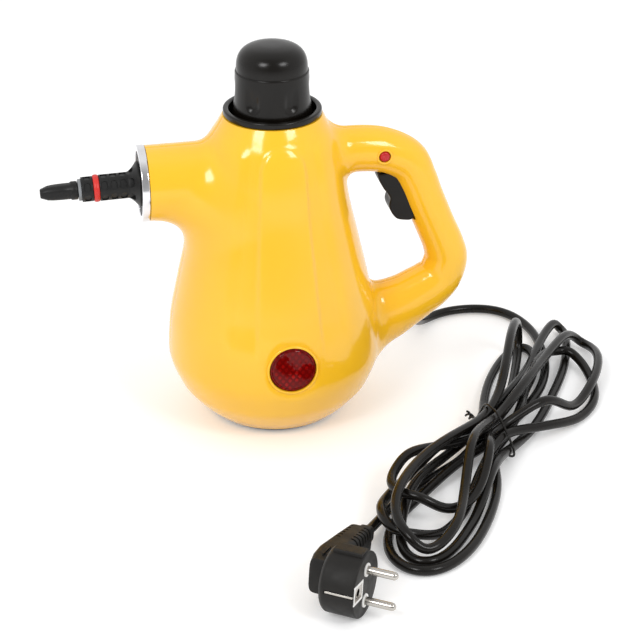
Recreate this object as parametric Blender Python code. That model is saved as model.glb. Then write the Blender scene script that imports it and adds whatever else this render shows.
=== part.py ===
"""A handheld steam cleaner, built piece by piece in metres, with +Z up.

The origin is on the floor under the axis of the filler cap. The nozzle points to -X,
the handle to +X, and -Y is the near side, which carries the indicator lens.
The pear-shaped housing is one smooth surface, made of a turned body, a horn and a
bent handle that melt into each other. Two half shells are laid on that surface.
"""
import math

import bmesh
import bpy
import numpy as np
from mathutils import Matrix, Vector

MM = 0.001

# Gaps and cuts shared by all pieces
CLEAR = 0.3 * MM
SLIDE_CLEAR = 0.5 * MM
OVERRUN = 2.0 * MM
SPLIT_GAP = 0.3 * MM
ROUND_SIDES = 16
SMALL_SIDES = 8
BROAD_SIDES = 24
MIDDLE_SIDES = 18
SHARP_ANGLE = math.radians(32.0)
TINY = 1.0e-6

# Base plate
BASE_RADIUS = 42.4 * MM
BASE_THICKNESS = 2.9 * MM
BASE_CHAMFER = 0.8 * MM
BOILER_POSTS = 3
BOILER_POST_RADIUS = 4.0 * MM
BOILER_POST_CIRCLE = 20.0 * MM

# Housing body: heights as shares from its foot to its top, radii as shares of the belly
WALL = 2.4 * MM
BODY_FOOT = BASE_THICKNESS + CLEAR
BODY_TOP = 207.0 * MM
BELLY_RADIUS = 69.5 * MM
BELLY_SHIFT = -1.1 * MM
BODY_PROFILE_SHARES = (
    (0.000, 0.640), (0.043, 0.773), (0.107, 0.913), (0.205, 1.000), (0.303, 0.981), (0.426, 0.912),
    (0.573, 0.815), (0.720, 0.714), (0.843, 0.652), (0.917, 0.592), (0.966, 0.512), (1.000, 0.454))
ROW_SHARES = (
    0.0, 0.036, 0.082, 0.145, 0.235, 0.335, 0.435, 0.545, 0.632, 0.696, 0.755, 0.809, 0.867, 0.924, 0.966, 1.0)
COLUMN_ANGLES = (-90, -72, -54, -37, -27, -17, -6, 6, 17, 27, 37, 54, 72, 90)

# Flutes: a flat front panel, a groove on each side of it, then a side panel
PANEL_ANGLE = math.radians(17.0)
FLUTE_ANGLE = math.radians(20.0)
FLUTE_DEPTH = 1.3 * MM
FLUTE_FADE_SHARES = (0.24, 0.37, 0.82, 0.87)

# Nozzle horn
HORN_AXIS = 165.7 * MM
HORN_MOUTH = -81.0 * MM
HORN_RADIUS = 24.0 * MM
HORN_FLARE = 1.0 * MM
HORN_LOW_BLEND = 30.0 * MM
HORN_TOP_BLEND = 5.0 * MM
HORN_RING_SHARES = (1.0, 0.5, 0.0)
HORN_ROOT = -20.0 * MM
HORN_LAST_RING = -58.0 * MM
HORN_LOW_ROW = 7
HORN_HIGH_ROW = 13

# Handle: centre line and half widths, in the parting plane and out of it
HANDLE_REACH = 115.2 * MM
GRIP_HALF_WIDTH = 13.3 * MM
GRIP_HALF_DEPTH = 13.8 * MM
HANDLE_BLEND = 8.0 * MM
HANDLE_LOW_BLEND = 15.0 * MM
HANDLE_LOW_FADE_SHARES = (0.12, 0.32)
HANDLE_PATH_SHARES = (
    (0.22, 0.862, 1.13, 1.06), (0.50, 0.862, 1.13, 1.04), (0.64, 0.848, 1.10, 1.03),
    (0.755, 0.811, 1.07, 1.01), (0.814, 0.751, 1.01, 1.00), (0.861, 0.682, 0.99, 0.99),
    (0.933, 0.585, 0.98, 0.99), (0.983, 0.517, 1.01, 1.00), (1.000, 0.464, 1.08, 1.01),
    (0.968, 0.408, 1.12, 1.04), (0.907, 0.374, 1.22, 1.09), (0.833, 0.348, 1.30, 1.12),
    (0.755, 0.323, 1.40, 1.16), (0.625, 0.290, 1.65, 1.23), (0.390, 0.242, 1.80, 1.30))
HANDLE_PATH_STEPS = 8
HANDLE_RINGS = 12
HANDLE_ENDS_SHARES = (0.14, 0.84)
TOP_PORT_LOW_ROW = 9
TOP_PORT_HIGH_ROW = 13
LOW_PORT_LOW_ROW = 2
LOW_PORT_HIGH_ROW = 6
PORT_COLUMNS = 2
FILLET_RINGS = 2
SETTLE_LIMIT = 6.0 * MM
SETTLE_ROUNDS = 6
SMOOTHING_ROUNDS = 10

# Screws that join the shells, driven from the far side: places in the parting plane
HORN_SCREW_INSET = 15.0 * MM
HORN_SCREW_RISE = 15.3 * MM
SCREW_BELLY_SHARES = {"belly": (-0.80576, 0.29952), "rear": (0.82014, 0.38647)}
SCREW_HANDLE_SHARES = {"heel": (1.00694, 0.46860), "grip": (0.82031, 0.79952)}
SCREW_RADIUS = 1.25 * MM
SCREW_HEAD_RADIUS = 2.7 * MM
SCREW_HEAD_HEIGHT = 1.9 * MM
SCREW_GRIP = 9.0 * MM
SCREW_SLOT = 0.8 * MM
SCREW_WEB = 2.6 * MM
BOSS_RADIUS = 3.6 * MM
BOSS_INSET_SHARE = 0.6
DEPTH_LIMIT = 90.0 * MM

# Base screws, driven upward into posts of the shells
BASE_SCREW_ANGLES = {"left": 210.0, "right": 330.0, "back": 90.0}
BASE_SCREW_CIRCLE = 38.3 * MM
BASE_BOSS_HEIGHT = 13.0 * MM
BASE_SCREW_GRIP = 8.0 * MM

# Collar around the filler opening
COLLAR_TOP = 211.4 * MM
COLLAR_RADIUS = 31.2 * MM
COLLAR_RIM_RADIUS = 27.6 * MM
COLLAR_WELL_RADIUS = 26.6 * MM
COLLAR_SPIGOT_RADIUS = 28.5 * MM
COLLAR_FLOOR = 197.0 * MM
COLLAR_FLOOR_THICKNESS = 2.0 * MM
COLLAR_EDGE = 1.0 * MM

# Boiler
BOILER_RADIUS = 40.0 * MM
BOILER_BOTTOM = 30.0 * MM
BOILER_JOINT = 110.0 * MM
BOILER_WALL = 3.0 * MM
BOILER_SEAM = 1.4 * MM
FLANGE_RADIUS = 47.0 * MM
FLANGE_THICKNESS = 4.0 * MM
LID_DOME = 13.0 * MM
NECK_RADIUS = 16.0 * MM
NECK_BORE = 12.5 * MM
NECK_TOP = 208.5 * MM
RISER_PLACE = 25.2 * MM
RISER_RADIUS = 5.0 * MM
RISER_BORE = 2.2 * MM
FLANGE_SCREWS = 3
FLANGE_SCREW_START = math.radians(60.0)
FLANGE_SCREW_CIRCLE = 43.6 * MM
FLANGE_SCREW_RADIUS = 1.5 * MM
FLANGE_SCREW_HEAD = 3.0 * MM
FLANGE_SCREW_HEIGHT = 2.2 * MM

# Heater and what hangs on it
HEATER_CIRCLE = 32.0 * MM
HEATER_RADIUS = 3.6 * MM
HEATER_GAP_ANGLE = math.radians(26.0)
HEATER_POINTS = 22
HEATER_TAIL = 7.0 * MM
THERMOSTAT_RADIUS = 8.0 * MM
THERMOSTAT_HEIGHT = 8.0 * MM
FUSE_RADIUS = 1.9 * MM
FUSE_LENGTH = 11.0 * MM
FUSE_PLACE = -12.5 * MM
TERMINAL_NEAR_EDGE = 22.5 * MM
TERMINAL_LENGTH = 10.0 * MM
TERMINAL_WIDTH = 21.0 * MM
TERMINAL_HEIGHT = 11.0 * MM
TERMINAL_HOLES = 3
TERMINAL_HOLE_RADIUS = 1.6 * MM
LEAD_RADIUS = 0.9 * MM
LEAD_HEIGHT = 9.0 * MM
LEAD_POINTS = 9
LAMP_LEAD_POINTS = 15

# Steam valve, its rod and the trigger
VALVE_AXIS = 170.0 * MM
VALVE_HALF_HEIGHT = 8.5 * MM
VALVE_HALF_WIDTH = 8.0 * MM
VALVE_LEFT = 17.6 * MM
VALVE_RIGHT = 33.0 * MM
VALVE_BORE = 2.7 * MM
VALVE_FLOOR = 2.5 * MM
STEM_RADIUS = 2.3 * MM
STEM_HEAD_RADIUS = 4.4 * MM
STEM_HEAD_THICKNESS = 1.8 * MM
STEM_PLAY = 3.2 * MM
SPRING_WIRE = 0.45 * MM
SPRING_RADIUS = 3.5 * MM
SPRING_LENGTH = 8.0 * MM
SPRING_TURNS = 3
SPRING_POINTS = 8
ROD_RADIUS = 1.8 * MM
TRIGGER_PLACE_SHARES = (0.72917, 0.77295)
TRIGGER_ARM_INSET = 4.0 * MM
TRIGGER_HALF_WIDTH = 7.6 * MM
TRIGGER_BORE = 2.1 * MM
PIN_RADIUS = 1.7 * MM
PIN_HALF_LENGTH = 9.6 * MM
PIN_SOCKET_RADIUS = 4.0 * MM
TRIGGER_SIZE = 31.0 * MM
TRIGGER_OUTLINE_SHARES = (
    (-0.13, 0.45), (0.00, 0.45), (0.07, 0.20), (0.14, 0.03), (0.12, -0.16), (0.09, -0.32),
    (0.15, -0.60), (0.24, -0.90), (0.22, -0.99), (0.14, -1.02), (-0.02, -1.00), (-0.13, -0.97),
    (-0.21, -0.88), (-0.28, -0.75), (-0.305, -0.64), (-0.265, -0.50), (-0.33, -0.38), (-0.41, -0.28),
    (-0.50, -0.12), (-0.56, 0.06), (-0.42, 0.08), (-0.26, 0.10), (-0.13, 0.20))
SLOT_OUTLINE_SHARES = (
    (-0.56, 0.00), (-0.40, -0.22), (-0.22, -0.48), (-0.05, -0.80), (0.08, -1.09), (0.44, -0.96),
    (0.30, -0.55), (0.15, -0.20), (-0.05, 0.10), (-0.36, 0.32))

# Child lock, a cross bolt near the top of the handle
LOCK_PLACE_SHARES = (0.60503, 0.85604)
LOCK_RADIUS = 3.5 * MM
LOCK_NEAR_END = -15.6 * MM
LOCK_FAR_END = 13.2 * MM
LOCK_DOME = 0.8 * MM
LOCK_RIM_RADIUS = 5.2 * MM
LOCK_RIM_HEIGHT = 14.9 * MM

# Indicator lens, tilted with the belly
LENS_HEIGHT = 58.4 * MM
LENS_SINK = 2.67 * MM
LENS_TILT = math.radians(4.0)
LENS_RADIUS = 14.9 * MM
LENS_EDGE = 2.2 * MM
LENS_CROWN = 1.4 * MM
LENS_SEAT_RADIUS = 12.6 * MM
LENS_SEAT_DEPTH = 2.4 * MM
LENS_RIM_WIDTH = 2.0 * MM
LENS_RIM_PROUD = 1.6 * MM
HOLDER_RADIUS = 12.0 * MM
HOLDER_DEPTH = 9.0 * MM
HOLDER_WALL = 1.4 * MM
LAMP_RADIUS = 2.8 * MM
LAMP_LENGTH = 10.5 * MM
LAMP_NOSE_SHARE = 0.7

# Chrome bezel and nozzle: distances along the horn's axis from its mouth, outward
BEZEL_RADIUS = 24.5 * MM
BEZEL_LENGTH = 5.1 * MM
BEZEL_LIP = 4.0 * MM
BEZEL_LIP_THICKNESS = 1.6 * MM
SOCKET_RADIUS = 20.2 * MM
SOCKET_FLANGE = 2.0 * MM
SOCKET_SLEEVE_RADIUS = 12.0 * MM
SOCKET_SLEEVE_LENGTH = 14.0 * MM
SOCKET_BORE = 9.0 * MM
SOCKET_INLET = 3.2 * MM
NOZZLE_DROOP = math.radians(1.6)
NOZZLE_FACE_GAP = 0.8 * MM
NOZZLE_BORE = 1.6 * MM
NOZZLE_SPIGOT_RADIUS = 8.4 * MM
NOZZLE_SPIGOT_LENGTH = 10.0 * MM
CONE_RADIUS = 14.4 * MM
CONE_RIM = 1.6 * MM
CONE_LENGTH = 8.0 * MM
GRIP_RADIUS = 8.3 * MM
GRIP_LENGTH = 17.9 * MM
RING_RADIUS = 8.7 * MM
RING_WIDTH = 4.0 * MM
RING_SEAT_RADIUS = 6.8 * MM
COLLET_RADIUS = 7.9 * MM
COLLET_LENGTH = 7.2 * MM
WASHER_RADIUS = 6.9 * MM
WASHER_THICKNESS = 2.2 * MM
WASHER_SEAT_RADIUS = 5.0 * MM
SHANK_RADIUS = 4.0 * MM
SHANK_LENGTH = 8.0 * MM
TIP_RADIUS = 5.9 * MM
TIP_END_RADIUS = 2.7 * MM
TIP_SHOULDER = 5.0 * MM
TIP_LENGTH = 23.4 * MM
WINDOW_COLUMNS = 3
WINDOW_ROWS = 6
WINDOW_DEPTH = 1.1 * MM
WINDOW_LENGTH = 3.8 * MM
WINDOW_WIDTH = 3.6 * MM

# Steam tube from the valve to the nozzle socket, led round the filler neck
TUBE_RADIUS = 2.2 * MM
TUBE_ROUTE_SHARES = ((0.25, 0.90), (-0.15, 0.96), (-0.62, 0.70), (-1.10, 0.30), (-1.65, 0.06))
TUBE_SWING = 27.0 * MM
TUBE_POINTS = 22

# Filler cap
CAP_SKIRT_BOTTOM = 204.5 * MM
CAP_SEAM = 236.6 * MM
CAP_TOP = 252.7 * MM
CAP_BOTTOM_RADIUS = 24.6 * MM
CAP_SEAM_RADIUS = 22.9 * MM
CAP_WALL = 2.0 * MM
CAP_LEDGE = 0.7 * MM
DOME_SEAT_SHARE = 0.90
CAP_FLUTES = 6
CAP_FLUTE_DEPTH = 1.5 * MM
CAP_FLUTE_RADIUS = 9.0 * MM
DOME_SHARES = ((1.0, 0.0), (0.985, 0.28), (0.92, 0.56), (0.79, 0.78), (0.58, 0.92), (0.30, 0.98), (0.0, 1.0))
CORE_THREAD_RADIUS = 12.1 * MM
CORE_BOTTOM = 194.0 * MM
CORE_HEAD_RADIUS = 15.2 * MM
CORE_HEAD_DEPTH = 11.0 * MM
CORE_BORE = 7.0 * MM
CORE_FLOOR = 3.0 * MM
CORE_VENT = 2.4 * MM
SLEEVE_RADIUS = 17.6 * MM
SLEEVE_BORE = 15.7 * MM
SLEEVE_FOOT = 218.0 * MM
GASKET_THICKNESS = 1.5 * MM
PRESS_SPRING_RADIUS = 10.5 * MM
PRESS_SPRING_WIRE = 0.55 * MM
POPPET_RADIUS = 4.4 * MM
POPPET_THICKNESS = 2.4 * MM
POPPET_STEM_RADIUS = 1.7 * MM
POPPET_STEM_LENGTH = 8.0 * MM
POPPET_SPRING_RADIUS = 3.4 * MM
POPPET_SPRING_LENGTH = 17.0 * MM
RETAINER_THICKNESS = 2.0 * MM

# Cord exit on the far flank of the handle's foot, and the tapered relief there
EXIT_REACH_SHARE = 0.80729
EXIT_DEPTH = 13.0 * MM
EXIT_HEIGHT = 55.5 * MM
EXIT_DIRECTION = (0.30, 0.80, -0.52)
RELIEF_LENGTH = 24.0 * MM
RELIEF_ROOT_RADIUS = 5.2 * MM
RELIEF_TIP_RADIUS = 3.9 * MM
RELIEF_FLANGE_RADIUS = 6.8 * MM
RELIEF_FLANGE = 2.0 * MM
RELIEF_INSIDE = 7.0 * MM
CORD_DIAMETER = 6.2 * MM

# Inner cord and the free stretch outside: places on their routes
INNER_ROUTE = (
    (89.6 * MM, 3.6 * MM, 61.4 * MM), (85.0 * MM, -2.5 * MM, 63.5 * MM), (76.0 * MM, -4.5 * MM, 61.5 * MM),
    (66.0 * MM, -2.5 * MM, 55.5 * MM), (57.0 * MM, 0.0, 45.0 * MM), (51.5 * MM, 0.0, 31.0 * MM),
    (47.5 * MM, 0.0, 19.0 * MM), (42.5 * MM, 0.0, 11.5 * MM), (38.0 * MM, 0.0, 9.2 * MM))
INNER_POINTS = 18
LEAD_ROUTE = (
    (105.3 * MM, 47.0 * MM, 32.4 * MM), (108.8 * MM, 57.0 * MM, 24.0 * MM),
    (112.6 * MM, 67.0 * MM, 16.0 * MM), (117.2 * MM, 77.5 * MM, 9.3 * MM), (123.2 * MM, 87.5 * MM, 4.8 * MM),
    (129.3 * MM, 93.8 * MM, 3.5 * MM), (135.9 * MM, 97.6 * MM, 3.3 * MM), (150.7 * MM, 101.6 * MM, 3.3 * MM),
    (169.1 * MM, 100.2 * MM, 3.3 * MM), (180.3 * MM, 95.2 * MM, 3.3 * MM), (187.9 * MM, 86.9 * MM, 3.3 * MM),
    (193.4 * MM, 73.8 * MM, 3.3 * MM), (196.2 * MM, 59.8 * MM, 3.3 * MM))
CORD_POINTS = 22

# Wire tie: it stands across the waist in one upright plane, its twisted end off one side
TIE_ENDS = ((122.6 * MM, -67.7 * MM), (133.4 * MM, -106.2 * MM))
TIE_RADIUS = 1.1 * MM
TIE_CLEAR = 0.5 * MM
TIE_POINTS = 22
TIE_TWIST_RADIUS = 1.5 * MM
TIE_TWIST_LENGTH = 9.0 * MM
TIE_TWIST_POINTS = 8
TIE_ARC_POINTS = 12

# Angled plug lying on its rim: face centre, pin direction in the floor plane, cord side
PLUG_FACE = (6.8 * MM, -253.4 * MM, 19.9 * MM)
PLUG_HEADING = math.radians(-33.9)
PLUG_ROLL = math.radians(-9.0)
PLUG_RADIUS = 19.6 * MM
BARREL_LENGTH = 22.0 * MM
BARREL_EDGE = 1.2 * MM
PLUG_PIN_PITCH = 19.0 * MM
PLUG_PIN_RADIUS = 2.4 * MM
PLUG_PIN_LENGTH = 19.0 * MM
PLUG_PIN_DEPTH = 7.0 * MM
PLUG_COLLAR_RADIUS = 4.3 * MM
PLUG_COLLAR = 0.8 * MM
GRIP_LENGTH_WITH_NECK = 66.5 * MM
GRIP_RING_SHARES = (
    (-0.045, -0.459, 0.045, 0.128), (0.015, -0.451, 0.090, 0.162), (0.075, -0.436, 0.114, 0.174),
    (0.211, -0.414, 0.123, 0.177), (0.361, -0.395, 0.123, 0.168), (0.511, -0.385, 0.114, 0.147),
    (0.571, -0.382, 0.110, 0.138), (0.586, -0.382, 0.090, 0.117), (0.626, -0.380, 0.089, 0.114),
    (0.641, -0.380, 0.104, 0.131), (0.692, -0.379, 0.101, 0.125), (0.707, -0.379, 0.083, 0.105),
    (0.746, -0.377, 0.081, 0.102), (0.761, -0.377, 0.095, 0.117), (0.812, -0.376, 0.092, 0.111),
    (0.827, -0.376, 0.077, 0.093), (0.866, -0.376, 0.075, 0.090), (0.881, -0.376, 0.087, 0.102),
    (1.000, -0.376, 0.075, 0.078))
GRIP_SIDES = 12
GRIP_SQUARENESS = 0.65
STRIP_HALF_WIDTH = 3.0 * MM
STRIP_REACH = 17.9 * MM
STRIP_THICKNESS = 1.2 * MM
STRIP_DEPTH = 14.0 * MM

# Hank: one cord laid in loops at each end of a tied waist. Places are shares of its size, along its
# axis and across it. Heights come from the laying order, apart from the lifts of the standing loop.
HANK_WAIST = (128.0 * MM, -86.0 * MM)
HANK_AXIS = math.radians(49.0)
HANK_SIZE = 200.0 * MM
HANK_GAP = 1.2 * MM
HANK_FLOOR = 3.3 * MM
WAIST_LIFT = 2.8 * MM
WAIST_CENTRE = (-5.0 * MM, -1.0 * MM)
WAIST_LEAN = 0.55
WAIST_HALF_LENGTH = 9.0 * MM
WAIST_PITCH = 7.1 * MM
WAIST_SHARES = (0.0, -1.0, 2.0, -2.0, 1.5, -1.5, 0.5, -0.5, 0.0, 1.0, 1.0)
LEAD_SHARES = ((0.700, 0.158), (0.580, 0.080), (0.412, 0.018), (0.254, 0.000), (0.120, -0.004))
TAIL_SHARES = (
    (-0.150, 0.035), (-0.224, 0.050), (-0.330, 0.076), (-0.430, 0.097), (-0.500, 0.1005),
    (-0.572, 0.091, 0.008), (-0.641, 0.0825, 0.0185), (-0.685, 0.077, 0.0255), (-0.7176, 0.0729, 0.0308))
LOOP_SHARES = (
    ((-0.155, 0.010), (-0.315, 0.030), (-0.464, 0.048), (-0.587, 0.042), (-0.691, 0.006), (-0.764, -0.055),
     (-0.781, -0.124), (-0.742, -0.177), (-0.664, -0.205), (-0.550, -0.209), (-0.414, -0.185), (-0.272, -0.144),
     (-0.165, -0.090)),
    ((0.160, -0.020), (0.242, 0.010), (0.360, 0.040), (0.494, 0.072), (0.578, 0.098), (0.640, 0.140), (0.664, 0.185),
     (0.602, 0.212), (0.484, 0.208), (0.361, 0.184), (0.236, 0.145), (0.130, 0.095)),
    ((-0.190, 0.070), (-0.324, 0.070), (-0.472, 0.062), (-0.599, 0.025), (-0.701, -0.022), (-0.752, -0.082),
     (-0.750, -0.144), (-0.686, -0.172), (-0.565, -0.165), (-0.435, -0.146), (-0.306, -0.117), (-0.190, -0.090)),
    ((0.110, -0.078), (0.222, -0.060), (0.368, -0.040), (0.513, -0.010), (0.655, 0.033), (0.799, 0.098),
     (0.850, 0.142), (0.760, 0.151), (0.543, 0.102), (0.367, 0.065), (0.164, 0.045)),
    ((-0.165, 0.078), (-0.299, 0.112), (-0.472, 0.110), (-0.574, 0.100), (-0.636, 0.073), (-0.692, 0.008),
     (-0.690, -0.050), (-0.630, -0.090), (-0.542, -0.114), (-0.443, -0.114), (-0.326, -0.097), (-0.190, -0.070)),
    ((0.070, -0.105), (0.169, -0.152), (0.272, -0.182), (0.396, -0.183), (0.499, -0.140), (0.605, -0.058),
     (0.645, 0.018), (0.600, 0.062), (0.479, 0.064), (0.282, 0.020), (0.140, 0.008)),
    ((-0.180, 0.050), (-0.309, 0.111), (-0.396, 0.138), (-0.482, 0.126), (-0.532, 0.087), (-0.542, 0.021),
     (-0.524, -0.044), (-0.482, -0.092), (-0.422, -0.127), (-0.300, -0.119), (-0.191, -0.080)),
    ((0.090, -0.070), (0.177, -0.125), (0.290, -0.154), (0.414, -0.154), (0.540, -0.130), (0.670, -0.080),
     (0.760, -0.010), (0.765, 0.050), (0.590, 0.043), (0.434, 0.025), (0.208, -0.005)),
    ((-0.190, -0.028), (-0.310, -0.059), (-0.408, -0.097), (-0.493, -0.134), (-0.574, -0.158), (-0.660, -0.160),
     (-0.724, -0.136), (-0.738, -0.086), (-0.706, -0.024), (-0.635, 0.028), (-0.552, 0.051), (-0.435, 0.067),
     (-0.308, 0.066), (-0.202, 0.043)),
    ((0.139, 0.046, 0.110), (0.262, 0.083, 0.150), (0.378, 0.125, 0.172), (0.500, 0.166, 0.162),
     (0.575, 0.190, 0.125), (0.600, 0.192, 0.070), (0.570, 0.180, 0.018), (0.475, 0.144, 0.0), (0.329, 0.095, 0.0),
     (0.186, 0.055, 0.0)))
LOOP_POINTS = 10
END_POINTS = 7
FINE_POINTS = 300
FINE_PARTS = 9
FOLD_POINT = 6
SETTLING_STEPS = 400
FINAL_STEPS = 60
SETTLING_DROP = 0.25 * MM
STIFFNESS = 0.12
HOMING = 0.06
EVENING = 0.5
SHOVE = 1.3
LOOP_SKIP = 40.0 * MM
BEND_WEIGHT = 46.0 * MM

# Places that follow from the sizes above
TRIGGER_PIVOT = (TRIGGER_PLACE_SHARES[0] * HANDLE_REACH, TRIGGER_PLACE_SHARES[1] * BODY_TOP)
TRIGGER_ARM_FACE = TRIGGER_PIVOT[0] - TRIGGER_ARM_INSET
LOCK_PLACE = (LOCK_PLACE_SHARES[0] * HANDLE_REACH, LOCK_PLACE_SHARES[1] * BODY_TOP)
EXIT_POINT = (EXIT_REACH_SHARE * HANDLE_REACH, EXIT_DEPTH, EXIT_HEIGHT)
SCREW_PLACES = {"horn": (HORN_MOUTH + HORN_SCREW_INSET, HORN_AXIS + HORN_SCREW_RISE)}
for table, breadth in ((SCREW_BELLY_SHARES, BELLY_RADIUS), (SCREW_HANDLE_SHARES, HANDLE_REACH)):
    for name, (across, up) in table.items():
        SCREW_PLACES[name] = (across * breadth, up * BODY_TOP)
POPPET_TOP = CORE_BOTTOM + CORE_FLOOR + CLEAR + POPPET_THICKNESS
RETAINER_HEIGHT = POPPET_TOP + CLEAR + POPPET_SPRING_LENGTH
CORE_HEAD_TOP = RETAINER_HEIGHT + CORE_HEAD_DEPTH

MATERIALS = {}


def clear_scene():
    """Remove what the opened file holds."""
    for old in list(bpy.data.objects):
        bpy.data.objects.remove(old)


def material(name, colour, roughness, metallic=0.0):
    """One Principled material per finish."""
    if name in MATERIALS:
        return MATERIALS[name]
    made = bpy.data.materials.new(name)
    made.use_nodes = True
    shader = made.node_tree.nodes["Principled BSDF"]
    shader.inputs["Base Color"].default_value = (*colour, 1.0)
    shader.inputs["Roughness"].default_value = roughness
    shader.inputs["Metallic"].default_value = metallic
    made.diffuse_color = (*colour, 1.0)
    MATERIALS[name] = made
    return made


def yellow_plastic():
    return material("yellow_plastic", (0.98, 0.60, 0.06), 0.18)


def black_plastic():
    return material("black_plastic", (0.012, 0.012, 0.013), 0.42)


def red_plastic():
    return material("red_plastic", (0.45, 0.01, 0.01), 0.2)


def chrome():
    return material("chrome", (0.82, 0.82, 0.84), 0.06, 1.0)


def steel():
    return material("steel", (0.55, 0.55, 0.57), 0.35, 1.0)


def brass():
    return material("brass", (0.72, 0.52, 0.24), 0.3, 1.0)


def aluminium():
    return material("cast_aluminium", (0.62, 0.63, 0.65), 0.45, 1.0)


def rubber(name, colour):
    return material(name, colour, 0.6)


def piece(name, bm, finish, origin=(0.0, 0.0, 0.0)):
    """Turn closed solids in world places into an object with its own origin."""
    bmesh.ops.recalc_face_normals(bm, faces=bm.faces)
    mesh = bpy.data.meshes.new(name)
    bmesh.ops.translate(bm, verts=bm.verts, vec=-Vector(origin))
    bm.to_mesh(mesh)
    bm.free()
    mesh.materials.append(finish)
    mesh.shade_smooth()
    mesh.set_sharp_from_angle(angle=SHARP_ANGLE)
    made = bpy.data.objects.new(name, mesh)
    made.location = origin
    bpy.context.collection.objects.link(made)
    return made


def tool(name, bm, target, operation):
    """A guide solid that is cut from, or joined to, the target."""
    made = piece(name, bm, steel())
    made.hide_render = True
    made.display_type = "WIRE"
    step = target.modifiers.new(name, "BOOLEAN")
    step.operation = operation
    step.object = made
    step.solver = "EXACT"
    step.use_self = True
    return made


def along(origin, direction):
    """Place a solid whose local Z runs along a direction."""
    turn = Vector(direction).to_track_quat("Z", "Y").to_matrix().to_4x4()
    return Matrix.Translation(Vector(origin)) @ turn


def turned(bm, profile, sides=ROUND_SIDES, place=None):
    """Revolve a closed outline of (radius, height) points about the local Z."""
    place = place or Matrix()
    rings = []
    for radius, height in profile:
        count = 1 if radius == 0 else sides
        ring = []
        for step in range(count):
            turn = 2.0 * math.pi * step / sides
            point = Vector((radius * math.cos(turn), radius * math.sin(turn), height))
            ring.append(bm.verts.new(place @ point))
        rings.append(ring)
    spans = len(rings) if profile[0][0] != 0 else len(rings) - 1
    for index in range(spans):
        lower = rings[index]
        upper = rings[(index + 1) % len(rings)]
        for step in range(sides):
            corners = []
            for ring, turn in ((lower, step), (lower, step + 1), (upper, step + 1), (upper, step)):
                vert = ring[turn % len(ring)]
                if vert not in corners:
                    corners.append(vert)
            if len(corners) > 2:
                bm.faces.new(corners)
    return bm


def rod(bm, start, end, radius, sides=ROUND_SIDES):
    """A plain round bar between two points."""
    reach = Vector(end) - Vector(start)
    profile = ((0, 0), (radius, 0), (radius, reach.length), (0, reach.length))
    return turned(bm, profile, sides, along(start, reach))


def pipe(bm, start, end, radius, bore, sides=ROUND_SIDES):
    """A round bar with a bore."""
    reach = Vector(end) - Vector(start)
    profile = ((bore, 0), (radius, 0), (radius, reach.length), (bore, reach.length))
    return turned(bm, profile, sides, along(start, reach))


def block(bm, low, high):
    """A box between two corners."""
    size = Vector(high) - Vector(low)
    middle = (Vector(high) + Vector(low)) / 2.0
    place = Matrix.Translation(middle) @ Matrix.Diagonal((*size, 1.0))
    bmesh.ops.create_cube(bm, size=1.0, matrix=place)
    return bm


def prism(bm, outline, low, high):
    """An outline in the XZ plane, drawn out along Y."""
    sides = []
    for depth in (low, high):
        sides.append([bm.verts.new((x, depth, z)) for x, z in outline])
    bm.faces.new(sides[0])
    bm.faces.new(reversed(sides[1]))
    for index in range(len(outline)):
        after = (index + 1) % len(outline)
        bm.faces.new((sides[0][index], sides[0][after], sides[1][after], sides[1][index]))
    return bm


def wire(name, points, radius, finish, resolution=1):
    """A round wire, tube or cord along points."""
    curve = bpy.data.curves.new(name, "CURVE")
    curve.dimensions = "3D"
    curve.bevel_depth = radius
    curve.bevel_resolution = resolution
    curve.use_fill_caps = True
    spline = curve.splines.new("POLY")
    spline.points.add(len(points) - 1)
    for place, point in zip(spline.points, points):
        place.co = (*point, 1.0)
    curve.materials.append(finish)
    made = bpy.data.objects.new(name, curve)
    bpy.context.collection.objects.link(made)
    return made


def through(points, count, measured=3):
    """Even points on a smooth curve through the given ones, spaced by their first columns."""
    route = np.array([tuple(point) for point in points], float)
    padded = np.vstack((2 * route[0] - route[1], route, 2 * route[-1] - route[-2]))
    fine = []
    for index in range(len(route) - 1):
        before, start, end, after = padded[index:index + 4]
        for step in np.linspace(0.0, 1.0, 24, endpoint=False):
            lean = (end - before) * step
            lean += (2 * before - 5 * start + 4 * end - after) * step ** 2
            lean += (3 * start - before - 3 * end + after) * step ** 3
            fine.append(start + 0.5 * lean)
    fine.append(route[-1])
    fine = np.array(fine)
    hops = np.linalg.norm(np.diff(fine[:, :measured], axis=0), axis=1)
    run = np.concatenate(([0.0], np.cumsum(hops)))
    stops = np.linspace(0.0, run[-1], count)
    return np.column_stack([np.interp(stops, run, column) for column in fine.T])


def spring(name, base, height, radius, wire_radius, turns, direction=(0.0, 0.0, 1.0)):
    """A coil spring with its curls, from its base along a direction."""
    place = along(base, direction)
    points = []
    for step in range(turns * SPRING_POINTS + 1):
        share = step / (turns * SPRING_POINTS)
        turn = 2.0 * math.pi * share * turns
        rise = wire_radius + share * (height - 2.0 * wire_radius)
        points.append(place @ Vector((radius * math.cos(turn), radius * math.sin(turn), rise)))
    return wire(name, points, wire_radius, steel())


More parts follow.
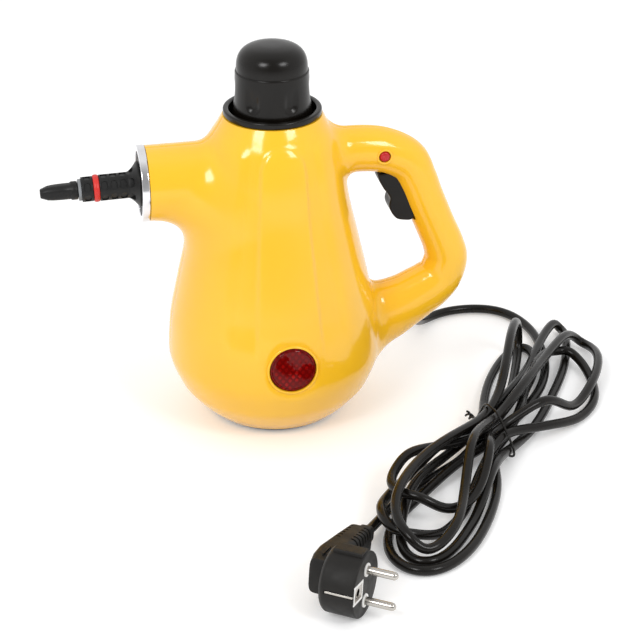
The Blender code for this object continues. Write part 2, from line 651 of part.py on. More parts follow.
def smooth_values(knots, values, at):
    """A curve through knots that never overshoots them."""
    knots = np.asarray(knots, float)
    values = np.asarray(values, float)
    step = np.diff(knots)
    slope = np.diff(values) / step
    same = slope[:-1] * slope[1:] > 0
    total = np.where(same, slope[:-1] + slope[1:], 1.0)
    inner = np.where(same, 2.0 * slope[:-1] * slope[1:] / total, 0.0)
    tangent = np.concatenate(([slope[0]], inner, [slope[-1]]))
    at = np.asarray(at, float)
    index = np.clip(np.searchsorted(knots, at) - 1, 0, len(step) - 1)
    share = np.clip((at - knots[index]) / step[index], -1.0, 2.0)
    outside = np.where(share < 0, share, np.where(share > 1, share - 1.0, 0.0))
    share = np.clip(share, 0.0, 1.0)
    low = values[index] * (1 + 2 * share) * (1 - share) ** 2
    low += tangent[index] * step[index] * share * (1 - share) ** 2
    high = values[index + 1] * share ** 2 * (3 - 2 * share)
    high += tangent[index + 1] * step[index] * share ** 2 * (share - 1)
    edge = np.where(outside < 0, tangent[index], tangent[index + 1])
    return low + high + outside * step[index] * edge


def rise(value, low, high):
    """A soft step from 0 to 1."""
    share = np.clip((value - low) / (high - low), 0.0, 1.0)
    return share * share * (3.0 - 2.0 * share)


BODY_HEIGHT = BODY_TOP - BODY_FOOT


def body_radius(height):
    """Radius of the pear without its flutes."""
    shares = np.array(BODY_PROFILE_SHARES)
    return BELLY_RADIUS * smooth_values(shares[:, 0], shares[:, 1], (height - BODY_FOOT) / BODY_HEIGHT)


def body_axis(height):
    """The pear leans a little to the nozzle between its ends."""
    share = np.clip((height - BODY_FOOT) / BODY_HEIGHT, 0.0, 1.0)
    return BELLY_SHIFT * np.sin(math.pi * share)


def body_distance(x, y, z):
    """Distance to the fluted pear."""
    radius = body_radius(z)
    slope = (body_radius(z + CLEAR) - body_radius(z - CLEAR)) / (2.0 * CLEAR)
    across = x - body_axis(z)
    angle = np.arctan2(np.abs(across), np.abs(y))
    share = np.clip((angle - PANEL_ANGLE) / FLUTE_ANGLE, 0.0, 1.0)
    foot, full, shoulder, end = [BODY_FOOT + BODY_HEIGHT * share for share in FLUTE_FADE_SHARES]
    fade = rise(z, foot, full) * (1.0 - rise(z, shoulder, end))
    radius = radius - FLUTE_DEPTH * np.sin(math.pi * share) ** 2 * fade
    return (np.hypot(across, y) - radius) / np.sqrt(1.0 + slope ** 2)


def horn_distance(x, y, z):
    """Distance to the nozzle horn."""
    radius = HORN_RADIUS + HORN_FLARE * rise(x, HORN_MOUTH, 0.0)
    beyond = np.maximum(x - HORN_ROOT, 0.0)
    return np.sqrt(beyond ** 2 + y ** 2 + (z - HORN_AXIS) ** 2) - radius


def handle_line():
    """Centre line of the handle, with its half widths, as rows of x, z, width, depth."""
    shares = np.array(HANDLE_PATH_SHARES)
    keys = shares * np.array((HANDLE_REACH, BODY_TOP, GRIP_HALF_WIDTH, GRIP_HALF_DEPTH))
    return through(keys, HANDLE_PATH_STEPS * len(keys), 2)


HANDLE_LINE = None


def handle_distance(x, y, z):
    """Distance to the bent handle of oval section."""
    line = HANDLE_LINE
    start = line[:-1]
    reach = np.diff(line, axis=0)
    span = (reach[:, :2] ** 2).sum(axis=1)
    best = np.full(x.shape, np.inf)
    width = np.zeros(x.shape)
    depth = np.zeros(x.shape)
    for index in range(len(start)):
        dx = x - start[index, 0]
        dz = z - start[index, 1]
        share = np.clip((dx * reach[index, 0] + dz * reach[index, 1]) / span[index], 0.0, 1.0)
        apart = np.hypot(dx - share * reach[index, 0], dz - share * reach[index, 1])
        nearer = apart < best
        best = np.where(nearer, apart, best)
        width = np.where(nearer, start[index, 2] + share * reach[index, 2], width)
        depth = np.where(nearer, start[index, 3] + share * reach[index, 3], depth)
    away = np.hypot(best, y)
    oval = np.sqrt((best / width) ** 2 + (y / depth) ** 2)
    return away - np.where(oval > 0, away / np.maximum(oval, MM), 0.0) - np.where(oval > 0, 0.0, width)


def melt(one, other, blend):
    """The nearer of two distances, rounded where they are alike."""
    near = np.maximum(blend - np.abs(one - other), 0.0) / blend
    return np.minimum(one, other) - near * near * blend / 4.0


def housing_distance(points):
    """Signed distance to the housing's outer surface, negative inside."""
    x, y, z = points[:, 0], points[:, 1], points[:, 2]
    share = rise(z, HORN_AXIS - HORN_RADIUS, HORN_AXIS + HORN_RADIUS)
    blend = HORN_LOW_BLEND + (HORN_TOP_BLEND - HORN_LOW_BLEND) * share
    skin = melt(body_distance(x, y, z), horn_distance(x, y, z), blend)
    low, high = [BODY_TOP * share for share in HANDLE_LOW_FADE_SHARES]
    blend = HANDLE_LOW_BLEND + (HANDLE_BLEND - HANDLE_LOW_BLEND) * rise(z, low, high)
    return melt(skin, handle_distance(x, y, z), blend)


def housing_slope(points):
    """Gradient of the distance, by central differences."""
    step = CLEAR / 6.0
    slope = np.zeros(points.shape)
    for axis in range(3):
        shift = np.zeros(3)
        shift[axis] = step
        slope[:, axis] = housing_distance(points + shift) - housing_distance(points - shift)
    return slope / (2.0 * step)


def settle(points, freedom):
    """Slide points onto the surface, each in the directions that it is free to move."""
    for _ in range(SETTLE_ROUNDS):
        slope = housing_slope(points) * freedom
        value = housing_distance(points)
        step = slope * (value / np.maximum((slope ** 2).sum(axis=1), 0.05))[:, None]
        length = np.linalg.norm(step, axis=1)
        step *= np.minimum(1.0, SETTLE_LIMIT / np.maximum(length, TINY))[:, None]
        points = points - step
    return points


def blend_share(points):
    """How deep a point lies in a fillet, from 0 to 1."""
    x, y, z = points[:, 0], points[:, 1], points[:, 2]
    body = body_distance(x, y, z)
    plain = np.minimum(np.minimum(body, horn_distance(x, y, z)), handle_distance(x, y, z))
    return np.clip((plain - housing_distance(points)) / SLIDE_CLEAR, 0.0, 1.0)


class Cage:
    """Points and quads of the near half of the outer surface."""

    def __init__(self):
        self.points = []
        self.freedom = []
        self.quads = []

    def add(self, x, y, z, free=(1, 1, 1)):
        on_split = y == 0.0
        self.points.append((x, y, z))
        self.freedom.append((free[0], 0 if on_split else free[1], free[2]))
        return len(self.points) - 1

    def strip(self, one, other):
        for index in range(len(one) - 1):
            self.quads.append((one[index], one[index + 1], other[index + 1], other[index]))


def body_grid(cage):
    """Rows and columns of the pear, open where the horn and the handle leave it."""
    last = len(COLUMN_ANGLES) - 1
    gaps = (
        ((HORN_LOW_ROW, HORN_HIGH_ROW), 0, PORT_COLUMNS),
        ((TOP_PORT_LOW_ROW, TOP_PORT_HIGH_ROW), last - PORT_COLUMNS, last),
        ((LOW_PORT_LOW_ROW, LOW_PORT_HIGH_ROW), last - PORT_COLUMNS, last))
    used = set()
    faces = []
    for row in range(len(ROW_SHARES) - 1):
        for column in range(last):
            open_here = False
            for (low, high), first, end in gaps:
                if low <= row < high and first <= column < end:
                    open_here = True
            if open_here:
                continue
            corners = ((row, column), (row, column + 1), (row + 1, column + 1), (row + 1, column))
            faces.append(corners)
            used.update(corners)
    grid = {}
    for row, column in sorted(used):
        height = BODY_FOOT + BODY_HEIGHT * ROW_SHARES[row]
        radius = float(body_radius(height))
        angle = math.radians(COLUMN_ANGLES[column])
        level = row in (0, len(ROW_SHARES) - 1)
        depth = 0.0 if column in (0, last) else -radius * math.cos(angle)
        across = float(body_axis(height)) + radius * math.sin(angle)
        grid[row, column] = cage.add(across, depth, height, (1, 1, 0 if level else 1))
    for corners in faces:
        cage.quads.append(tuple(grid[corner] for corner in corners))
    return grid, last


def port(grid, rows, edge, inner):
    """Edge of an opening in the grid, from its upper to its lower end on the split."""
    low, high = rows
    step = 1 if inner > edge else -1
    path = [grid[high, column] for column in range(edge, inner, step)]
    path += [grid[row, inner] for row in range(high, low, -1)]
    path += [grid[low, column] for column in range(inner, edge - step, -step)]
    return path


def half_ring(cage, centre, outward, width, depth, count, free=(1, 1, 1)):
    """Half an oval ring, from its outer end on the split to its inner end."""
    ring = []
    for step in range(count):
        turn = math.pi * step / (count - 1)
        flat = width * math.cos(turn)
        out = 0.0 if step in (0, count - 1) else -depth * math.sin(turn)
        ring.append(cage.add(centre[0] + flat * outward[0], out, centre[1] + flat * outward[1], free))
    return ring


def bridge(cage, edge, ring):
    """Rings across a fillet, between an opening's edge and the first ring of a limb."""
    before = edge
    for step in range(1, FILLET_RINGS + 1):
        share = step / (FILLET_RINGS + 1.0)
        between = []
        for one, other in zip(edge, ring):
            start = np.array(cage.points[one])
            end = np.array(cage.points[other])
            x, y, z = start + share * (end - start)
            between.append(cage.add(float(x), float(y), float(z)))
        cage.strip(before, between)
        before = between
    cage.strip(before, ring)


def housing_cage():
    """The near half of the outer surface, settled and smoothed in its fillets."""
    cage = Cage()
    grid, last = body_grid(cage)
    edge = port(grid, (HORN_LOW_ROW, HORN_HIGH_ROW), 0, PORT_COLUMNS)
    before = None
    for share in HORN_RING_SHARES:
        place = HORN_MOUTH + share * (HORN_LAST_RING - HORN_MOUTH)
        free = (0, 1, 1) if share == 0.0 else (1, 1, 1)
        ring = half_ring(cage, (place, HORN_AXIS), (0, 1), HORN_RADIUS, HORN_RADIUS, len(edge), free)
        if before:
            cage.strip(before, ring)
        else:
            bridge(cage, edge, ring)
        before = ring
    edge = port(grid, (TOP_PORT_LOW_ROW, TOP_PORT_HIGH_ROW), last, last - PORT_COLUMNS)
    before = None
    final = port(grid, (LOW_PORT_LOW_ROW, LOW_PORT_HIGH_ROW), last, last - PORT_COLUMNS)[::-1]
    steps = len(HANDLE_LINE) - 1
    for stop in np.linspace(*HANDLE_ENDS_SHARES, HANDLE_RINGS):
        index = int(round(stop * steps))
        x, z, width, depth = HANDLE_LINE[index]
        run = HANDLE_LINE[index + 1] - HANDLE_LINE[index - 1]
        size = math.hypot(run[0], run[1])
        outward = (-run[1] / size, run[0] / size)
        ring = half_ring(cage, (x, z), outward, width, depth, len(edge))
        if before:
            cage.strip(before, ring)
        else:
            bridge(cage, edge, ring)
        before = ring
    bridge(cage, final, before)
    return relaxed(cage)


def relaxed(cage):
    """Points on the surface, evened out where parts melt into each other."""
    freedom = np.array(cage.freedom, float)
    points = settle(np.array(cage.points), freedom)
    pairs = set()
    for quad in cage.quads:
        for one, other in zip(quad, quad[1:] + quad[:1]):
            pairs.add((min(one, other), max(one, other)))
    pairs = np.array(sorted(pairs))
    on_split = freedom[:, 1] == 0
    links = []
    for one, other in np.vstack((pairs, pairs[:, ::-1])):
        if not on_split[one] or on_split[other]:
            links.append((one, other))
    links = np.array(links)
    for _ in range(SMOOTHING_ROUNDS):
        total = np.zeros(points.shape)
        count = np.zeros(len(points))
        np.add.at(total, links[:, 0], points[links[:, 1]])
        np.add.at(count, links[:, 0], 1.0)
        middle = total / np.maximum(count, 1.0)[:, None]
        weight = 0.6 * blend_share(points) * (freedom[:, 0] * freedom[:, 2])
        points = points + weight[:, None] * (middle - points)
        points = settle(points, freedom)
    return points, freedom, cage.quads


def inward(points, freedom, wall):
    """The same points on the inner skin."""
    slope = housing_slope(points) * freedom
    size = np.maximum((slope ** 2).sum(axis=1), 0.2)
    full = np.linalg.norm(housing_slope(points), axis=1)
    return points - slope * (wall * full / size)[:, None]


def shell_mesh(surface, side):
    """A closed half shell. Side is -1 for the near half and 1 for the far one."""
    points, freedom, quads = surface
    inner = inward(points, freedom, WALL)
    count = len(points)
    both = np.vstack((points, inner))
    both[:, 1] = side * (np.abs(both[:, 1]) + SPLIT_GAP / 2.0)
    bm = bmesh.new()
    verts = [bm.verts.new(point) for point in both]
    edges = {}
    for quad in quads:
        first, second = [np.linalg.norm(both[quad[step]] - both[quad[step + 2]]) for step in (0, 1)]
        turn = 0 if first <= second else 1
        for trio in ((turn, turn + 1, turn + 2), (turn, turn + 2, turn + 3)):
            corners = [quad[step % 4] for step in trio]
            bm.faces.new([verts[index] for index in corners])
            bm.faces.new([verts[index + count] for index in reversed(corners)])
        for one, other in zip(quad, quad[1:] + quad[:1]):
            key = (min(one, other), max(one, other))
            edges[key] = edges.get(key, 0) + 1
    for (one, other), uses in edges.items():
        if uses == 1:
            bm.faces.new((verts[one], verts[other], verts[other + count], verts[one + count]))
    return bm


def wall_depth(x, z, inset):
    """Distance from the parting plane to a layer of the wall, at a place in that plane."""
    low = 0.0
    high = DEPTH_LIMIT
    for _ in range(40):
        middle = (low + high) / 2.0
        inside = housing_distance(np.array([[x, middle, z]]))[0] < -inset
        low, high = (middle, high) if inside else (low, middle)
    return low


def boss(bm, place, start, radius, side, sides=SMALL_SIDES):
    """A post from near the parting plane into the wall, ending along the wall's own form."""
    x, z = place
    inset = WALL * BOSS_INSET_SHARE
    low = []
    high = []
    for step in range(sides):
        turn = 2.0 * math.pi * step / sides
        px = x + radius * math.cos(turn)
        pz = z + radius * math.sin(turn)
        low.append(bm.verts.new((px, side * start, pz)))
        high.append(bm.verts.new((px, side * wall_depth(px, pz, inset), pz)))
    tip = bm.verts.new((x, side * wall_depth(x, z, inset), z))
    bm.faces.new(low)
    for step in range(sides):
        after = (step + 1) % sides
        bm.faces.new((low[step], low[after], high[after], high[step]))
        bm.faces.new((high[step], high[after], tip))
    return bm


def base_place(angle):
    """A place on the circle of the base screws."""
    turn = math.radians(angle)
    return BASE_SCREW_CIRCLE * math.cos(turn), BASE_SCREW_CIRCLE * math.sin(turn)


def trigger_point(share):
    """A place on the trigger, from a share of its size, counted from its pivot."""
    return TRIGGER_PIVOT[0] + share[0] * TRIGGER_SIZE, TRIGGER_PIVOT[1] + share[1] * TRIGGER_SIZE


def lens_place():
    """Frame at the lens's back, with its axis pointing out of the belly."""
    outward = Vector((0.0, -math.cos(LENS_TILT), math.sin(LENS_TILT)))
    return along((0.0, LENS_SINK - float(body_radius(LENS_HEIGHT)), LENS_HEIGHT), outward)


def housing_near(surface):
    """Near half shell with its posts, lens seat and lock rim."""
    shell = piece("housing_near", shell_mesh(surface, -1), yellow_plastic())
    added = bmesh.new()
    for place in SCREW_PLACES.values():
        boss(added, place, SPLIT_GAP / 2.0, BOSS_RADIUS, -1)
    boss(added, TRIGGER_PIVOT, TRIGGER_HALF_WIDTH + CLEAR, PIN_SOCKET_RADIUS, -1)
    for name in ("left", "right"):
        x, y = base_place(BASE_SCREW_ANGLES[name])
        rod(added, (x, y, BODY_FOOT), (x, y, BODY_FOOT + BASE_BOSS_HEIGHT), BOSS_RADIUS, SMALL_SIDES)
    outer = LENS_RADIUS + CLEAR + LENS_RIM_WIDTH
    deep = -LENS_SEAT_DEPTH - LENS_EDGE
    profile = ((LENS_SEAT_RADIUS, deep), (outer, deep), (outer, LENS_RIM_PROUD), (LENS_SEAT_RADIUS, LENS_RIM_PROUD))
    turned(added, profile, MIDDLE_SIDES, lens_place())
    x, z = LOCK_PLACE
    rod(added, (x, -wall_depth(x, z, WALL), z), (x, -LOCK_RIM_HEIGHT, z), LOCK_RIM_RADIUS)
    tool("near_added", added, shell, "UNION")

    cuts = bmesh.new()
    for x, z in SCREW_PLACES.values():
        rod(cuts, (x, 0.0, z), (x, -SCREW_GRIP - CLEAR, z), SCREW_RADIUS + CLEAR, SMALL_SIDES)
    x, z = TRIGGER_PIVOT
    rod(cuts, (x, 0.0, z), (x, -PIN_HALF_LENGTH - CLEAR, z), PIN_RADIUS + CLEAR, SMALL_SIDES)
    for name in ("left", "right"):
        x, y = base_place(BASE_SCREW_ANGLES[name])
        top = BODY_FOOT + BASE_SCREW_GRIP + CLEAR
        rod(cuts, (x, y, BODY_FOOT - OVERRUN), (x, y, top), SCREW_RADIUS + CLEAR, SMALL_SIDES)
    bore = LENS_RADIUS + CLEAR
    profile = (
        (0, deep - OVERRUN), (LENS_SEAT_RADIUS, deep - OVERRUN), (LENS_SEAT_RADIUS, -LENS_SEAT_DEPTH),
        (bore, -LENS_SEAT_DEPTH), (bore, 2 * OVERRUN + LENS_RIM_PROUD), (0, 2 * OVERRUN + LENS_RIM_PROUD))
    turned(cuts, profile, MIDDLE_SIDES, lens_place())
    x, z = LOCK_PLACE
    rod(cuts, (x, 0.0, z), (x, LOCK_NEAR_END - OVERRUN, z), LOCK_RADIUS + CLEAR)
    tool("near_cuts", cuts, shell, "DIFFERENCE")

    slot = bmesh.new()
    outline = [trigger_point(share) for share in SLOT_OUTLINE_SHARES]
    prism(slot, outline, -TRIGGER_HALF_WIDTH - CLEAR, OVERRUN)
    tool("near_slot", slot, shell, "DIFFERENCE")
    return shell


def housing_far(surface):
    """Far half shell with its screw wells, cord exit and lock hole."""
    shell = piece("housing_far", shell_mesh(surface, 1), yellow_plastic())
    added = bmesh.new()
    for place in SCREW_PLACES.values():
        boss(added, place, SPLIT_GAP / 2.0, BOSS_RADIUS + SCREW_SLOT, 1)
    boss(added, TRIGGER_PIVOT, TRIGGER_HALF_WIDTH + CLEAR, PIN_SOCKET_RADIUS, 1)
    x, y = base_place(BASE_SCREW_ANGLES["back"])
    rod(added, (x, y, BODY_FOOT), (x, y, BODY_FOOT + BASE_BOSS_HEIGHT), BOSS_RADIUS, SMALL_SIDES)
    x, z = LOCK_PLACE
    rod(added, (x, wall_depth(x, z, WALL), z), (x, LOCK_RIM_HEIGHT, z), LOCK_RIM_RADIUS)
    tool("far_added", added, shell, "UNION")

    cuts = bmesh.new()
    well = SPLIT_GAP / 2.0 + SCREW_WEB
    for x, z in SCREW_PLACES.values():
        far = wall_depth(x, z, 0.0) + OVERRUN
        profile = (
            (0, -OVERRUN), (SCREW_RADIUS + CLEAR, -OVERRUN), (SCREW_RADIUS + CLEAR, well),
            (SCREW_HEAD_RADIUS + CLEAR, well), (SCREW_HEAD_RADIUS + CLEAR, far), (0, far))
        turned(cuts, profile, SMALL_SIDES, along((x, 0.0, z), (0.0, 1.0, 0.0)))
    x, z = TRIGGER_PIVOT
    rod(cuts, (x, 0.0, z), (x, PIN_HALF_LENGTH + CLEAR, z), PIN_RADIUS + CLEAR, SMALL_SIDES)
    x, y = base_place(BASE_SCREW_ANGLES["back"])
    top = BODY_FOOT + BASE_SCREW_GRIP + CLEAR
    rod(cuts, (x, y, BODY_FOOT - OVERRUN), (x, y, top), SCREW_RADIUS + CLEAR, SMALL_SIDES)
    x, z = LOCK_PLACE
    rod(cuts, (x, 0.0, z), (x, LOCK_RIM_HEIGHT + OVERRUN, z), LOCK_RADIUS + CLEAR)
    exit_point = Vector(EXIT_POINT)
    outward = Vector(EXIT_DIRECTION).normalized()
    profile = (
        (0, -RELIEF_INSIDE), (RELIEF_ROOT_RADIUS + CLEAR, -RELIEF_INSIDE), (RELIEF_ROOT_RADIUS + CLEAR, -CLEAR),
        (RELIEF_FLANGE_RADIUS + CLEAR, -CLEAR), (RELIEF_FLANGE_RADIUS + CLEAR, 2 * OVERRUN), (0, 2 * OVERRUN))
    turned(cuts, profile, ROUND_SIDES, along(exit_point, outward))
    tool("far_cuts", cuts, shell, "DIFFERENCE")

    slot = bmesh.new()
    outline = [trigger_point(share) for share in SLOT_OUTLINE_SHARES]
    prism(slot, outline, -OVERRUN, TRIGGER_HALF_WIDTH + CLEAR)
    tool("far_slot", slot, shell, "DIFFERENCE")
    return shell


def headed_screw(name, head_seat, direction, grip, radius, head_radius, head_height):
    """A plain screw: its head's seat, and its shank along a direction."""
    bm = bmesh.new()
    profile = (
        (0, -head_height), (head_radius, -head_height), (head_radius, 0), (radius, 0), (radius, grip), (0, grip))
    turned(bm, profile, SMALL_SIDES, along(head_seat, direction))
    return piece(name, bm, steel())


def housing_screws():
    seat = SPLIT_GAP / 2.0 + SCREW_WEB + CLEAR
    for name, (x, z) in SCREW_PLACES.items():
        grip = seat + SCREW_GRIP - CLEAR
        headed_screw(
            "housing_screw_" + name, (x, seat, z), (0.0, -1.0, 0.0), grip, SCREW_RADIUS,
            SCREW_HEAD_RADIUS, SCREW_HEAD_HEIGHT)


def base_plate():
    """Round plate that closes the belly, with the posts that carry the boiler."""
    bm = bmesh.new()
    profile = (
        (0, 0), (BASE_RADIUS - BASE_CHAMFER, 0), (BASE_RADIUS, BASE_CHAMFER), (BASE_RADIUS, BASE_THICKNESS),
        (0, BASE_THICKNESS))
    turned(bm, profile, BROAD_SIDES)
    plate = piece("base_plate", bm, black_plastic())
    posts = bmesh.new()
    for index in range(BOILER_POSTS):
        turn = math.radians(90.0) + 2.0 * math.pi * index / BOILER_POSTS
        x = BOILER_POST_CIRCLE * math.cos(turn)
        y = BOILER_POST_CIRCLE * math.sin(turn)
        top = BOILER_BOTTOM - CLEAR
        rod(posts, (x, y, BASE_THICKNESS / 2.0), (x, y, top), BOILER_POST_RADIUS, SMALL_SIDES)
    tool("base_posts", posts, plate, "UNION")
    holes = bmesh.new()
    head = SCREW_HEAD_RADIUS + CLEAR
    seat = BASE_THICKNESS / 2.0
    for angle in BASE_SCREW_ANGLES.values():
        x, y = base_place(angle)
        profile = (
            (0, -OVERRUN), (head, -OVERRUN), (head, seat), (SCREW_RADIUS + CLEAR, seat),
            (SCREW_RADIUS + CLEAR, BASE_THICKNESS + OVERRUN), (0, BASE_THICKNESS + OVERRUN))
        turned(holes, profile, SMALL_SIDES, Matrix.Translation((x, y, 0.0)))
    tool("base_holes", holes, plate, "DIFFERENCE")
    for name, angle in BASE_SCREW_ANGLES.items():
        x, y = base_place(angle)
        low = seat - CLEAR
        grip = BODY_FOOT + BASE_SCREW_GRIP - low
        headed_screw(
            "base_screw_" + name, (x, y, low), (0.0, 0.0, 1.0), grip, SCREW_RADIUS,
            SCREW_HEAD_RADIUS, low - CLEAR)


def collar_ring():
    """Black lip around the filler opening, with a well for the cap."""
    bm = bmesh.new()
    low = COLLAR_FLOOR
    lip = BODY_TOP + CLEAR
    profile = (
        (NECK_RADIUS + CLEAR, low), (COLLAR_SPIGOT_RADIUS, low), (COLLAR_SPIGOT_RADIUS, lip), (COLLAR_RADIUS, lip),
        (COLLAR_RADIUS, COLLAR_TOP - COLLAR_EDGE), (COLLAR_RADIUS - COLLAR_EDGE, COLLAR_TOP),
        (COLLAR_RIM_RADIUS + COLLAR_EDGE, COLLAR_TOP), (COLLAR_RIM_RADIUS, COLLAR_TOP - COLLAR_EDGE),
        (COLLAR_WELL_RADIUS, low + COLLAR_FLOOR_THICKNESS), (NECK_RADIUS + CLEAR, low + COLLAR_FLOOR_THICKNESS))
    turned(bm, profile, BROAD_SIDES)
    piece("collar_ring", bm, black_plastic())


def boiler():
    """Cast pot and lid with their gasket and screws."""
    joint = BOILER_JOINT
    bm = bmesh.new()
    inside = BOILER_RADIUS - BOILER_WALL
    profile = (
        (0, BOILER_BOTTOM), (inside, BOILER_BOTTOM), (BOILER_RADIUS, BOILER_BOTTOM + BOILER_WALL),
        (BOILER_RADIUS, joint - FLANGE_THICKNESS), (FLANGE_RADIUS, joint - FLANGE_THICKNESS), (FLANGE_RADIUS, joint),
        (inside, joint), (inside, BOILER_BOTTOM + 2 * BOILER_WALL),
        (inside - BOILER_WALL, BOILER_BOTTOM + BOILER_WALL), (0, BOILER_BOTTOM + BOILER_WALL))
    turned(bm, profile, MIDDLE_SIDES)
    pot = piece("boiler_pot", bm, aluminium())

    low = joint + CLEAR
    high = low + BOILER_SEAM - CLEAR
    bm = bmesh.new()
    profile = ((inside, low), (FLANGE_RADIUS, low), (FLANGE_RADIUS, high), (inside, high))
    turned(bm, profile, MIDDLE_SIDES)
    gasket = piece("boiler_gasket", bm, rubber("white_rubber", (0.75, 0.74, 0.7)))

    foot = high + CLEAR
    flange_top = foot + FLANGE_THICKNESS
    dome = flange_top + LID_DOME
    bm = bmesh.new()
    profile = (
        (inside, foot), (FLANGE_RADIUS, foot), (FLANGE_RADIUS, flange_top), (BOILER_RADIUS, flange_top),
        (0.85 * BOILER_RADIUS, flange_top + 0.6 * LID_DOME), (NECK_RADIUS, dome), (NECK_RADIUS, NECK_TOP),
        (NECK_BORE, NECK_TOP), (NECK_BORE, dome - BOILER_WALL),
        (0.85 * BOILER_RADIUS - BOILER_WALL, flange_top + 0.6 * LID_DOME - BOILER_WALL), (inside, flange_top))
    turned(bm, profile, MIDDLE_SIDES)
    lid = piece("boiler_lid", bm, aluminium())
    riser = bmesh.new()
    top = VALVE_AXIS - VALVE_HALF_HEIGHT - CLEAR
    x = RISER_PLACE
    rod(riser, (x, 0.0, dome - 0.7 * LID_DOME), (x, 0.0, top), RISER_RADIUS, SMALL_SIDES)
    tool("lid_riser", riser, lid, "UNION")
    hole = bmesh.new()
    rod(hole, (x, 0.0, flange_top), (x, 0.0, top + OVERRUN), RISER_BORE, SMALL_SIDES)
    for place in flange_places():
        flange_hole(hole, place, foot, flange_top)
    tool("lid_holes", hole, lid, "DIFFERENCE")
    for name, target, bottom, ceiling in (("pot", pot, joint - FLANGE_THICKNESS, joint), ("seam", gasket, low, high)):
        hole = bmesh.new()
        for place in flange_places():
            flange_hole(hole, place, bottom, ceiling)
        tool(name + "_holes", hole, target, "DIFFERENCE")
    for index, place in enumerate(flange_places()):
        seat = flange_top + CLEAR
        headed_screw(
            "boiler_screw_%d" % (index + 1), (*place, seat), (0.0, 0.0, -1.0),
            seat - joint + FLANGE_THICKNESS, FLANGE_SCREW_RADIUS, FLANGE_SCREW_HEAD, FLANGE_SCREW_HEIGHT)


def flange_hole(bm, place, low, high):
    """Cutter for one flange screw through a layer."""
    rod(bm, (*place, low - OVERRUN), (*place, high + OVERRUN), FLANGE_SCREW_RADIUS + CLEAR, SMALL_SIDES)


def flange_places():
    places = []
    for index in range(FLANGE_SCREWS):
        turn = FLANGE_SCREW_START + 2.0 * math.pi * index / FLANGE_SCREWS
        places.append((FLANGE_SCREW_CIRCLE * math.cos(turn), FLANGE_SCREW_CIRCLE * math.sin(turn)))
    return places


def heater_end(side):
    """Lower end of a cold tail of the heating element."""
    x = HEATER_CIRCLE * math.cos(HEATER_GAP_ANGLE)
    y = side * HEATER_CIRCLE * math.sin(HEATER_GAP_ANGLE)
    level = BOILER_BOTTOM - CLEAR - HEATER_RADIUS
    return x, y, level - HEATER_TAIL


def heating():
    """Ring heater under the pot, thermostat, fuse, terminal block and leads."""
    level = BOILER_BOTTOM - CLEAR - HEATER_RADIUS
    points = [heater_end(1)]
    for step in range(HEATER_POINTS + 1):
        turn = HEATER_GAP_ANGLE + step / HEATER_POINTS * (2.0 * math.pi - 2.0 * HEATER_GAP_ANGLE)
        points.append((HEATER_CIRCLE * math.cos(turn), HEATER_CIRCLE * math.sin(turn), level))
    points.append(heater_end(-1))
    wire("heating_element", points, HEATER_RADIUS, steel())

    bm = bmesh.new()
    top = BOILER_BOTTOM - CLEAR
    rod(bm, (0.0, 0.0, top - THERMOSTAT_HEIGHT), (0.0, 0.0, top), THERMOSTAT_RADIUS)
    piece("thermostat", bm, black_plastic())
    bm = bmesh.new()
    half = FUSE_LENGTH / 2.0
    rod(bm, (FUSE_PLACE, -half, top - FUSE_RADIUS), (FUSE_PLACE, half, top - FUSE_RADIUS), FUSE_RADIUS, SMALL_SIDES)
    piece("thermal_fuse", bm, steel())

    bm = bmesh.new()
    low = BASE_THICKNESS + CLEAR
    right = TERMINAL_NEAR_EDGE + TERMINAL_LENGTH
    half = TERMINAL_WIDTH / 2.0
    block(bm, (TERMINAL_NEAR_EDGE, -half, low), (right, half, low + TERMINAL_HEIGHT))
    terminal = piece("terminal_block", bm, material("white_plastic", (0.8, 0.8, 0.77), 0.4))
    holes = bmesh.new()
    pitch = TERMINAL_WIDTH / TERMINAL_HOLES
    for index in range(TERMINAL_HOLES):
        y = (index - (TERMINAL_HOLES - 1) / 2.0) * pitch
        x = TERMINAL_NEAR_EDGE + TERMINAL_LENGTH / 2.0
        high = low + TERMINAL_HEIGHT
        rod(holes, (x, y, high - TERMINAL_HEIGHT / 2.0), (x, y, high + OVERRUN), TERMINAL_HOLE_RADIUS, SMALL_SIDES)
    tool("terminal_holes", holes, terminal, "DIFFERENCE")
    leads(low)


def leads(low):
    """Insulated leads between the terminal block and what it feeds."""
    half = TERMINAL_WIDTH / 2.0
    middle = TERMINAL_NEAR_EDGE + TERMINAL_LENGTH / 2.0
    height = LEAD_HEIGHT
    for name, side in (("far", 1), ("near", -1)):
        x, y, z = heater_end(side)
        start = Vector((x, y, z - CLEAR))
        route = (start, start - Vector((0.0, 0.0, 2 * OVERRUN)), (middle, side * (half + 2 * OVERRUN), height),
                 (middle, side * (half + CLEAR), height))
        wire("heater_lead_" + name, through(route, LEAD_POINTS), LEAD_RADIUS, red_plastic())
    start = Vector((0.0, 0.0, BOILER_BOTTOM - 2 * CLEAR - THERMOSTAT_HEIGHT))
    route = (start, start - Vector((0.0, 0.0, 2 * OVERRUN)), (TERMINAL_NEAR_EDGE / 2.0, 0.0, height),
             (TERMINAL_NEAR_EDGE - CLEAR, 0.0, height))
    wire("thermostat_lead", through(route, LEAD_POINTS), LEAD_RADIUS, black_plastic())


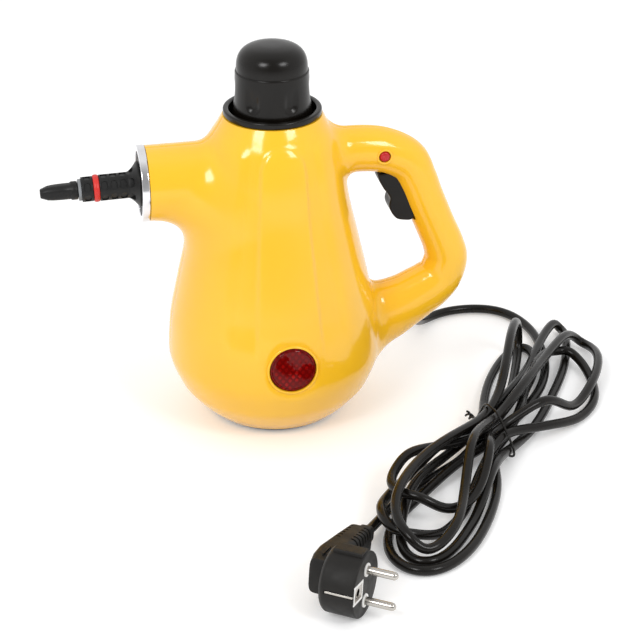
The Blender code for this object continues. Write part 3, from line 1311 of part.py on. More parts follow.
def valve():
    """Steam valve on the boiler's riser, with stem, spring and push rod."""
    bm = bmesh.new()
    low = VALVE_AXIS - VALVE_HALF_HEIGHT
    high = VALVE_AXIS + VALVE_HALF_HEIGHT
    block(bm, (VALVE_LEFT, -VALVE_HALF_WIDTH, low), (VALVE_RIGHT, VALVE_HALF_WIDTH, high))
    body = piece("valve_body", bm, brass())
    bores = bmesh.new()
    rod(bores, (VALVE_LEFT + VALVE_FLOOR, 0.0, VALVE_AXIS), (VALVE_RIGHT + OVERRUN, 0.0, VALVE_AXIS), VALVE_BORE)
    tool("valve_bore", bores, body, "DIFFERENCE")
    ports = bmesh.new()
    rod(ports, (RISER_PLACE, 0.0, low - OVERRUN), (RISER_PLACE, 0.0, VALVE_AXIS), RISER_BORE, SMALL_SIDES)
    tool("valve_inlet", ports, body, "DIFFERENCE")
    ports = bmesh.new()
    outlet = (RISER_PLACE, VALVE_HALF_WIDTH + OVERRUN, VALVE_AXIS)
    rod(ports, (RISER_PLACE, 0.0, VALVE_AXIS), outlet, RISER_BORE, SMALL_SIDES)
    tool("valve_outlet", ports, body, "DIFFERENCE")

    spring_start = VALVE_RIGHT + CLEAR
    head = spring_start + SPRING_LENGTH + CLEAR
    tip = VALVE_LEFT + VALVE_FLOOR + STEM_PLAY
    bm = bmesh.new()
    profile = (
        (0, tip), (STEM_RADIUS, tip), (STEM_RADIUS, head), (STEM_HEAD_RADIUS, head),
        (STEM_HEAD_RADIUS, head + STEM_HEAD_THICKNESS), (0, head + STEM_HEAD_THICKNESS))
    turned(bm, profile, ROUND_SIDES, along((0.0, 0.0, VALVE_AXIS), (1.0, 0.0, 0.0)))
    piece("valve_stem", bm, steel(), (head, 0.0, VALVE_AXIS))
    spring(
        "valve_spring", (spring_start, 0.0, VALVE_AXIS), SPRING_LENGTH, SPRING_RADIUS, SPRING_WIRE, SPRING_TURNS,
        (1.0, 0.0, 0.0))
    start = head + STEM_HEAD_THICKNESS + CLEAR
    bm = bmesh.new()
    rod(bm, (start, 0.0, VALVE_AXIS), (TRIGGER_ARM_FACE - CLEAR, 0.0, VALVE_AXIS), ROD_RADIUS, SMALL_SIDES)
    piece("push_rod", bm, steel(), (start, 0.0, VALVE_AXIS))


def trigger():
    """Finger trigger on its pin. Its upper arm pushes the rod."""
    outline = [trigger_point(share) for share in TRIGGER_OUTLINE_SHARES]
    bm = bmesh.new()
    prism(bm, outline, -TRIGGER_HALF_WIDTH, TRIGGER_HALF_WIDTH)
    x, z = TRIGGER_PIVOT
    lever = piece("trigger", bm, black_plastic(), (x, 0.0, z))
    bore = bmesh.new()
    deep = TRIGGER_HALF_WIDTH + OVERRUN
    rod(bore, (x, -deep, z), (x, deep, z), TRIGGER_BORE, SMALL_SIDES)
    tool("trigger_bore", bore, lever, "DIFFERENCE")
    bm = bmesh.new()
    rod(bm, (x, -PIN_HALF_LENGTH, z), (x, PIN_HALF_LENGTH, z), PIN_RADIUS, SMALL_SIDES)
    piece("trigger_pin", bm, steel())


def lock_button():
    """Cross bolt that blocks the trigger, domed at both ends."""
    x, z = LOCK_PLACE
    span = LOCK_FAR_END - LOCK_NEAR_END
    rim = LOCK_RADIUS - LOCK_DOME
    bm = bmesh.new()
    profile = ((0, 0), (rim, 0), (LOCK_RADIUS, LOCK_DOME), (LOCK_RADIUS, span - LOCK_DOME), (rim, span), (0, span))
    turned(bm, profile, ROUND_SIDES, along((x, LOCK_NEAR_END, z), (0.0, 1.0, 0.0)))
    piece("lock_button", bm, red_plastic(), (x, 0.0, z))


def indicator():
    """Lens in its seat, the holder behind it and the lamp."""
    place = lens_place()
    bm = bmesh.new()
    low = -LENS_SEAT_DEPTH + CLEAR
    edge = low + LENS_EDGE
    profile = (
        (0, low), (LENS_RADIUS, low), (LENS_RADIUS, edge), (0.9 * LENS_RADIUS, edge + 0.5 * LENS_CROWN),
        (0.5 * LENS_RADIUS, edge + 0.9 * LENS_CROWN), (0, edge + LENS_CROWN))
    turned(bm, profile, MIDDLE_SIDES, place)
    piece("indicator_lens", bm, material("red_glass", (0.35, 0.01, 0.02), 0.08))

    bm = bmesh.new()
    high = low - CLEAR
    deep = high - HOLDER_DEPTH
    inner = HOLDER_RADIUS - HOLDER_WALL
    bore = LAMP_RADIUS + CLEAR
    profile = (
        (bore, deep), (HOLDER_RADIUS, deep), (HOLDER_RADIUS, high), (inner, high), (inner, deep + HOLDER_WALL),
        (bore, deep + HOLDER_WALL))
    turned(bm, profile, ROUND_SIDES, place)
    piece("lamp_holder", bm, black_plastic())

    bm = bmesh.new()
    back = deep - HOLDER_WALL
    front = back + LAMP_LENGTH
    profile = (
        (0, back), (LAMP_RADIUS, back), (LAMP_RADIUS, front - LAMP_RADIUS),
        (LAMP_NOSE_SHARE * LAMP_RADIUS, front - (1.0 - LAMP_NOSE_SHARE) * LAMP_RADIUS), (0, front))
    turned(bm, profile, SMALL_SIDES, place)
    piece("indicator_lamp", bm, material("lamp_glass", (0.9, 0.5, 0.3), 0.1))

    start = place @ Vector((0.0, 0.0, back - CLEAR))
    bend = place @ Vector((0.0, 0.0, back - 2 * OVERRUN))
    end_x = TERMINAL_NEAR_EDGE + 0.25 * TERMINAL_LENGTH
    half = TERMINAL_WIDTH / 2.0
    low_point = Vector((end_x - OVERRUN, -HEATER_CIRCLE, LEAD_HEIGHT + OVERRUN))
    route = (
        start, bend, (OVERRUN, bend.y - OVERRUN, BOILER_BOTTOM + 4 * OVERRUN), low_point,
        (end_x, -half - 2 * OVERRUN, LEAD_HEIGHT - OVERRUN), (end_x, -half - CLEAR, LEAD_HEIGHT - OVERRUN))
    wire("lamp_lead", through(route, LAMP_LEAD_POINTS), LEAD_RADIUS, black_plastic())


def nozzle_place(distance=0.0):
    """Frame on the drooping nozzle's axis, counted outward from the horn's mouth."""
    outward = Vector((-math.cos(NOZZLE_DROOP), 0.0, -math.sin(NOZZLE_DROOP)))
    return along(Vector((HORN_MOUTH, 0.0, HORN_AXIS)) + distance * outward, outward)


def nozzle():
    """Chrome bezel, socket, and the turnable nozzle with its rings and tip."""
    place = along((HORN_MOUTH, 0.0, HORN_AXIS), (-1.0, 0.0, 0.0))
    bm = bmesh.new()
    inner = BEZEL_RADIUS - BEZEL_LIP
    back = CLEAR
    profile = (
        (SOCKET_RADIUS + CLEAR, back), (BEZEL_RADIUS - CLEAR, back), (BEZEL_RADIUS, back + CLEAR),
        (BEZEL_RADIUS, BEZEL_LENGTH - CLEAR), (BEZEL_RADIUS - CLEAR, BEZEL_LENGTH), (inner, BEZEL_LENGTH),
        (inner, BEZEL_LENGTH - BEZEL_LIP_THICKNESS), (SOCKET_RADIUS + CLEAR, BEZEL_LENGTH - BEZEL_LIP_THICKNESS))
    turned(bm, profile, BROAD_SIDES, place)
    piece("chrome_bezel", bm, chrome())

    bm = bmesh.new()
    face = BEZEL_LENGTH - BEZEL_LIP_THICKNESS - CLEAR
    step = face - SOCKET_FLANGE
    end = face - SOCKET_SLEEVE_LENGTH
    profile = (
        (SOCKET_INLET, end), (SOCKET_SLEEVE_RADIUS, end), (SOCKET_SLEEVE_RADIUS, step), (SOCKET_RADIUS, step),
        (SOCKET_RADIUS, face), (SOCKET_BORE, face), (SOCKET_BORE, end + SOCKET_FLANGE),
        (SOCKET_INLET, end + SOCKET_FLANGE))
    turned(bm, profile, MIDDLE_SIDES, place)
    piece("nozzle_socket", bm, black_plastic())
    nozzle_body(nozzle_place(), face + NOZZLE_FACE_GAP)


def nozzle_body(place, start):
    """The grip with its spigot, cone and windows, then ring, washer and tip."""
    grip = start + CONE_LENGTH
    ring = grip + GRIP_LENGTH
    collet = ring + RING_WIDTH
    washer = collet + COLLET_LENGTH
    shank = washer + WASHER_THICKNESS
    bm = bmesh.new()
    profile = (
        (NOZZLE_BORE, start - NOZZLE_SPIGOT_LENGTH), (NOZZLE_SPIGOT_RADIUS, start - NOZZLE_SPIGOT_LENGTH),
        (NOZZLE_SPIGOT_RADIUS, start), (CONE_RADIUS, start), (CONE_RADIUS, start + CONE_RIM),
        (GRIP_RADIUS, grip), (GRIP_RADIUS, ring), (RING_SEAT_RADIUS, ring), (RING_SEAT_RADIUS, collet),
        (COLLET_RADIUS, collet), (COLLET_RADIUS, washer), (WASHER_SEAT_RADIUS, washer), (WASHER_SEAT_RADIUS, shank),
        (SHANK_RADIUS, shank), (SHANK_RADIUS, shank + SHANK_LENGTH), (NOZZLE_BORE, shank + SHANK_LENGTH))
    turned(bm, profile, MIDDLE_SIDES, place)
    body = piece("nozzle_body", bm, black_plastic(), nozzle_place(start).translation)
    windows = bmesh.new()
    spots = []
    pitch = GRIP_LENGTH / WINDOW_COLUMNS
    for column in range(WINDOW_COLUMNS):
        spots.append((grip + (column + 0.5) * pitch, GRIP_RADIUS))
    spots.append((collet + COLLET_LENGTH / 2.0, COLLET_RADIUS))
    for distance, radius in spots:
        for row in range(WINDOW_ROWS):
            turn = 2.0 * math.pi * row / WINDOW_ROWS
            cell = bmesh.new()
            low = (radius - WINDOW_DEPTH, -WINDOW_WIDTH / 2.0, distance - WINDOW_LENGTH / 2.0)
            high = (radius + OVERRUN, WINDOW_WIDTH / 2.0, distance + WINDOW_LENGTH / 2.0)
            block(cell, low, high)
            spin = Matrix.Rotation(turn, 4, "Z")
            bmesh.ops.transform(cell, matrix=place @ spin, verts=cell.verts)
            merge_into(windows, cell)
    tool("nozzle_windows", windows, body, "DIFFERENCE")

    bm = bmesh.new()
    inner = RING_SEAT_RADIUS + CLEAR
    middle = (RING_RADIUS + inner) / 2.0
    half = (RING_WIDTH - 2 * CLEAR) / 2.0
    profile = []
    for step in range(SMALL_SIDES):
        turn = 2.0 * math.pi * step / SMALL_SIDES
        bulge = (RING_RADIUS - inner) / 2.0
        profile.append((middle + bulge * math.cos(turn), ring + CLEAR + half + half * math.sin(turn)))
    turned(bm, profile, ROUND_SIDES, place)
    piece("nozzle_seal_ring", bm, rubber("red_rubber", (0.62, 0.02, 0.01)))
    bm = bmesh.new()
    bore = WASHER_SEAT_RADIUS + CLEAR
    low = nozzle_place(washer + CLEAR).translation
    pipe(bm, low, nozzle_place(shank - CLEAR).translation, WASHER_RADIUS, bore)
    piece("nozzle_washer", bm, material("grey_plastic", (0.2, 0.2, 0.2), 0.5))

    bm = bmesh.new()
    low = shank + CLEAR
    bore = SHANK_RADIUS + CLEAR
    deep = shank + SHANK_LENGTH + CLEAR
    end = low + TIP_LENGTH
    profile = (
        (bore, low), (TIP_RADIUS, low), (TIP_RADIUS, low + TIP_SHOULDER), (TIP_END_RADIUS, end), (NOZZLE_BORE, end),
        (NOZZLE_BORE, deep), (bore, deep))
    turned(bm, profile, ROUND_SIDES, place)
    piece("nozzle_tip", bm, black_plastic())


def merge_into(target, source):
    """Move one bmesh's solids into another."""
    holder = bpy.data.meshes.new("holder")
    source.to_mesh(holder)
    source.free()
    target.from_mesh(holder)
    bpy.data.meshes.remove(holder)


def steam_tube():
    """Bent tube from the valve's outlet, round the neck, to the socket."""
    start = Vector((RISER_PLACE, VALVE_HALF_WIDTH + CLEAR, VALVE_AXIS))
    end = BEZEL_LENGTH - BEZEL_LIP_THICKNESS - CLEAR - SOCKET_SLEEVE_LENGTH
    finish = Vector((HORN_MOUTH - end + CLEAR, 0.0, HORN_AXIS))
    drop = HORN_AXIS - VALVE_AXIS
    route = [start, start + Vector((0.0, 2 * OVERRUN, 0.0))]
    for index, (x, y) in enumerate(TUBE_ROUTE_SHARES):
        share = (index + 1) / len(TUBE_ROUTE_SHARES)
        route.append(Vector((x * TUBE_SWING, y * TUBE_SWING, VALVE_AXIS + share * drop)))
    route.append(finish + Vector((2 * OVERRUN, 0.0, 0.0)))
    route.append(finish)
    wire("steam_tube", through(route, TUBE_POINTS), TUBE_RADIUS, brass())


def cap():
    """Press-and-turn filler cap with its core, gasket, springs and relief poppet."""
    bm = bmesh.new()
    seam = CAP_SEAM
    inner = CAP_BOTTOM_RADIUS - CAP_WALL
    inner_seam = CAP_SEAM_RADIUS - CAP_WALL
    roof = seam - CAP_WALL
    profile = (
        (inner, CAP_SKIRT_BOTTOM), (CAP_BOTTOM_RADIUS, CAP_SKIRT_BOTTOM),
        (CAP_SEAM_RADIUS + CAP_LEDGE, seam - 2 * CAP_LEDGE), (CAP_SEAM_RADIUS, seam), (SLEEVE_BORE, seam),
        (SLEEVE_BORE, SLEEVE_FOOT), (SLEEVE_RADIUS, SLEEVE_FOOT), (SLEEVE_RADIUS, roof), (inner_seam, roof),
        (inner, CAP_SKIRT_BOTTOM + 2 * CAP_WALL))
    turned(bm, profile, BROAD_SIDES)
    skirt = piece("cap_skirt", bm, black_plastic())
    grooves = bmesh.new()
    away = CAP_BOTTOM_RADIUS - CAP_FLUTE_DEPTH + CAP_FLUTE_RADIUS
    for index in range(CAP_FLUTES):
        turn = 2.0 * math.pi * index / CAP_FLUTES
        x = away * math.cos(turn)
        y = away * math.sin(turn)
        lean = (CAP_BOTTOM_RADIUS - CAP_SEAM_RADIUS) / CAP_BOTTOM_RADIUS
        low = CAP_SKIRT_BOTTOM - OVERRUN
        high = seam - 4 * CAP_LEDGE
        rod(grooves, (x, y, low), (x * (1 - lean), y * (1 - lean), high), CAP_FLUTE_RADIUS)
    tool("cap_grooves", grooves, skirt, "DIFFERENCE")

    bm = bmesh.new()
    low = seam + CLEAR
    height = CAP_TOP - low
    reach = CAP_SEAM_RADIUS - CAP_LEDGE
    outer = [(reach * r, low + height * h) for r, h in DOME_SHARES]
    inner = [((reach - CAP_WALL) * r, low + (height - CAP_WALL) * h) for r, h in DOME_SHARES]
    turned(bm, outer[::-1] + inner, BROAD_SIDES)
    piece("cap_dome", bm, black_plastic())
    cap_core(low + DOME_SEAT_SHARE * (height - CAP_WALL))


def cap_core(ceiling):
    """Threaded core and what it holds, up to the dome's ceiling."""
    head_low = NECK_TOP + 2 * CLEAR + GASKET_THICKNESS
    bm = bmesh.new()
    floor = CORE_BOTTOM + CORE_FLOOR
    lip = CORE_BORE - OVERRUN
    profile = (
        (CORE_VENT, CORE_BOTTOM), (CORE_THREAD_RADIUS, CORE_BOTTOM), (CORE_THREAD_RADIUS, head_low),
        (CORE_HEAD_RADIUS, head_low), (CORE_HEAD_RADIUS, CORE_HEAD_TOP), (CORE_BORE, CORE_HEAD_TOP),
        (CORE_BORE, RETAINER_HEIGHT), (lip, RETAINER_HEIGHT), (lip, floor), (CORE_VENT, floor))
    turned(bm, profile, MIDDLE_SIDES)
    piece("cap_core", bm, black_plastic(), (0.0, 0.0, CORE_BOTTOM))
    spring_base = CORE_HEAD_TOP + CLEAR
    spring(
        "cap_spring", (0.0, 0.0, spring_base), ceiling - CLEAR - spring_base, PRESS_SPRING_RADIUS,
        PRESS_SPRING_WIRE, SPRING_TURNS)

    bm = bmesh.new()
    low = NECK_TOP + CLEAR
    bore = CORE_THREAD_RADIUS + CLEAR
    pipe(bm, (0.0, 0.0, low), (0.0, 0.0, low + GASKET_THICKNESS), NECK_RADIUS, bore, MIDDLE_SIDES)
    piece("cap_gasket", bm, rubber("red_rubber", (0.62, 0.02, 0.01)), (0.0, 0.0, low))

    bm = bmesh.new()
    low = floor + CLEAR
    top = low + POPPET_THICKNESS
    profile = (
        (0, low), (POPPET_RADIUS, low), (POPPET_RADIUS, top), (POPPET_STEM_RADIUS, top),
        (POPPET_STEM_RADIUS, top + POPPET_STEM_LENGTH), (0, top + POPPET_STEM_LENGTH))
    turned(bm, profile, SMALL_SIDES)
    piece("relief_poppet", bm, brass(), (0.0, 0.0, low))
    base = top + CLEAR
    spring(
        "relief_spring", (0.0, 0.0, base), RETAINER_HEIGHT - base, POPPET_SPRING_RADIUS, SPRING_WIRE,
        SPRING_TURNS)
    bm = bmesh.new()
    low = RETAINER_HEIGHT + CLEAR
    bore = POPPET_STEM_RADIUS + CLEAR
    pipe(bm, (0.0, 0.0, low), (0.0, 0.0, low + RETAINER_THICKNESS), CORE_BORE - CLEAR, bore, MIDDLE_SIDES)
    piece("relief_retainer", bm, steel())


def waist_ends(index):
    """Upper and lower end of the straight stretch of a pass through the waist."""
    shift = WAIST_SHARES[index] * WAIST_PITCH
    middle = WAIST_CENTRE[0] + WAIST_LEAN * shift
    ends = []
    for side in (1, -1):
        ends.append((middle + side * WAIST_HALF_LENGTH, WAIST_CENTRE[1] + shift, HANK_FLOOR + WAIST_LIFT))
    return ends


def placed(shares):
    """Real places of a row of shares, with its lift if it has one."""
    out = []
    for share in shares:
        lift = share[2] * HANK_SIZE if len(share) > 2 else 0.0
        out.append((share[0] * HANK_SIZE, share[1] * HANK_SIZE, HANK_FLOOR + lift))
    return out


def eased(control, count):
    """Points on a smooth curve, closer together where it bends."""
    fine = through(control, FINE_POINTS)
    hops = np.diff(fine, axis=0)
    length = np.linalg.norm(hops, axis=1)
    heading = hops / length[:, None]
    bend = np.concatenate(([0.0], np.linalg.norm(np.diff(heading, axis=0), axis=1)))
    width = FINE_POINTS // 40
    bend = np.convolve(bend, np.ones(width) / width, "same")
    run = np.concatenate(([0.0], np.cumsum(length + BEND_WEIGHT * bend)))
    stops = np.linspace(0.0, run[-1], count)
    return np.column_stack([np.interp(stops, run, column) for column in fine.T])


def hank_runs():
    """Flat points of each run: the lead, the loops and the tail, each with its waist ends."""
    runs = [eased(placed(LEAD_SHARES) + waist_ends(0)[:1], END_POINTS)]
    for index, shares in enumerate(LOOP_SHARES):
        side = 1 - index % 2
        first = waist_ends(index)[side]
        last = waist_ends(index + 1)[side]
        runs.append(eased([first] + placed(shares) + [last], LOOP_POINTS + 2))
    runs.append(eased(waist_ends(len(LOOP_SHARES))[1:] + placed(TAIL_SHARES), END_POINTS))
    return runs


def stretches(points):
    """Close places along a line, and which segment each lies on."""
    shares = np.linspace(0.0, 1.0, FINE_PARTS, endpoint=False)
    spots = [one + shares[:, None] * (other - one) for one, other in zip(points[:-1], points[1:])]
    return np.vstack(spots), np.repeat(np.arange(len(points) - 1), FINE_PARTS)


def hank_path():
    """Points of the whole hank in the floor frame: laid in order, then settled on each other."""
    runs = hank_runs()
    path = np.vstack(runs)
    counts = np.cumsum([len(run) for run in runs])
    home = path[:, :2].copy()
    ground = path[:, 2].copy()
    order = np.zeros(len(path))
    for index in range(1, len(runs) - 1):
        order[counts[index - 1]:counts[index]] = index
    order[counts[-3] + FOLD_POINT:] = 0.0
    hops = np.linalg.norm(np.diff(home, axis=0), axis=1)
    run = np.concatenate(([0.0], np.cumsum(hops)))
    owner = np.repeat(np.arange(len(path) - 1), FINE_PARTS)
    share = np.tile(np.linspace(0.0, 1.0, FINE_PARTS, endpoint=False), len(path) - 1)
    along_run = run[owner] + share * hops[owner]
    one, other = np.triu_indices(len(owner), 1)
    apart = along_run[other] - along_run[one] > LOOP_SKIP
    one, other = one[apart], other[apart]
    near = np.full(len(one), True)
    reach = CORD_DIAMETER + HANK_GAP
    path[:, 2] += order * reach
    free = np.ones(len(path))
    free[[0, 1, -2, -1]] = 0.0
    for step in range(SETTLING_STEPS):
        loose = step < SETTLING_STEPS - FINAL_STEPS
        if loose:
            path[:, 2] -= SETTLING_DROP
            path[1:-1, 2] += STIFFNESS * (0.5 * (path[:-2, 2] + path[2:, 2]) - path[1:-1, 2])
        shift = (1.0 - HOMING) * (path[:, :2] - home)
        shift[1:-1] += EVENING * (0.5 * (shift[:-2] + shift[2:]) - shift[1:-1])
        path[:, :2] = home + shift
        if step % 10 == 0:
            spots = path[owner] + share[:, None] * (path[owner + 1] - path[owner])
            near = np.linalg.norm(spots[other] - spots[one], axis=1) < 3.0 * reach
            first, second = one[near], other[near]
        for _ in range(2):
            spots = path[owner] + share[:, None] * (path[owner + 1] - path[owner])
            gap = spots[second] - spots[first]
            span = np.maximum(np.linalg.norm(gap, axis=1), CLEAR)
            lack = np.maximum(reach - span, 0.0)
            hit = lack > 0.0
            shove = (gap / span[:, None] * (0.5 * lack)[:, None])[hit]
            move = np.zeros(path.shape)
            weight = np.full(len(path), CLEAR)
            for picked, sign in ((first[hit], -1.0), (second[hit], 1.0)):
                for offset, part in ((0, 1.0 - share[picked]), (1, share[picked])):
                    np.add.at(move, owner[picked] + offset, sign * part[:, None] * shove)
                    np.add.at(weight, owner[picked] + offset, part)
            path += SHOVE * free[:, None] * move / weight[:, None]
            path[:, 2] = np.maximum(path[:, 2], ground)
    cos, sin = math.cos(HANK_AXIS), math.sin(HANK_AXIS)
    x = HANK_WAIST[0] + path[:, 0] * cos - path[:, 1] * sin
    y = HANK_WAIST[1] + path[:, 0] * sin + path[:, 1] * cos
    return np.column_stack((x, y, path[:, 2]))


def least_gap(path):
    """Smallest gap between stretches of a cord that don't follow each other."""
    spots, owner = stretches(path)
    hops = np.linalg.norm(np.diff(path, axis=0), axis=1)
    start = np.concatenate(([0.0], np.cumsum(hops)))
    run = start[owner] + np.linalg.norm(spots - path[owner], axis=1)
    apart = np.linalg.norm(spots[:, None] - spots[None], axis=2)
    apart[np.abs(run[:, None] - run[None, :]) < LOOP_SKIP] = math.inf
    return float(apart.min()) - CORD_DIAMETER


def relief_place():
    """Frame at the cord exit, its axis pointing out of the housing."""
    return along(EXIT_POINT, EXIT_DIRECTION)


def cord_exit():
    """Tapered relief at the housing, and the hidden cord from there to the terminals."""
    place = relief_place()
    bm = bmesh.new()
    inside = CLEAR - RELIEF_INSIDE
    profile = (
        (0, inside), (RELIEF_ROOT_RADIUS, inside), (RELIEF_ROOT_RADIUS, 0), (RELIEF_FLANGE_RADIUS, 0),
        (RELIEF_FLANGE_RADIUS, RELIEF_FLANGE), (RELIEF_ROOT_RADIUS, RELIEF_FLANGE),
        (RELIEF_TIP_RADIUS, RELIEF_LENGTH), (0, RELIEF_LENGTH))
    turned(bm, profile, ROUND_SIDES, place)
    piece("strain_relief", bm, black_plastic(), EXIT_POINT)
    start = place @ Vector((0.0, 0.0, inside - CLEAR))
    second = place @ Vector((0.0, 0.0, inside - CLEAR - CORD_DIAMETER / 2.0))
    level = INNER_ROUTE[-1][2]
    finish = (TERMINAL_NEAR_EDGE + TERMINAL_LENGTH + CLEAR, 0.0, level)
    points = [tuple(start)] + list(through((second,) + INNER_ROUTE, INNER_POINTS)) + [finish]
    wire("inner_cord", points, CORD_DIAMETER / 2.0, black_plastic())


def cord():
    """Free stretch from the relief to the hank, the hank itself and its wire tie."""
    path = hank_path()
    print("least gap in the hank, mm:", round(least_gap(path) / MM, 2))
    heading = (path[1] - path[0]) / np.linalg.norm(path[1] - path[0])
    place = relief_place()
    first = place @ Vector((0.0, 0.0, RELIEF_LENGTH + CLEAR))
    second = place @ Vector((0.0, 0.0, RELIEF_LENGTH + CLEAR + CORD_DIAMETER))
    end = path[0] - CLEAR * heading
    near_end = end - CORD_DIAMETER * heading
    route = (second,) + LEAD_ROUTE + (near_end,)
    points = [tuple(first)] + list(through(route, CORD_POINTS)) + [tuple(end)]
    wire("cord_lead", points, CORD_DIAMETER / 2.0, black_plastic(), 2)
    wire("cord_hank", path, CORD_DIAMETER / 2.0, black_plastic())
    wire("hank_tie", tie_points(path), TIE_RADIUS, rubber("tie_rubber", (0.02, 0.02, 0.02)))


def tie_points(path):
    """A taut loop round the strands that cross the tie's plane, with both ends twisted together."""
    low = np.array(TIE_ENDS[0])
    line = (np.array(TIE_ENDS[1]) - low) / np.linalg.norm(np.array(TIE_ENDS[1]) - low)
    across = np.array((-line[1], line[0]))
    offset = (path[:, :2] - low) @ across
    reach = CORD_DIAMETER / 2.0 + TIE_RADIUS + TIE_CLEAR
    span = np.linalg.norm(np.array(TIE_ENDS[1]) - low)
    corners = []
    for index in range(len(path) - 1):
        if offset[index] * offset[index + 1] > 0.0:
            continue
        share = offset[index] / (offset[index] - offset[index + 1])
        spot = path[index] + share * (path[index + 1] - path[index])
        run = float((spot[:2] - low) @ line)
        if abs(run - span / 2.0) > span:
            continue
        step = path[index + 1] - path[index]
        lean = abs(float(step[:2] @ across)) / np.linalg.norm(step)
        for turn in np.linspace(0.0, 2.0 * math.pi, TIE_ARC_POINTS, endpoint=False):
            corners.append((run + reach / lean * math.cos(turn), spot[2] + reach * math.sin(turn)))
    loop = np.array(hull(corners))
    start = int(np.argmin(loop[:, 0]))
    loop = np.roll(loop, -start, axis=0)
    loop = np.vstack((loop, loop[:1]))
    hops = np.linalg.norm(np.diff(loop, axis=0), axis=1)
    run = np.concatenate(([0.0], np.cumsum(hops)))
    spacing = 2.0 * TIE_TWIST_RADIUS
    stops = np.linspace(spacing, run[-1] - spacing, TIE_POINTS)
    flat = np.column_stack([np.interp(stops, run, column) for column in loop.T])
    corner = loop[0] - np.array((spacing, 0.0))
    start_curl = []
    end_curl = []
    for step in range(TIE_TWIST_POINTS):
        share = step / (TIE_TWIST_POINTS - 1)
        turn = -math.pi / 2.0 + 2.0 * math.pi * share
        place = (corner[0] - share * TIE_TWIST_LENGTH, corner[1])
        for curl, sign in ((start_curl, 1.0), (end_curl, -1.0)):
            side = sign * TIE_TWIST_RADIUS * math.cos(turn)
            height = place[1] + sign * TIE_TWIST_RADIUS * math.sin(turn)
            curl.append((place[0], height, side))
    rows = start_curl[::-1] + [(a, b, 0.0) for a, b in flat] + end_curl
    points = []
    for run, height, side in rows:
        ground = low + run * line + side * across
        points.append((float(ground[0]), float(ground[1]), float(height)))
    return points


def hull(corners):
    """Corners of the convex outline round a set of points, against the clock."""
    ordered = sorted(corners)
    outline = []
    for sweep in (ordered, ordered[::-1]):
        chain = []
        for point in sweep:
            while len(chain) > 1:
                one, other = chain[-2], chain[-1]
                left = (other[0] - one[0]) * (point[1] - one[1]) - (other[1] - one[1]) * (point[0] - one[0])
                if left > 0.0:
                    break
                chain.pop()
            chain.append(point)
        outline += chain[:-1]
    return outline


def plug_frame():
    """The plug's own frame: X out of the face along the pins, Y to the cord, which droops."""
    heading = Matrix.Rotation(PLUG_HEADING, 4, "Z")
    return Matrix.Translation(Vector(PLUG_FACE)) @ heading @ Matrix.Rotation(PLUG_ROLL, 4, "X")


def plug():
    """Angled two-pin plug: barrel, ribbed grip, two pins and the earth strip."""
    frame = plug_frame()
    outward = frame @ Matrix.Rotation(math.pi / 2.0, 4, "Y")
    bm = bmesh.new()
    rim = PLUG_RADIUS - BARREL_EDGE
    profile = (
        (0, -BARREL_LENGTH), (PLUG_RADIUS - 2 * BARREL_EDGE, -BARREL_LENGTH),
        (PLUG_RADIUS, -BARREL_LENGTH + 2 * BARREL_EDGE), (PLUG_RADIUS, -BARREL_EDGE), (rim, 0), (0, 0))
    turned(bm, profile, BROAD_SIDES, outward)
    body = piece("plug_body", bm, black_plastic(), PLUG_FACE)
    grip = bmesh.new()
    rings = []
    for row in GRIP_RING_SHARES:
        reach, centre, half_depth, half_height = [GRIP_LENGTH_WITH_NECK * share for share in row]
        ring = []
        for step in range(GRIP_SIDES):
            turn = 2.0 * math.pi * (step + 0.5) / GRIP_SIDES
            cos, sin = math.cos(turn), math.sin(turn)
            flat = math.copysign(abs(cos) ** GRIP_SQUARENESS, cos)
            high = math.copysign(abs(sin) ** GRIP_SQUARENESS, sin)
            place = Vector((centre + half_depth * flat, reach, half_height * high))
            ring.append(grip.verts.new(frame @ place))
        rings.append(ring)
    grip.faces.new(rings[0])
    grip.faces.new(reversed(rings[-1]))
    for lower, upper in zip(rings[:-1], rings[1:]):
        for step in range(GRIP_SIDES):
            after = (step + 1) % GRIP_SIDES
            grip.faces.new((lower[step], lower[after], upper[after], upper[step]))
    tool("plug_grip", grip, body, "UNION")

    cuts = bmesh.new()
    for side in (1, -1):
        foot = frame @ Vector((-PLUG_PIN_DEPTH - CLEAR, 0.0, side * PLUG_PIN_PITCH / 2.0))
        mouth = frame @ Vector((OVERRUN, 0.0, side * PLUG_PIN_PITCH / 2.0))
        rod(cuts, foot, mouth, PLUG_PIN_RADIUS + CLEAR, SMALL_SIDES)
    tool("plug_holes", cuts, body, "DIFFERENCE")
    cuts = bmesh.new()
    strip_solid(cuts, frame, CLEAR)
    tool("plug_slot", cuts, body, "DIFFERENCE")
    bm = bmesh.new()
    strip_solid(bm, frame, 0.0)
    piece("earth_strip", bm, steel(), PLUG_FACE)
    for name, side in (("upper", 1), ("lower", -1)):
        bm = bmesh.new()
        low = CLEAR + PLUG_COLLAR
        tip = PLUG_PIN_LENGTH - PLUG_PIN_RADIUS / 2.0
        profile = (
            (0, -PLUG_PIN_DEPTH), (PLUG_PIN_RADIUS, -PLUG_PIN_DEPTH), (PLUG_PIN_RADIUS, CLEAR),
            (PLUG_COLLAR_RADIUS, CLEAR), (PLUG_COLLAR_RADIUS, low), (PLUG_PIN_RADIUS, low), (PLUG_PIN_RADIUS, tip),
            (PLUG_PIN_RADIUS / 2.0, PLUG_PIN_LENGTH), (0, PLUG_PIN_LENGTH))
        spot = Matrix.Translation(Vector((0.0, 0.0, side * PLUG_PIN_PITCH / 2.0)))
        turned(bm, profile, ROUND_SIDES, frame @ spot @ Matrix.Rotation(math.pi / 2.0, 4, "Y"))
        piece("plug_pin_" + name, bm, chrome())


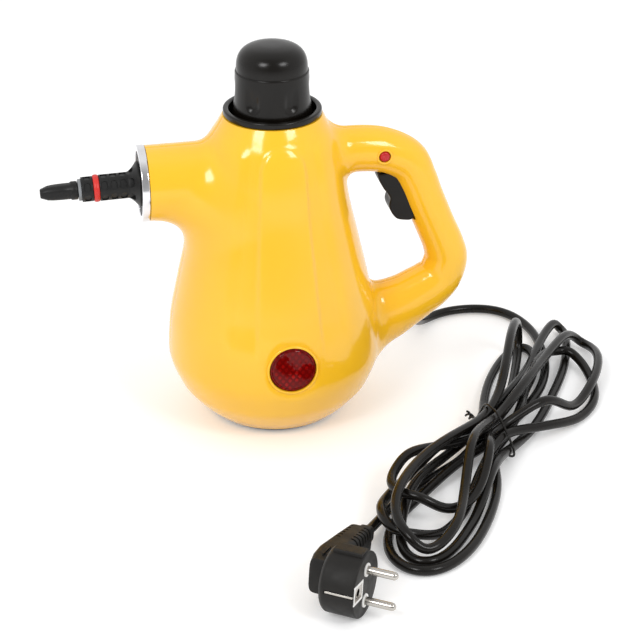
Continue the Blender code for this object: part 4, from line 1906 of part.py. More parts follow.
def strip_solid(bm, frame, extra):
    """The earth strip, or with some extra the slot that it lies in."""
    outer = STRIP_REACH + (2 * OVERRUN if extra else 0.0)
    inner = STRIP_REACH - STRIP_THICKNESS - extra
    front = OVERRUN if extra else -CLEAR
    back = -STRIP_DEPTH - extra
    bar = -STRIP_DEPTH + STRIP_THICKNESS + extra
    outline = (
        (back, -outer), (back, outer), (front, outer), (front, inner), (bar, inner), (bar, -inner), (front, -inner),
        (front, -outer))
    half = STRIP_HALF_WIDTH + extra
    sides = []
    for height in (-half, half):
        sides.append([bm.verts.new(frame @ Vector((x, y, height))) for x, y in outline])
    bm.faces.new(sides[0])
    bm.faces.new(reversed(sides[1]))
    for index in range(len(outline)):
        after = (index + 1) % len(outline)
        bm.faces.new((sides[0][index], sides[0][after], sides[1][after], sides[1][index]))
    return bm


def build():
    global HANDLE_LINE
    clear_scene()
    HANDLE_LINE = handle_line()
    surface = housing_cage()
    housing_near(surface)
    housing_far(surface)
    housing_screws()
    base_plate()
    collar_ring()
    boiler()
    heating()
    valve()
    trigger()
    lock_button()
    indicator()
    nozzle()
    steam_tube()
    cap()
    cord_exit()
    cord()
    plug()


build()
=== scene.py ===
"""Looks of the handheld steam cleaner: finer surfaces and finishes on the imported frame.

Everything is in metres in the part's own frame: the origin is on the floor under the cap's
axis, -X is the nozzle, +X the handle and -Y the near side. The driving sizes and the forms
that follow from them are those of the part's source.
"""
import math

import bmesh
import bpy
import numpy as np
from mathutils import Matrix, Vector


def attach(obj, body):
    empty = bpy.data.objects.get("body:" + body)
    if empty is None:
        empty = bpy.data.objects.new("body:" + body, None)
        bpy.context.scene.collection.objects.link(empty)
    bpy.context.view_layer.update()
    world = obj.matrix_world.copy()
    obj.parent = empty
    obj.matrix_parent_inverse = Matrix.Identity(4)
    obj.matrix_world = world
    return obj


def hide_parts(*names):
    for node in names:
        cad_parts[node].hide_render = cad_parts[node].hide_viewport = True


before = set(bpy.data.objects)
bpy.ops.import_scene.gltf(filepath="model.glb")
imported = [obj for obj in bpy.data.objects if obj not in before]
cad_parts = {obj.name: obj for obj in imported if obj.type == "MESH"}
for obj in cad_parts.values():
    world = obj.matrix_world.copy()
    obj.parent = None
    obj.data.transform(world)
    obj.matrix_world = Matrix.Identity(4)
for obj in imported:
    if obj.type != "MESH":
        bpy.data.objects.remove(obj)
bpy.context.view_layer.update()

MM = 0.001

# Camera: place and turn that fit the photograph, with the view's width from its focal length
CAMERA_PLACE = (-202.2 * MM, -1182.8 * MM, 675.0 * MM)
CAMERA_TURN = (math.radians(62.88), 0.0, math.radians(-11.13))
CAMERA_LENS = 114.7
CAMERA_SENSOR = 36.0
CAMERA_NEAR = 50.0 * MM
CAMERA_FAR = 20000.0 * MM

# Sizes shared with the part's source
CLEAR = 0.3 * MM
SLIDE_CLEAR = 0.5 * MM
OVERRUN = 2.0 * MM
SPLIT_GAP = 0.3 * MM
TINY = 1.0e-6
DEPTH_LIMIT = 90.0 * MM
BASE_RADIUS = 42.4 * MM
BASE_THICKNESS = 2.9 * MM
BASE_CHAMFER = 0.8 * MM
WALL = 2.4 * MM
BODY_FOOT = BASE_THICKNESS + CLEAR
BODY_TOP = 207.0 * MM
BELLY_RADIUS = 69.5 * MM
BELLY_SHIFT = -1.1 * MM
BODY_PROFILE_SHARES = (
    (0.000, 0.640), (0.043, 0.773), (0.107, 0.913), (0.205, 1.000), (0.303, 0.981), (0.426, 0.912),
    (0.573, 0.815), (0.720, 0.714), (0.843, 0.652), (0.917, 0.592), (0.966, 0.512), (1.000, 0.454))
ROW_SHARES = (
    0.0, 0.036, 0.082, 0.145, 0.235, 0.335, 0.435, 0.545, 0.632, 0.696, 0.755, 0.809, 0.867, 0.924,
    0.966, 1.0)
COLUMN_ANGLES = (-90, -72, -54, -37, -27, -17, -6, 6, 17, 27, 37, 54, 72, 90)
HORN_AXIS = 165.7 * MM
HORN_MOUTH = -81.0 * MM
HORN_RADIUS = 24.0 * MM
HORN_FLARE = 1.0 * MM
HORN_LOW_BLEND = 30.0 * MM
HORN_RING_SHARES = (1.0, 0.5, 0.0)
HORN_ROOT = -20.0 * MM
HORN_LAST_RING = -58.0 * MM
HORN_LOW_ROW = 7
HORN_HIGH_ROW = 13
HORN_SCREW_INSET = 15.0 * MM
HORN_SCREW_RISE = 15.3 * MM
HANDLE_REACH = 115.2 * MM
GRIP_HALF_WIDTH = 13.3 * MM
GRIP_HALF_DEPTH = 13.8 * MM
HANDLE_BLEND = 8.0 * MM
HANDLE_LOW_BLEND = 15.0 * MM
HANDLE_LOW_FADE_SHARES = (0.12, 0.32)
HANDLE_PATH_SHARES = (
    (0.22, 0.862, 1.13, 1.06), (0.50, 0.862, 1.13, 1.04), (0.64, 0.848, 1.10, 1.03),
    (0.755, 0.811, 1.07, 1.01), (0.814, 0.751, 1.01, 1.00), (0.861, 0.682, 0.99, 0.99),
    (0.933, 0.585, 0.98, 0.99), (0.983, 0.517, 1.01, 1.00), (1.000, 0.464, 1.08, 1.01),
    (0.968, 0.408, 1.12, 1.04), (0.907, 0.374, 1.22, 1.09), (0.833, 0.348, 1.30, 1.12),
    (0.755, 0.323, 1.40, 1.16), (0.625, 0.290, 1.65, 1.23), (0.390, 0.242, 1.80, 1.30))
HANDLE_PATH_STEPS = 8
HANDLE_RINGS = 12
HANDLE_ENDS_SHARES = (0.14, 0.84)
TOP_PORT_LOW_ROW = 9
TOP_PORT_HIGH_ROW = 13
LOW_PORT_LOW_ROW = 2
LOW_PORT_HIGH_ROW = 6
PORT_COLUMNS = 2
FILLET_RINGS = 2
SETTLE_LIMIT = 6.0 * MM
SETTLE_ROUNDS = 6
SMOOTHING_ROUNDS = 10
SCREW_BELLY_SHARES = {"belly": (-0.80576, 0.29952), "rear": (0.82014, 0.38647)}
SCREW_HANDLE_SHARES = {"heel": (1.00694, 0.46860), "grip": (0.82031, 0.79952)}
SCREW_HEAD_RADIUS = 2.7 * MM
SCREW_WEB = 2.6 * MM
BASE_SCREW_ANGLES = {"left": 210.0, "right": 330.0, "back": 90.0}
BASE_SCREW_CIRCLE = 38.3 * MM
COLLAR_TOP = 211.4 * MM
COLLAR_RADIUS = 31.2 * MM
COLLAR_RIM_RADIUS = 27.6 * MM
COLLAR_WELL_RADIUS = 26.6 * MM
COLLAR_SPIGOT_RADIUS = 28.5 * MM
COLLAR_FLOOR = 197.0 * MM
COLLAR_FLOOR_THICKNESS = 2.0 * MM
NECK_RADIUS = 16.0 * MM
TRIGGER_PLACE_SHARES = (0.72917, 0.77295)
TRIGGER_HALF_WIDTH = 7.6 * MM
TRIGGER_SIZE = 31.0 * MM
TRIGGER_OUTLINE_SHARES = (
    (-0.13, 0.45), (0.00, 0.45), (0.07, 0.20), (0.14, 0.03), (0.12, -0.16), (0.09, -0.32),
    (0.15, -0.60), (0.24, -0.90), (0.22, -0.99), (0.14, -1.02), (-0.02, -1.00), (-0.13, -0.97),
    (-0.21, -0.88), (-0.28, -0.75), (-0.305, -0.64), (-0.265, -0.50), (-0.33, -0.38), (-0.41, -0.28),
    (-0.50, -0.12), (-0.56, 0.06), (-0.42, 0.08), (-0.26, 0.10), (-0.13, 0.20))
SLOT_OUTLINE_SHARES = (
    (-0.56, 0.00), (-0.40, -0.22), (-0.22, -0.48), (-0.05, -0.80), (0.08, -1.09), (0.44, -0.96),
    (0.30, -0.55), (0.15, -0.20), (-0.05, 0.10), (-0.36, 0.32))
LOCK_PLACE_SHARES = (0.60503, 0.85604)
LOCK_RADIUS = 3.5 * MM
LOCK_NEAR_END = -15.6 * MM
LOCK_FAR_END = 13.2 * MM
LOCK_RIM_RADIUS = 5.2 * MM
LOCK_RIM_HEIGHT = 14.9 * MM
LENS_HEIGHT = 58.4 * MM
LENS_SINK = 2.67 * MM
LENS_TILT = math.radians(4.0)
LENS_RADIUS = 14.9 * MM
LENS_EDGE = 2.2 * MM
LENS_CROWN = 1.4 * MM
LENS_SEAT_DEPTH = 2.4 * MM
LENS_RIM_WIDTH = 2.0 * MM
LENS_RIM_PROUD = 1.6 * MM
BEZEL_RADIUS = 24.5 * MM
BEZEL_LENGTH = 5.1 * MM
BEZEL_LIP = 4.0 * MM
BEZEL_LIP_THICKNESS = 1.6 * MM
SOCKET_RADIUS = 20.2 * MM
NOZZLE_DROOP = math.radians(1.6)
NOZZLE_FACE_GAP = 0.8 * MM
NOZZLE_BORE = 1.6 * MM
NOZZLE_SPIGOT_RADIUS = 8.4 * MM
NOZZLE_SPIGOT_LENGTH = 10.0 * MM
CONE_RADIUS = 14.4 * MM
CONE_RIM = 1.6 * MM
CONE_LENGTH = 8.0 * MM
GRIP_RADIUS = 8.3 * MM
GRIP_LENGTH = 17.9 * MM
RING_RADIUS = 8.7 * MM
RING_WIDTH = 4.0 * MM
RING_SEAT_RADIUS = 6.8 * MM
COLLET_RADIUS = 7.9 * MM
COLLET_LENGTH = 7.2 * MM
WASHER_RADIUS = 6.9 * MM
WASHER_THICKNESS = 2.2 * MM
WASHER_SEAT_RADIUS = 5.0 * MM
SHANK_RADIUS = 4.0 * MM
SHANK_LENGTH = 8.0 * MM
TIP_RADIUS = 5.9 * MM
TIP_END_RADIUS = 2.7 * MM
TIP_LENGTH = 23.4 * MM
WINDOW_COLUMNS = 3
WINDOW_ROWS = 6
WINDOW_DEPTH = 1.1 * MM
WINDOW_LENGTH = 3.8 * MM
WINDOW_WIDTH = 3.6 * MM
CAP_SKIRT_BOTTOM = 204.5 * MM
CAP_SEAM = 236.6 * MM
CAP_TOP = 252.7 * MM
CAP_BOTTOM_RADIUS = 24.6 * MM
CAP_SEAM_RADIUS = 22.9 * MM
CAP_WALL = 2.0 * MM
CAP_LEDGE = 0.7 * MM
CAP_FLUTES = 6
SLEEVE_RADIUS = 17.6 * MM
SLEEVE_BORE = 15.7 * MM
SLEEVE_FOOT = 218.0 * MM
EXIT_REACH_SHARE = 0.80729
EXIT_DEPTH = 13.0 * MM
EXIT_HEIGHT = 55.5 * MM
EXIT_DIRECTION = (0.30, 0.80, -0.52)
RELIEF_LENGTH = 24.0 * MM
RELIEF_ROOT_RADIUS = 5.2 * MM
RELIEF_TIP_RADIUS = 3.9 * MM
RELIEF_FLANGE_RADIUS = 6.8 * MM
RELIEF_FLANGE = 2.0 * MM
RELIEF_INSIDE = 7.0 * MM
CORD_DIAMETER = 6.2 * MM
LEAD_ROUTE = (
    (105.3 * MM, 47.0 * MM, 32.4 * MM), (108.8 * MM, 57.0 * MM, 24.0 * MM),
    (112.6 * MM, 67.0 * MM, 16.0 * MM), (117.2 * MM, 77.5 * MM, 9.3 * MM), (123.2 * MM, 87.5 * MM, 4.8 * MM),
    (129.3 * MM, 93.8 * MM, 3.5 * MM), (135.9 * MM, 97.6 * MM, 3.3 * MM), (150.7 * MM, 101.6 * MM, 3.3 * MM),
    (169.1 * MM, 100.2 * MM, 3.3 * MM), (180.3 * MM, 95.2 * MM, 3.3 * MM), (187.9 * MM, 86.9 * MM, 3.3 * MM),
    (193.4 * MM, 73.8 * MM, 3.3 * MM), (196.2 * MM, 59.8 * MM, 3.3 * MM))
CORD_POINTS = 22
TIE_ENDS = ((122.6 * MM, -67.7 * MM), (133.4 * MM, -106.2 * MM))
TIE_RADIUS = 1.1 * MM
TIE_CLEAR = 0.5 * MM
TIE_POINTS = 22
TIE_TWIST_RADIUS = 1.5 * MM
TIE_TWIST_LENGTH = 9.0 * MM
TIE_TWIST_POINTS = 8
TIE_ARC_POINTS = 12
PLUG_FACE = (6.8 * MM, -253.4 * MM, 19.9 * MM)
PLUG_HEADING = math.radians(-33.9)
PLUG_ROLL = math.radians(-9.0)
PLUG_RADIUS = 19.6 * MM
BARREL_LENGTH = 22.0 * MM
BARREL_EDGE = 1.2 * MM
PLUG_PIN_PITCH = 19.0 * MM
PLUG_PIN_RADIUS = 2.4 * MM
PLUG_PIN_LENGTH = 19.0 * MM
PLUG_PIN_DEPTH = 7.0 * MM
PLUG_COLLAR_RADIUS = 4.3 * MM
PLUG_COLLAR = 0.8 * MM
HANK_WAIST = (128.0 * MM, -86.0 * MM)
HANK_AXIS = math.radians(49.0)
HANK_SIZE = 200.0 * MM
HANK_GAP = 1.2 * MM
HANK_FLOOR = 3.3 * MM
WAIST_LIFT = 2.8 * MM
WAIST_CENTRE = (-5.0 * MM, -1.0 * MM)
WAIST_LEAN = 0.55
WAIST_HALF_LENGTH = 9.0 * MM
WAIST_PITCH = 7.1 * MM
WAIST_SHARES = (0.0, -1.0, 2.0, -2.0, 1.5, -1.5, 0.5, -0.5, 0.0, 1.0, 1.0)
LEAD_SHARES = ((0.700, 0.158), (0.580, 0.080), (0.412, 0.018), (0.254, 0.000), (0.120, -0.004))
TAIL_SHARES = (
    (-0.150, 0.035), (-0.224, 0.050), (-0.330, 0.076), (-0.430, 0.097), (-0.500, 0.1005),
    (-0.572, 0.091, 0.008), (-0.641, 0.0825, 0.0185), (-0.685, 0.077, 0.0255), (-0.7176, 0.0729, 0.0308))
LOOP_SHARES = (
    ((-0.155, 0.010), (-0.315, 0.030), (-0.464, 0.048), (-0.587, 0.042), (-0.691, 0.006), (-0.764, -0.055),
     (-0.781, -0.124), (-0.742, -0.177), (-0.664, -0.205), (-0.550, -0.209), (-0.414, -0.185),
     (-0.272, -0.144), (-0.165, -0.090)),
    ((0.160, -0.020), (0.242, 0.010), (0.360, 0.040), (0.494, 0.072), (0.578, 0.098), (0.640, 0.140),
     (0.664, 0.185), (0.602, 0.212), (0.484, 0.208), (0.361, 0.184), (0.236, 0.145), (0.130, 0.095)),
    ((-0.190, 0.070), (-0.324, 0.070), (-0.472, 0.062), (-0.599, 0.025), (-0.701, -0.022), (-0.752, -0.082),
     (-0.750, -0.144), (-0.686, -0.172), (-0.565, -0.165), (-0.435, -0.146),
     (-0.306, -0.117), (-0.190, -0.090)),
    ((0.110, -0.078), (0.222, -0.060), (0.368, -0.040), (0.513, -0.010), (0.655, 0.033), (0.799, 0.098),
     (0.850, 0.142), (0.760, 0.151), (0.543, 0.102), (0.367, 0.065), (0.164, 0.045)),
    ((-0.165, 0.078), (-0.299, 0.112), (-0.472, 0.110), (-0.574, 0.100), (-0.636, 0.073), (-0.692, 0.008),
     (-0.690, -0.050), (-0.630, -0.090), (-0.542, -0.114), (-0.443, -0.114),
     (-0.326, -0.097), (-0.190, -0.070)),
    ((0.070, -0.105), (0.169, -0.152), (0.272, -0.182), (0.396, -0.183), (0.499, -0.140), (0.605, -0.058),
     (0.645, 0.018), (0.600, 0.062), (0.479, 0.064), (0.282, 0.020), (0.140, 0.008)),
    ((-0.180, 0.050), (-0.309, 0.111), (-0.396, 0.138), (-0.482, 0.126), (-0.532, 0.087), (-0.542, 0.021),
     (-0.524, -0.044), (-0.482, -0.092), (-0.422, -0.127), (-0.300, -0.119), (-0.191, -0.080)),
    ((0.090, -0.070), (0.177, -0.125), (0.290, -0.154), (0.414, -0.154), (0.540, -0.130), (0.670, -0.080),
     (0.760, -0.010), (0.765, 0.050), (0.590, 0.043), (0.434, 0.025), (0.208, -0.005)),
    ((-0.190, -0.028), (-0.310, -0.059), (-0.408, -0.097), (-0.493, -0.134), (-0.574, -0.158),
     (-0.660, -0.160), (-0.724, -0.136), (-0.738, -0.086), (-0.706, -0.024), (-0.635, 0.028),
     (-0.552, 0.051), (-0.435, 0.067), (-0.308, 0.066), (-0.202, 0.043)),
    ((0.139, 0.046, 0.110), (0.262, 0.083, 0.150), (0.378, 0.125, 0.172), (0.500, 0.166, 0.162),
     (0.575, 0.190, 0.125), (0.600, 0.192, 0.070), (0.570, 0.180, 0.018), (0.475, 0.144, 0.0),
     (0.329, 0.095, 0.0), (0.186, 0.055, 0.0)))
LOOP_POINTS = 10
END_POINTS = 7
FINE_POINTS = 300
FINE_PARTS = 9
FOLD_POINT = 6
SETTLING_STEPS = 400
FINAL_STEPS = 60
SETTLING_DROP = 0.25 * MM
STIFFNESS = 0.12
HOMING = 0.06
EVENING = 0.5
SHOVE = 1.3
LOOP_SKIP = 40.0 * MM
BEND_WEIGHT = 46.0 * MM

# Forms that only the looks need
CAGE_CUTS = 7
HORN_TOP_BLEND = 7.0 * MM
SEAM_DEPTH = 0.35 * MM
PANEL_ANGLE = math.radians(17.0)
PANEL_TOP = 196.0 * MM
PANEL_EDGE = 3.4 * MM
PANEL_RISE = 1.8 * MM
FLANK_ANGLE = math.radians(39.0)
FLANK_EDGE = 8.0 * MM
FLANK_CORNER = 9.0 * MM
GROOVE_FADE = (56.0 * MM, 88.0 * MM, 184.0 * MM, 205.5 * MM)
BOWL_LEVEL = 0.5 * MM
BOWL_RISE = 5.0 * MM
BOWL_RADII = (16.8 * MM, 24.0 * MM)
BOWL_BLEND = 1.6 * MM
LATHE_SIDES = 96
HOLE_SIDES = 40
SMALL_SIDES = 48
BUTTON_SIDES = 64
RIM_SIDES = 128
WIDE_SIDES = 160
CAP_SIDES = 240
FINE_EDGES = 35.0
TURNED_EDGES = 40.0
ROUND_EDGES = 50.0
SOFT_EDGES = 60.0
CURVE_STEPS = 24
SEARCH_ROUNDS = 40
LEAST_SLOPE = 0.05
EVENING_SHARE = 0.6
BEND_SPREAD = 40
CAP_TURN = math.radians(10.0)
LOCK_RIM_PROUD = 0.6 * MM
LOCK_RIM_EDGE = 0.5 * MM
LOCK_PLAY = 0.1 * MM
LOCK_END_STEP = 0.5 * MM
LOCK_ROUND = 1.5 * MM
POST_WALL = 1.4 * MM
POST_DEPTH_SHARE = 0.6
LENS_RING_GAP = 0.15 * MM
LENS_RING_WIDTH_SHARE = 0.7
LENS_RING_FLARE = 0.5 * MM
LENS_RING_EDGE = 0.9 * MM
LENS_RIM_GAP = 0.1 * MM
LENS_CROWN_DEGREES = 80.0
LENS_CROWN_POINTS = 28
LENS_NOTCH_INSET = 1.7 * MM
LENS_NOTCH_HALF = 0.3 * MM
LENS_NOTCH_DROP = 0.15 * MM
LENS_SHOULDER_RISE = 0.25 * MM
LENS_SHOULDER_EDGE = 0.3 * MM
LENS_LIP_RISE = 0.2 * MM
TRIGGER_CORNER = 1.6 * MM
TRIGGER_EDGE = 1.3 * MM
TRIGGER_EDGE_ANGLE = math.radians(50.0)
POCKET_HEIGHT = 14.5 * MM
POCKET_HALF = 5.8 * MM
POCKET_TOP = 5.0 * MM
POCKET_DEPTH = 1.7 * MM
POCKET_FADE = 4.2 * MM
CAP_SKIRT_POINTS = 56
CAP_FLARE_POWER = 1.4
CAP_SWELL_MARGIN = 0.2 * MM
CAP_TOP_SHARES = (0.6, 0.5)
CAP_TOP_GAP = 0.3 * MM
CAP_TOP_INSET = 0.4 * MM
CAP_LIP_SHARES = ((0.3, 1.2), (-0.1, 0.75), (-0.7, 0.6), (-2.0, 0.6))
CAP_DOME_POINTS = 40
CAP_DOME_SHARES = (
    (1.0, 0.0), (0.992, 0.22), (0.965, 0.43), (0.905, 0.62), (0.80, 0.78), (0.64, 0.90), (0.42, 0.97),
    (0.20, 0.995), (0.0, 1.0))
COLLAR_EDGE = 1.3 * MM
BASE_EDGE = 0.5 * MM
BEZEL_EDGE = 0.7 * MM
GRIP_EDGE = 0.45 * MM
CONE_POINTS = 9
CONE_POWER = 1.5
WINDOW_CONE_RISE = 0.9 * MM
WINDOW_CONE_SHARE = 0.3
WINDOW_CORNER = 2.2 * MM
WINDOW_WIDTH_SHARE = 0.8
WINDOW_LENGTH_SHARE = 0.58
RING_SEAT_GAP = 0.2 * MM
RING_POINTS = 24
WASHER_GAP = 0.1 * MM
WASHER_EDGE = 0.4 * MM
TIP_OUTLINE = (
    (TIP_RADIUS - 0.3 * MM, 0.0), (TIP_RADIUS, 0.03), (TIP_RADIUS, 0.16), (TIP_RADIUS - 0.6 * MM, 0.20),
    (5.3 * MM, 0.42), (5.1 * MM, 0.66), (4.7 * MM, 0.80), (TIP_END_RADIUS + 0.5 * MM, 0.97),
    (TIP_END_RADIUS, 1.0))
TIP_FLAT_SHARE = 0.075
TIP_FLAT_START_SHARE = 0.2
TIP_FLAT_MARGIN = 0.1 * MM
RELIEF_RINGS = 6
RELIEF_NOTCH = 0.9 * MM
RELIEF_RING_SHARES = ((0.0, 0.02), (0.0, 0.55), (1.0, 0.62), (1.0, 0.95))
RELIEF_EDGE = 0.3 * MM
TIE_WIRE_RADIUS = 0.75 * MM
TIE_STEPS = 240
SPACE_ROUNDS = 6
PLAN_ROUNDS = 20
CORD_STEPS = 1500
PLUG_SECTIONS = (
    (-3.9 * MM, -26.6 * MM, 5.6 * MM, 9.6 * MM), (-3.3 * MM, -26.6 * MM, 6.7 * MM, 10.8 * MM),
    (4.0 * MM, -27.2 * MM, 7.6 * MM, 11.8 * MM), (14.0 * MM, -27.2 * MM, 8.2 * MM, 12.0 * MM),
    (24.0 * MM, -26.2 * MM, 8.6 * MM, 11.4 * MM), (38.0 * MM, -25.4 * MM, 8.4 * MM, 10.6 * MM),
    (54.0 * MM, -25.0 * MM, 7.4 * MM, 9.4 * MM), (57.0 * MM, -25.0 * MM, 6.6 * MM, 7.6 * MM),
    (58.0 * MM, -25.0 * MM, 5.0 * MM, 5.4 * MM), (66.0 * MM, -25.0 * MM, 4.5 * MM, 4.7 * MM),
    (66.5 * MM, -25.0 * MM, 4.0 * MM, 4.1 * MM))
PLUG_SQUARENESS = 0.42
PLUG_SLITS = 6
PLUG_SLIT_FIRST = 30.0 * MM
PLUG_SLIT_PITCH = 4.1 * MM
PLUG_SLIT_WIDTH = 1.5 * MM
PLUG_KEY = ((-18.5 * MM, -6.0 * MM, 16.0 * MM), (-1.2 * MM, 4.0 * MM, 20.9 * MM))
CONTACT_LOW = (-0.8 * MM, -18.2 * MM, -5.8 * MM)
CONTACT_HIGH = (0.3 * MM, -5.0 * MM, 5.8 * MM)
CONTACT_FRAME = 1.3 * MM
CONTACT_HOLE = (-12.2 * MM, 0.6 * MM, 2.5 * MM)
BLADE_START = -17.0 * MM
BLADE_HALF = 0.65 * MM
BLADE_DEPTH = 1.4 * MM
CONTACT_EDGE = 0.15 * MM
CONTACT_SINK = 0.15 * MM
CONTACT_HOLE_DEPTH = -9.0 * MM
CONTACT_HOLE_GAP = 0.2 * MM
BLADE_PROUD = 0.1 * MM
BLADE_END = -0.4 * MM
BLADE_GROOVE_GAP = 0.5 * MM
BLADE_GROOVE_END = 0.6 * MM
BLADE_GROOVE_EDGE = 0.1 * MM
BARREL_ROUND = 1.2 * MM
PLUG_SIDES = 64
PLUG_RINGS = 30
PIN_NOSE_POINTS = 8
PLUG_KEY_EDGE = 0.8 * MM
PLUG_RIB_PLACES = (-27.6 * MM, -25.0 * MM)
PLUG_RIB_FOOT = (1.0 * MM, 9.0 * MM)
PLUG_RIB_END = (12.0 * MM, 12.9 * MM)
PLUG_RIB_WIDTH = 0.9 * MM
PLUG_SMALL_EDGE = 0.3 * MM
PLUG_SLIT_SPANS = ((-40.0 * MM, -28.5 * MM), (-22.0 * MM, -10.0 * MM))
PLUG_SLIT_HEIGHTS = (4.0 * MM, 20.0 * MM)
PLUG_COLLAR_GAP = 0.1 * MM
PLUG_COLLAR_EDGE = 0.3 * MM

# Heights of the surfaces' grains
YELLOW_RIPPLE = 0.05 * MM
YELLOW_GRAIN = 0.006 * MM
BLACK_GRAIN = 0.02 * MM
CAP_GRAIN = 0.004 * MM
NOZZLE_GRAIN = 0.03 * MM
SLEEVE_GRAIN = 0.012 * MM
PLUG_GRAIN = 0.05 * MM
RUBBER_GRAIN = 0.015 * MM
LENS_PRISMS = 0.12 * MM
METAL_GRAIN = 0.01 * MM
PIN_GRAIN = 0.0015 * MM
CAST_GRAIN = 0.08 * MM

# Floor, sky and lamps
FLOOR_SIZE = 6000.0 * MM
FLOOR_LIFT = 0.22
SKY_BRIGHT = 0.95
SKY_DARK = 0.4
DARK_SIDE = (-0.15, -0.87, 0.47)
LAMP_TARGET = (0.0, 0.0, 140.0 * MM)
LAMPS = (
    ("left_box", (-1000.0 * MM, -1115.0 * MM, 1310.0 * MM), 620.0 * MM, 12.5),
    ("right_box", (820.0 * MM, -1260.0 * MM, 1310.0 * MM), 560.0 * MM, 10.0))
FLOOR_DROP = 0.2 * MM
SKY_BAND = (0.45, 0.95)

# Places that follow from the sizes above
BODY_HEIGHT = BODY_TOP - BODY_FOOT
TRIGGER_PIVOT = (TRIGGER_PLACE_SHARES[0] * HANDLE_REACH, TRIGGER_PLACE_SHARES[1] * BODY_TOP)
LOCK_PLACE = (LOCK_PLACE_SHARES[0] * HANDLE_REACH, LOCK_PLACE_SHARES[1] * BODY_TOP)
EXIT_POINT = (EXIT_REACH_SHARE * HANDLE_REACH, EXIT_DEPTH, EXIT_HEIGHT)
SCREW_PLACES = {"horn": (HORN_MOUTH + HORN_SCREW_INSET, HORN_AXIS + HORN_SCREW_RISE)}
for table, breadth in ((SCREW_BELLY_SHARES, BELLY_RADIUS), (SCREW_HANDLE_SHARES, HANDLE_REACH)):
    for name, (across, up) in table.items():
        SCREW_PLACES[name] = (across * breadth, up * BODY_TOP)

CONE_START = BEZEL_LENGTH - BEZEL_LIP_THICKNESS - CLEAR + NOZZLE_FACE_GAP
GRIP_START = CONE_START + CONE_LENGTH
RING_START = GRIP_START + GRIP_LENGTH
COLLET_START = RING_START + RING_WIDTH
WASHER_START = COLLET_START + COLLET_LENGTH
SHANK_START = WASHER_START + WASHER_THICKNESS


def through(points, count, measured=3):
    """Even points on a smooth curve through the given ones, spaced by their first columns."""
    route = np.array([tuple(point) for point in points], float)
    padded = np.vstack((2 * route[0] - route[1], route, 2 * route[-1] - route[-2]))
    fine = []
    for index in range(len(route) - 1):
        before, start, end, after = padded[index:index + 4]
        for step in np.linspace(0.0, 1.0, CURVE_STEPS, endpoint=False):
            lean = (end - before) * step
            lean += (2 * before - 5 * start + 4 * end - after) * step ** 2
            lean += (3 * start - before - 3 * end + after) * step ** 3
            fine.append(start + 0.5 * lean)
    fine.append(route[-1])
    fine = np.array(fine)
    hops = np.linalg.norm(np.diff(fine[:, :measured], axis=0), axis=1)
    run = np.concatenate(([0.0], np.cumsum(hops)))
    stops = np.linspace(0.0, run[-1], count)
    return np.column_stack([np.interp(stops, run, column) for column in fine.T])


def smooth_values(knots, values, at):
    """A curve through knots that never overshoots them."""
    knots = np.asarray(knots, float)
    values = np.asarray(values, float)
    step = np.diff(knots)
    slope = np.diff(values) / step
    same = slope[:-1] * slope[1:] > 0
    total = np.where(same, slope[:-1] + slope[1:], 1.0)
    inner = np.where(same, 2.0 * slope[:-1] * slope[1:] / total, 0.0)
    tangent = np.concatenate(([slope[0]], inner, [slope[-1]]))
    at = np.asarray(at, float)
    index = np.clip(np.searchsorted(knots, at) - 1, 0, len(step) - 1)
    share = np.clip((at - knots[index]) / step[index], -1.0, 2.0)
    outside = np.where(share < 0, share, np.where(share > 1, share - 1.0, 0.0))
    share = np.clip(share, 0.0, 1.0)
    low = values[index] * (1 + 2 * share) * (1 - share) ** 2
    low += tangent[index] * step[index] * share * (1 - share) ** 2
    high = values[index + 1] * share ** 2 * (3 - 2 * share)
    high += tangent[index + 1] * step[index] * share ** 2 * (share - 1)
    edge = np.where(outside < 0, tangent[index], tangent[index + 1])
    return low + high + outside * step[index] * edge


def rise(value, low, high):
    """A soft step from 0 to 1."""
    share = np.clip((value - low) / (high - low), 0.0, 1.0)
    return share * share * (3.0 - 2.0 * share)


def body_radius(height):
    """Radius of the pear without its panels."""
    shares = np.array(BODY_PROFILE_SHARES)
    return BELLY_RADIUS * smooth_values(shares[:, 0], shares[:, 1], (height - BODY_FOOT) / BODY_HEIGHT)


def body_axis(height):
    """The pear leans a little to the nozzle between its ends."""
    share = np.clip((height - BODY_FOOT) / BODY_HEIGHT, 0.0, 1.0)
    return BELLY_SHIFT * np.sin(math.pi * share)


def along(origin, direction):
    """Place a solid whose local Z runs along a direction."""
    turn = Vector(direction).to_track_quat("Z", "Y").to_matrix().to_4x4()
    return Matrix.Translation(Vector(origin)) @ turn


def lens_place():
    """Frame at the lens's back, with its axis pointing out of the belly."""
    outward = Vector((0.0, -math.cos(LENS_TILT), math.sin(LENS_TILT)))
    return along((0.0, LENS_SINK - float(body_radius(LENS_HEIGHT)), LENS_HEIGHT), outward)


def groove_depth(across, y, z, radius):
    """Drop from the front and back panels and the flanks, which end in arches under the neck."""
    run = np.arctan2(np.abs(across), np.abs(y)) * radius
    half = PANEL_ANGLE * radius
    beside = np.hypot(run, np.maximum(z - (PANEL_TOP - half), 0.0)) - half
    out = np.maximum(FLANK_ANGLE * radius - run + FLANK_CORNER, 0.0)
    over = np.maximum(z - PANEL_TOP + FLANK_CORNER, 0.0)
    from_flank = np.hypot(out, over) - FLANK_CORNER
    foot, full, shoulder, end = GROOVE_FADE
    fade = rise(z, foot, full) * (1.0 - rise(z, shoulder, end))
    return PANEL_RISE * fade * rise(beside, 0.0, PANEL_EDGE) * rise(from_flank, 0.0, FLANK_EDGE)


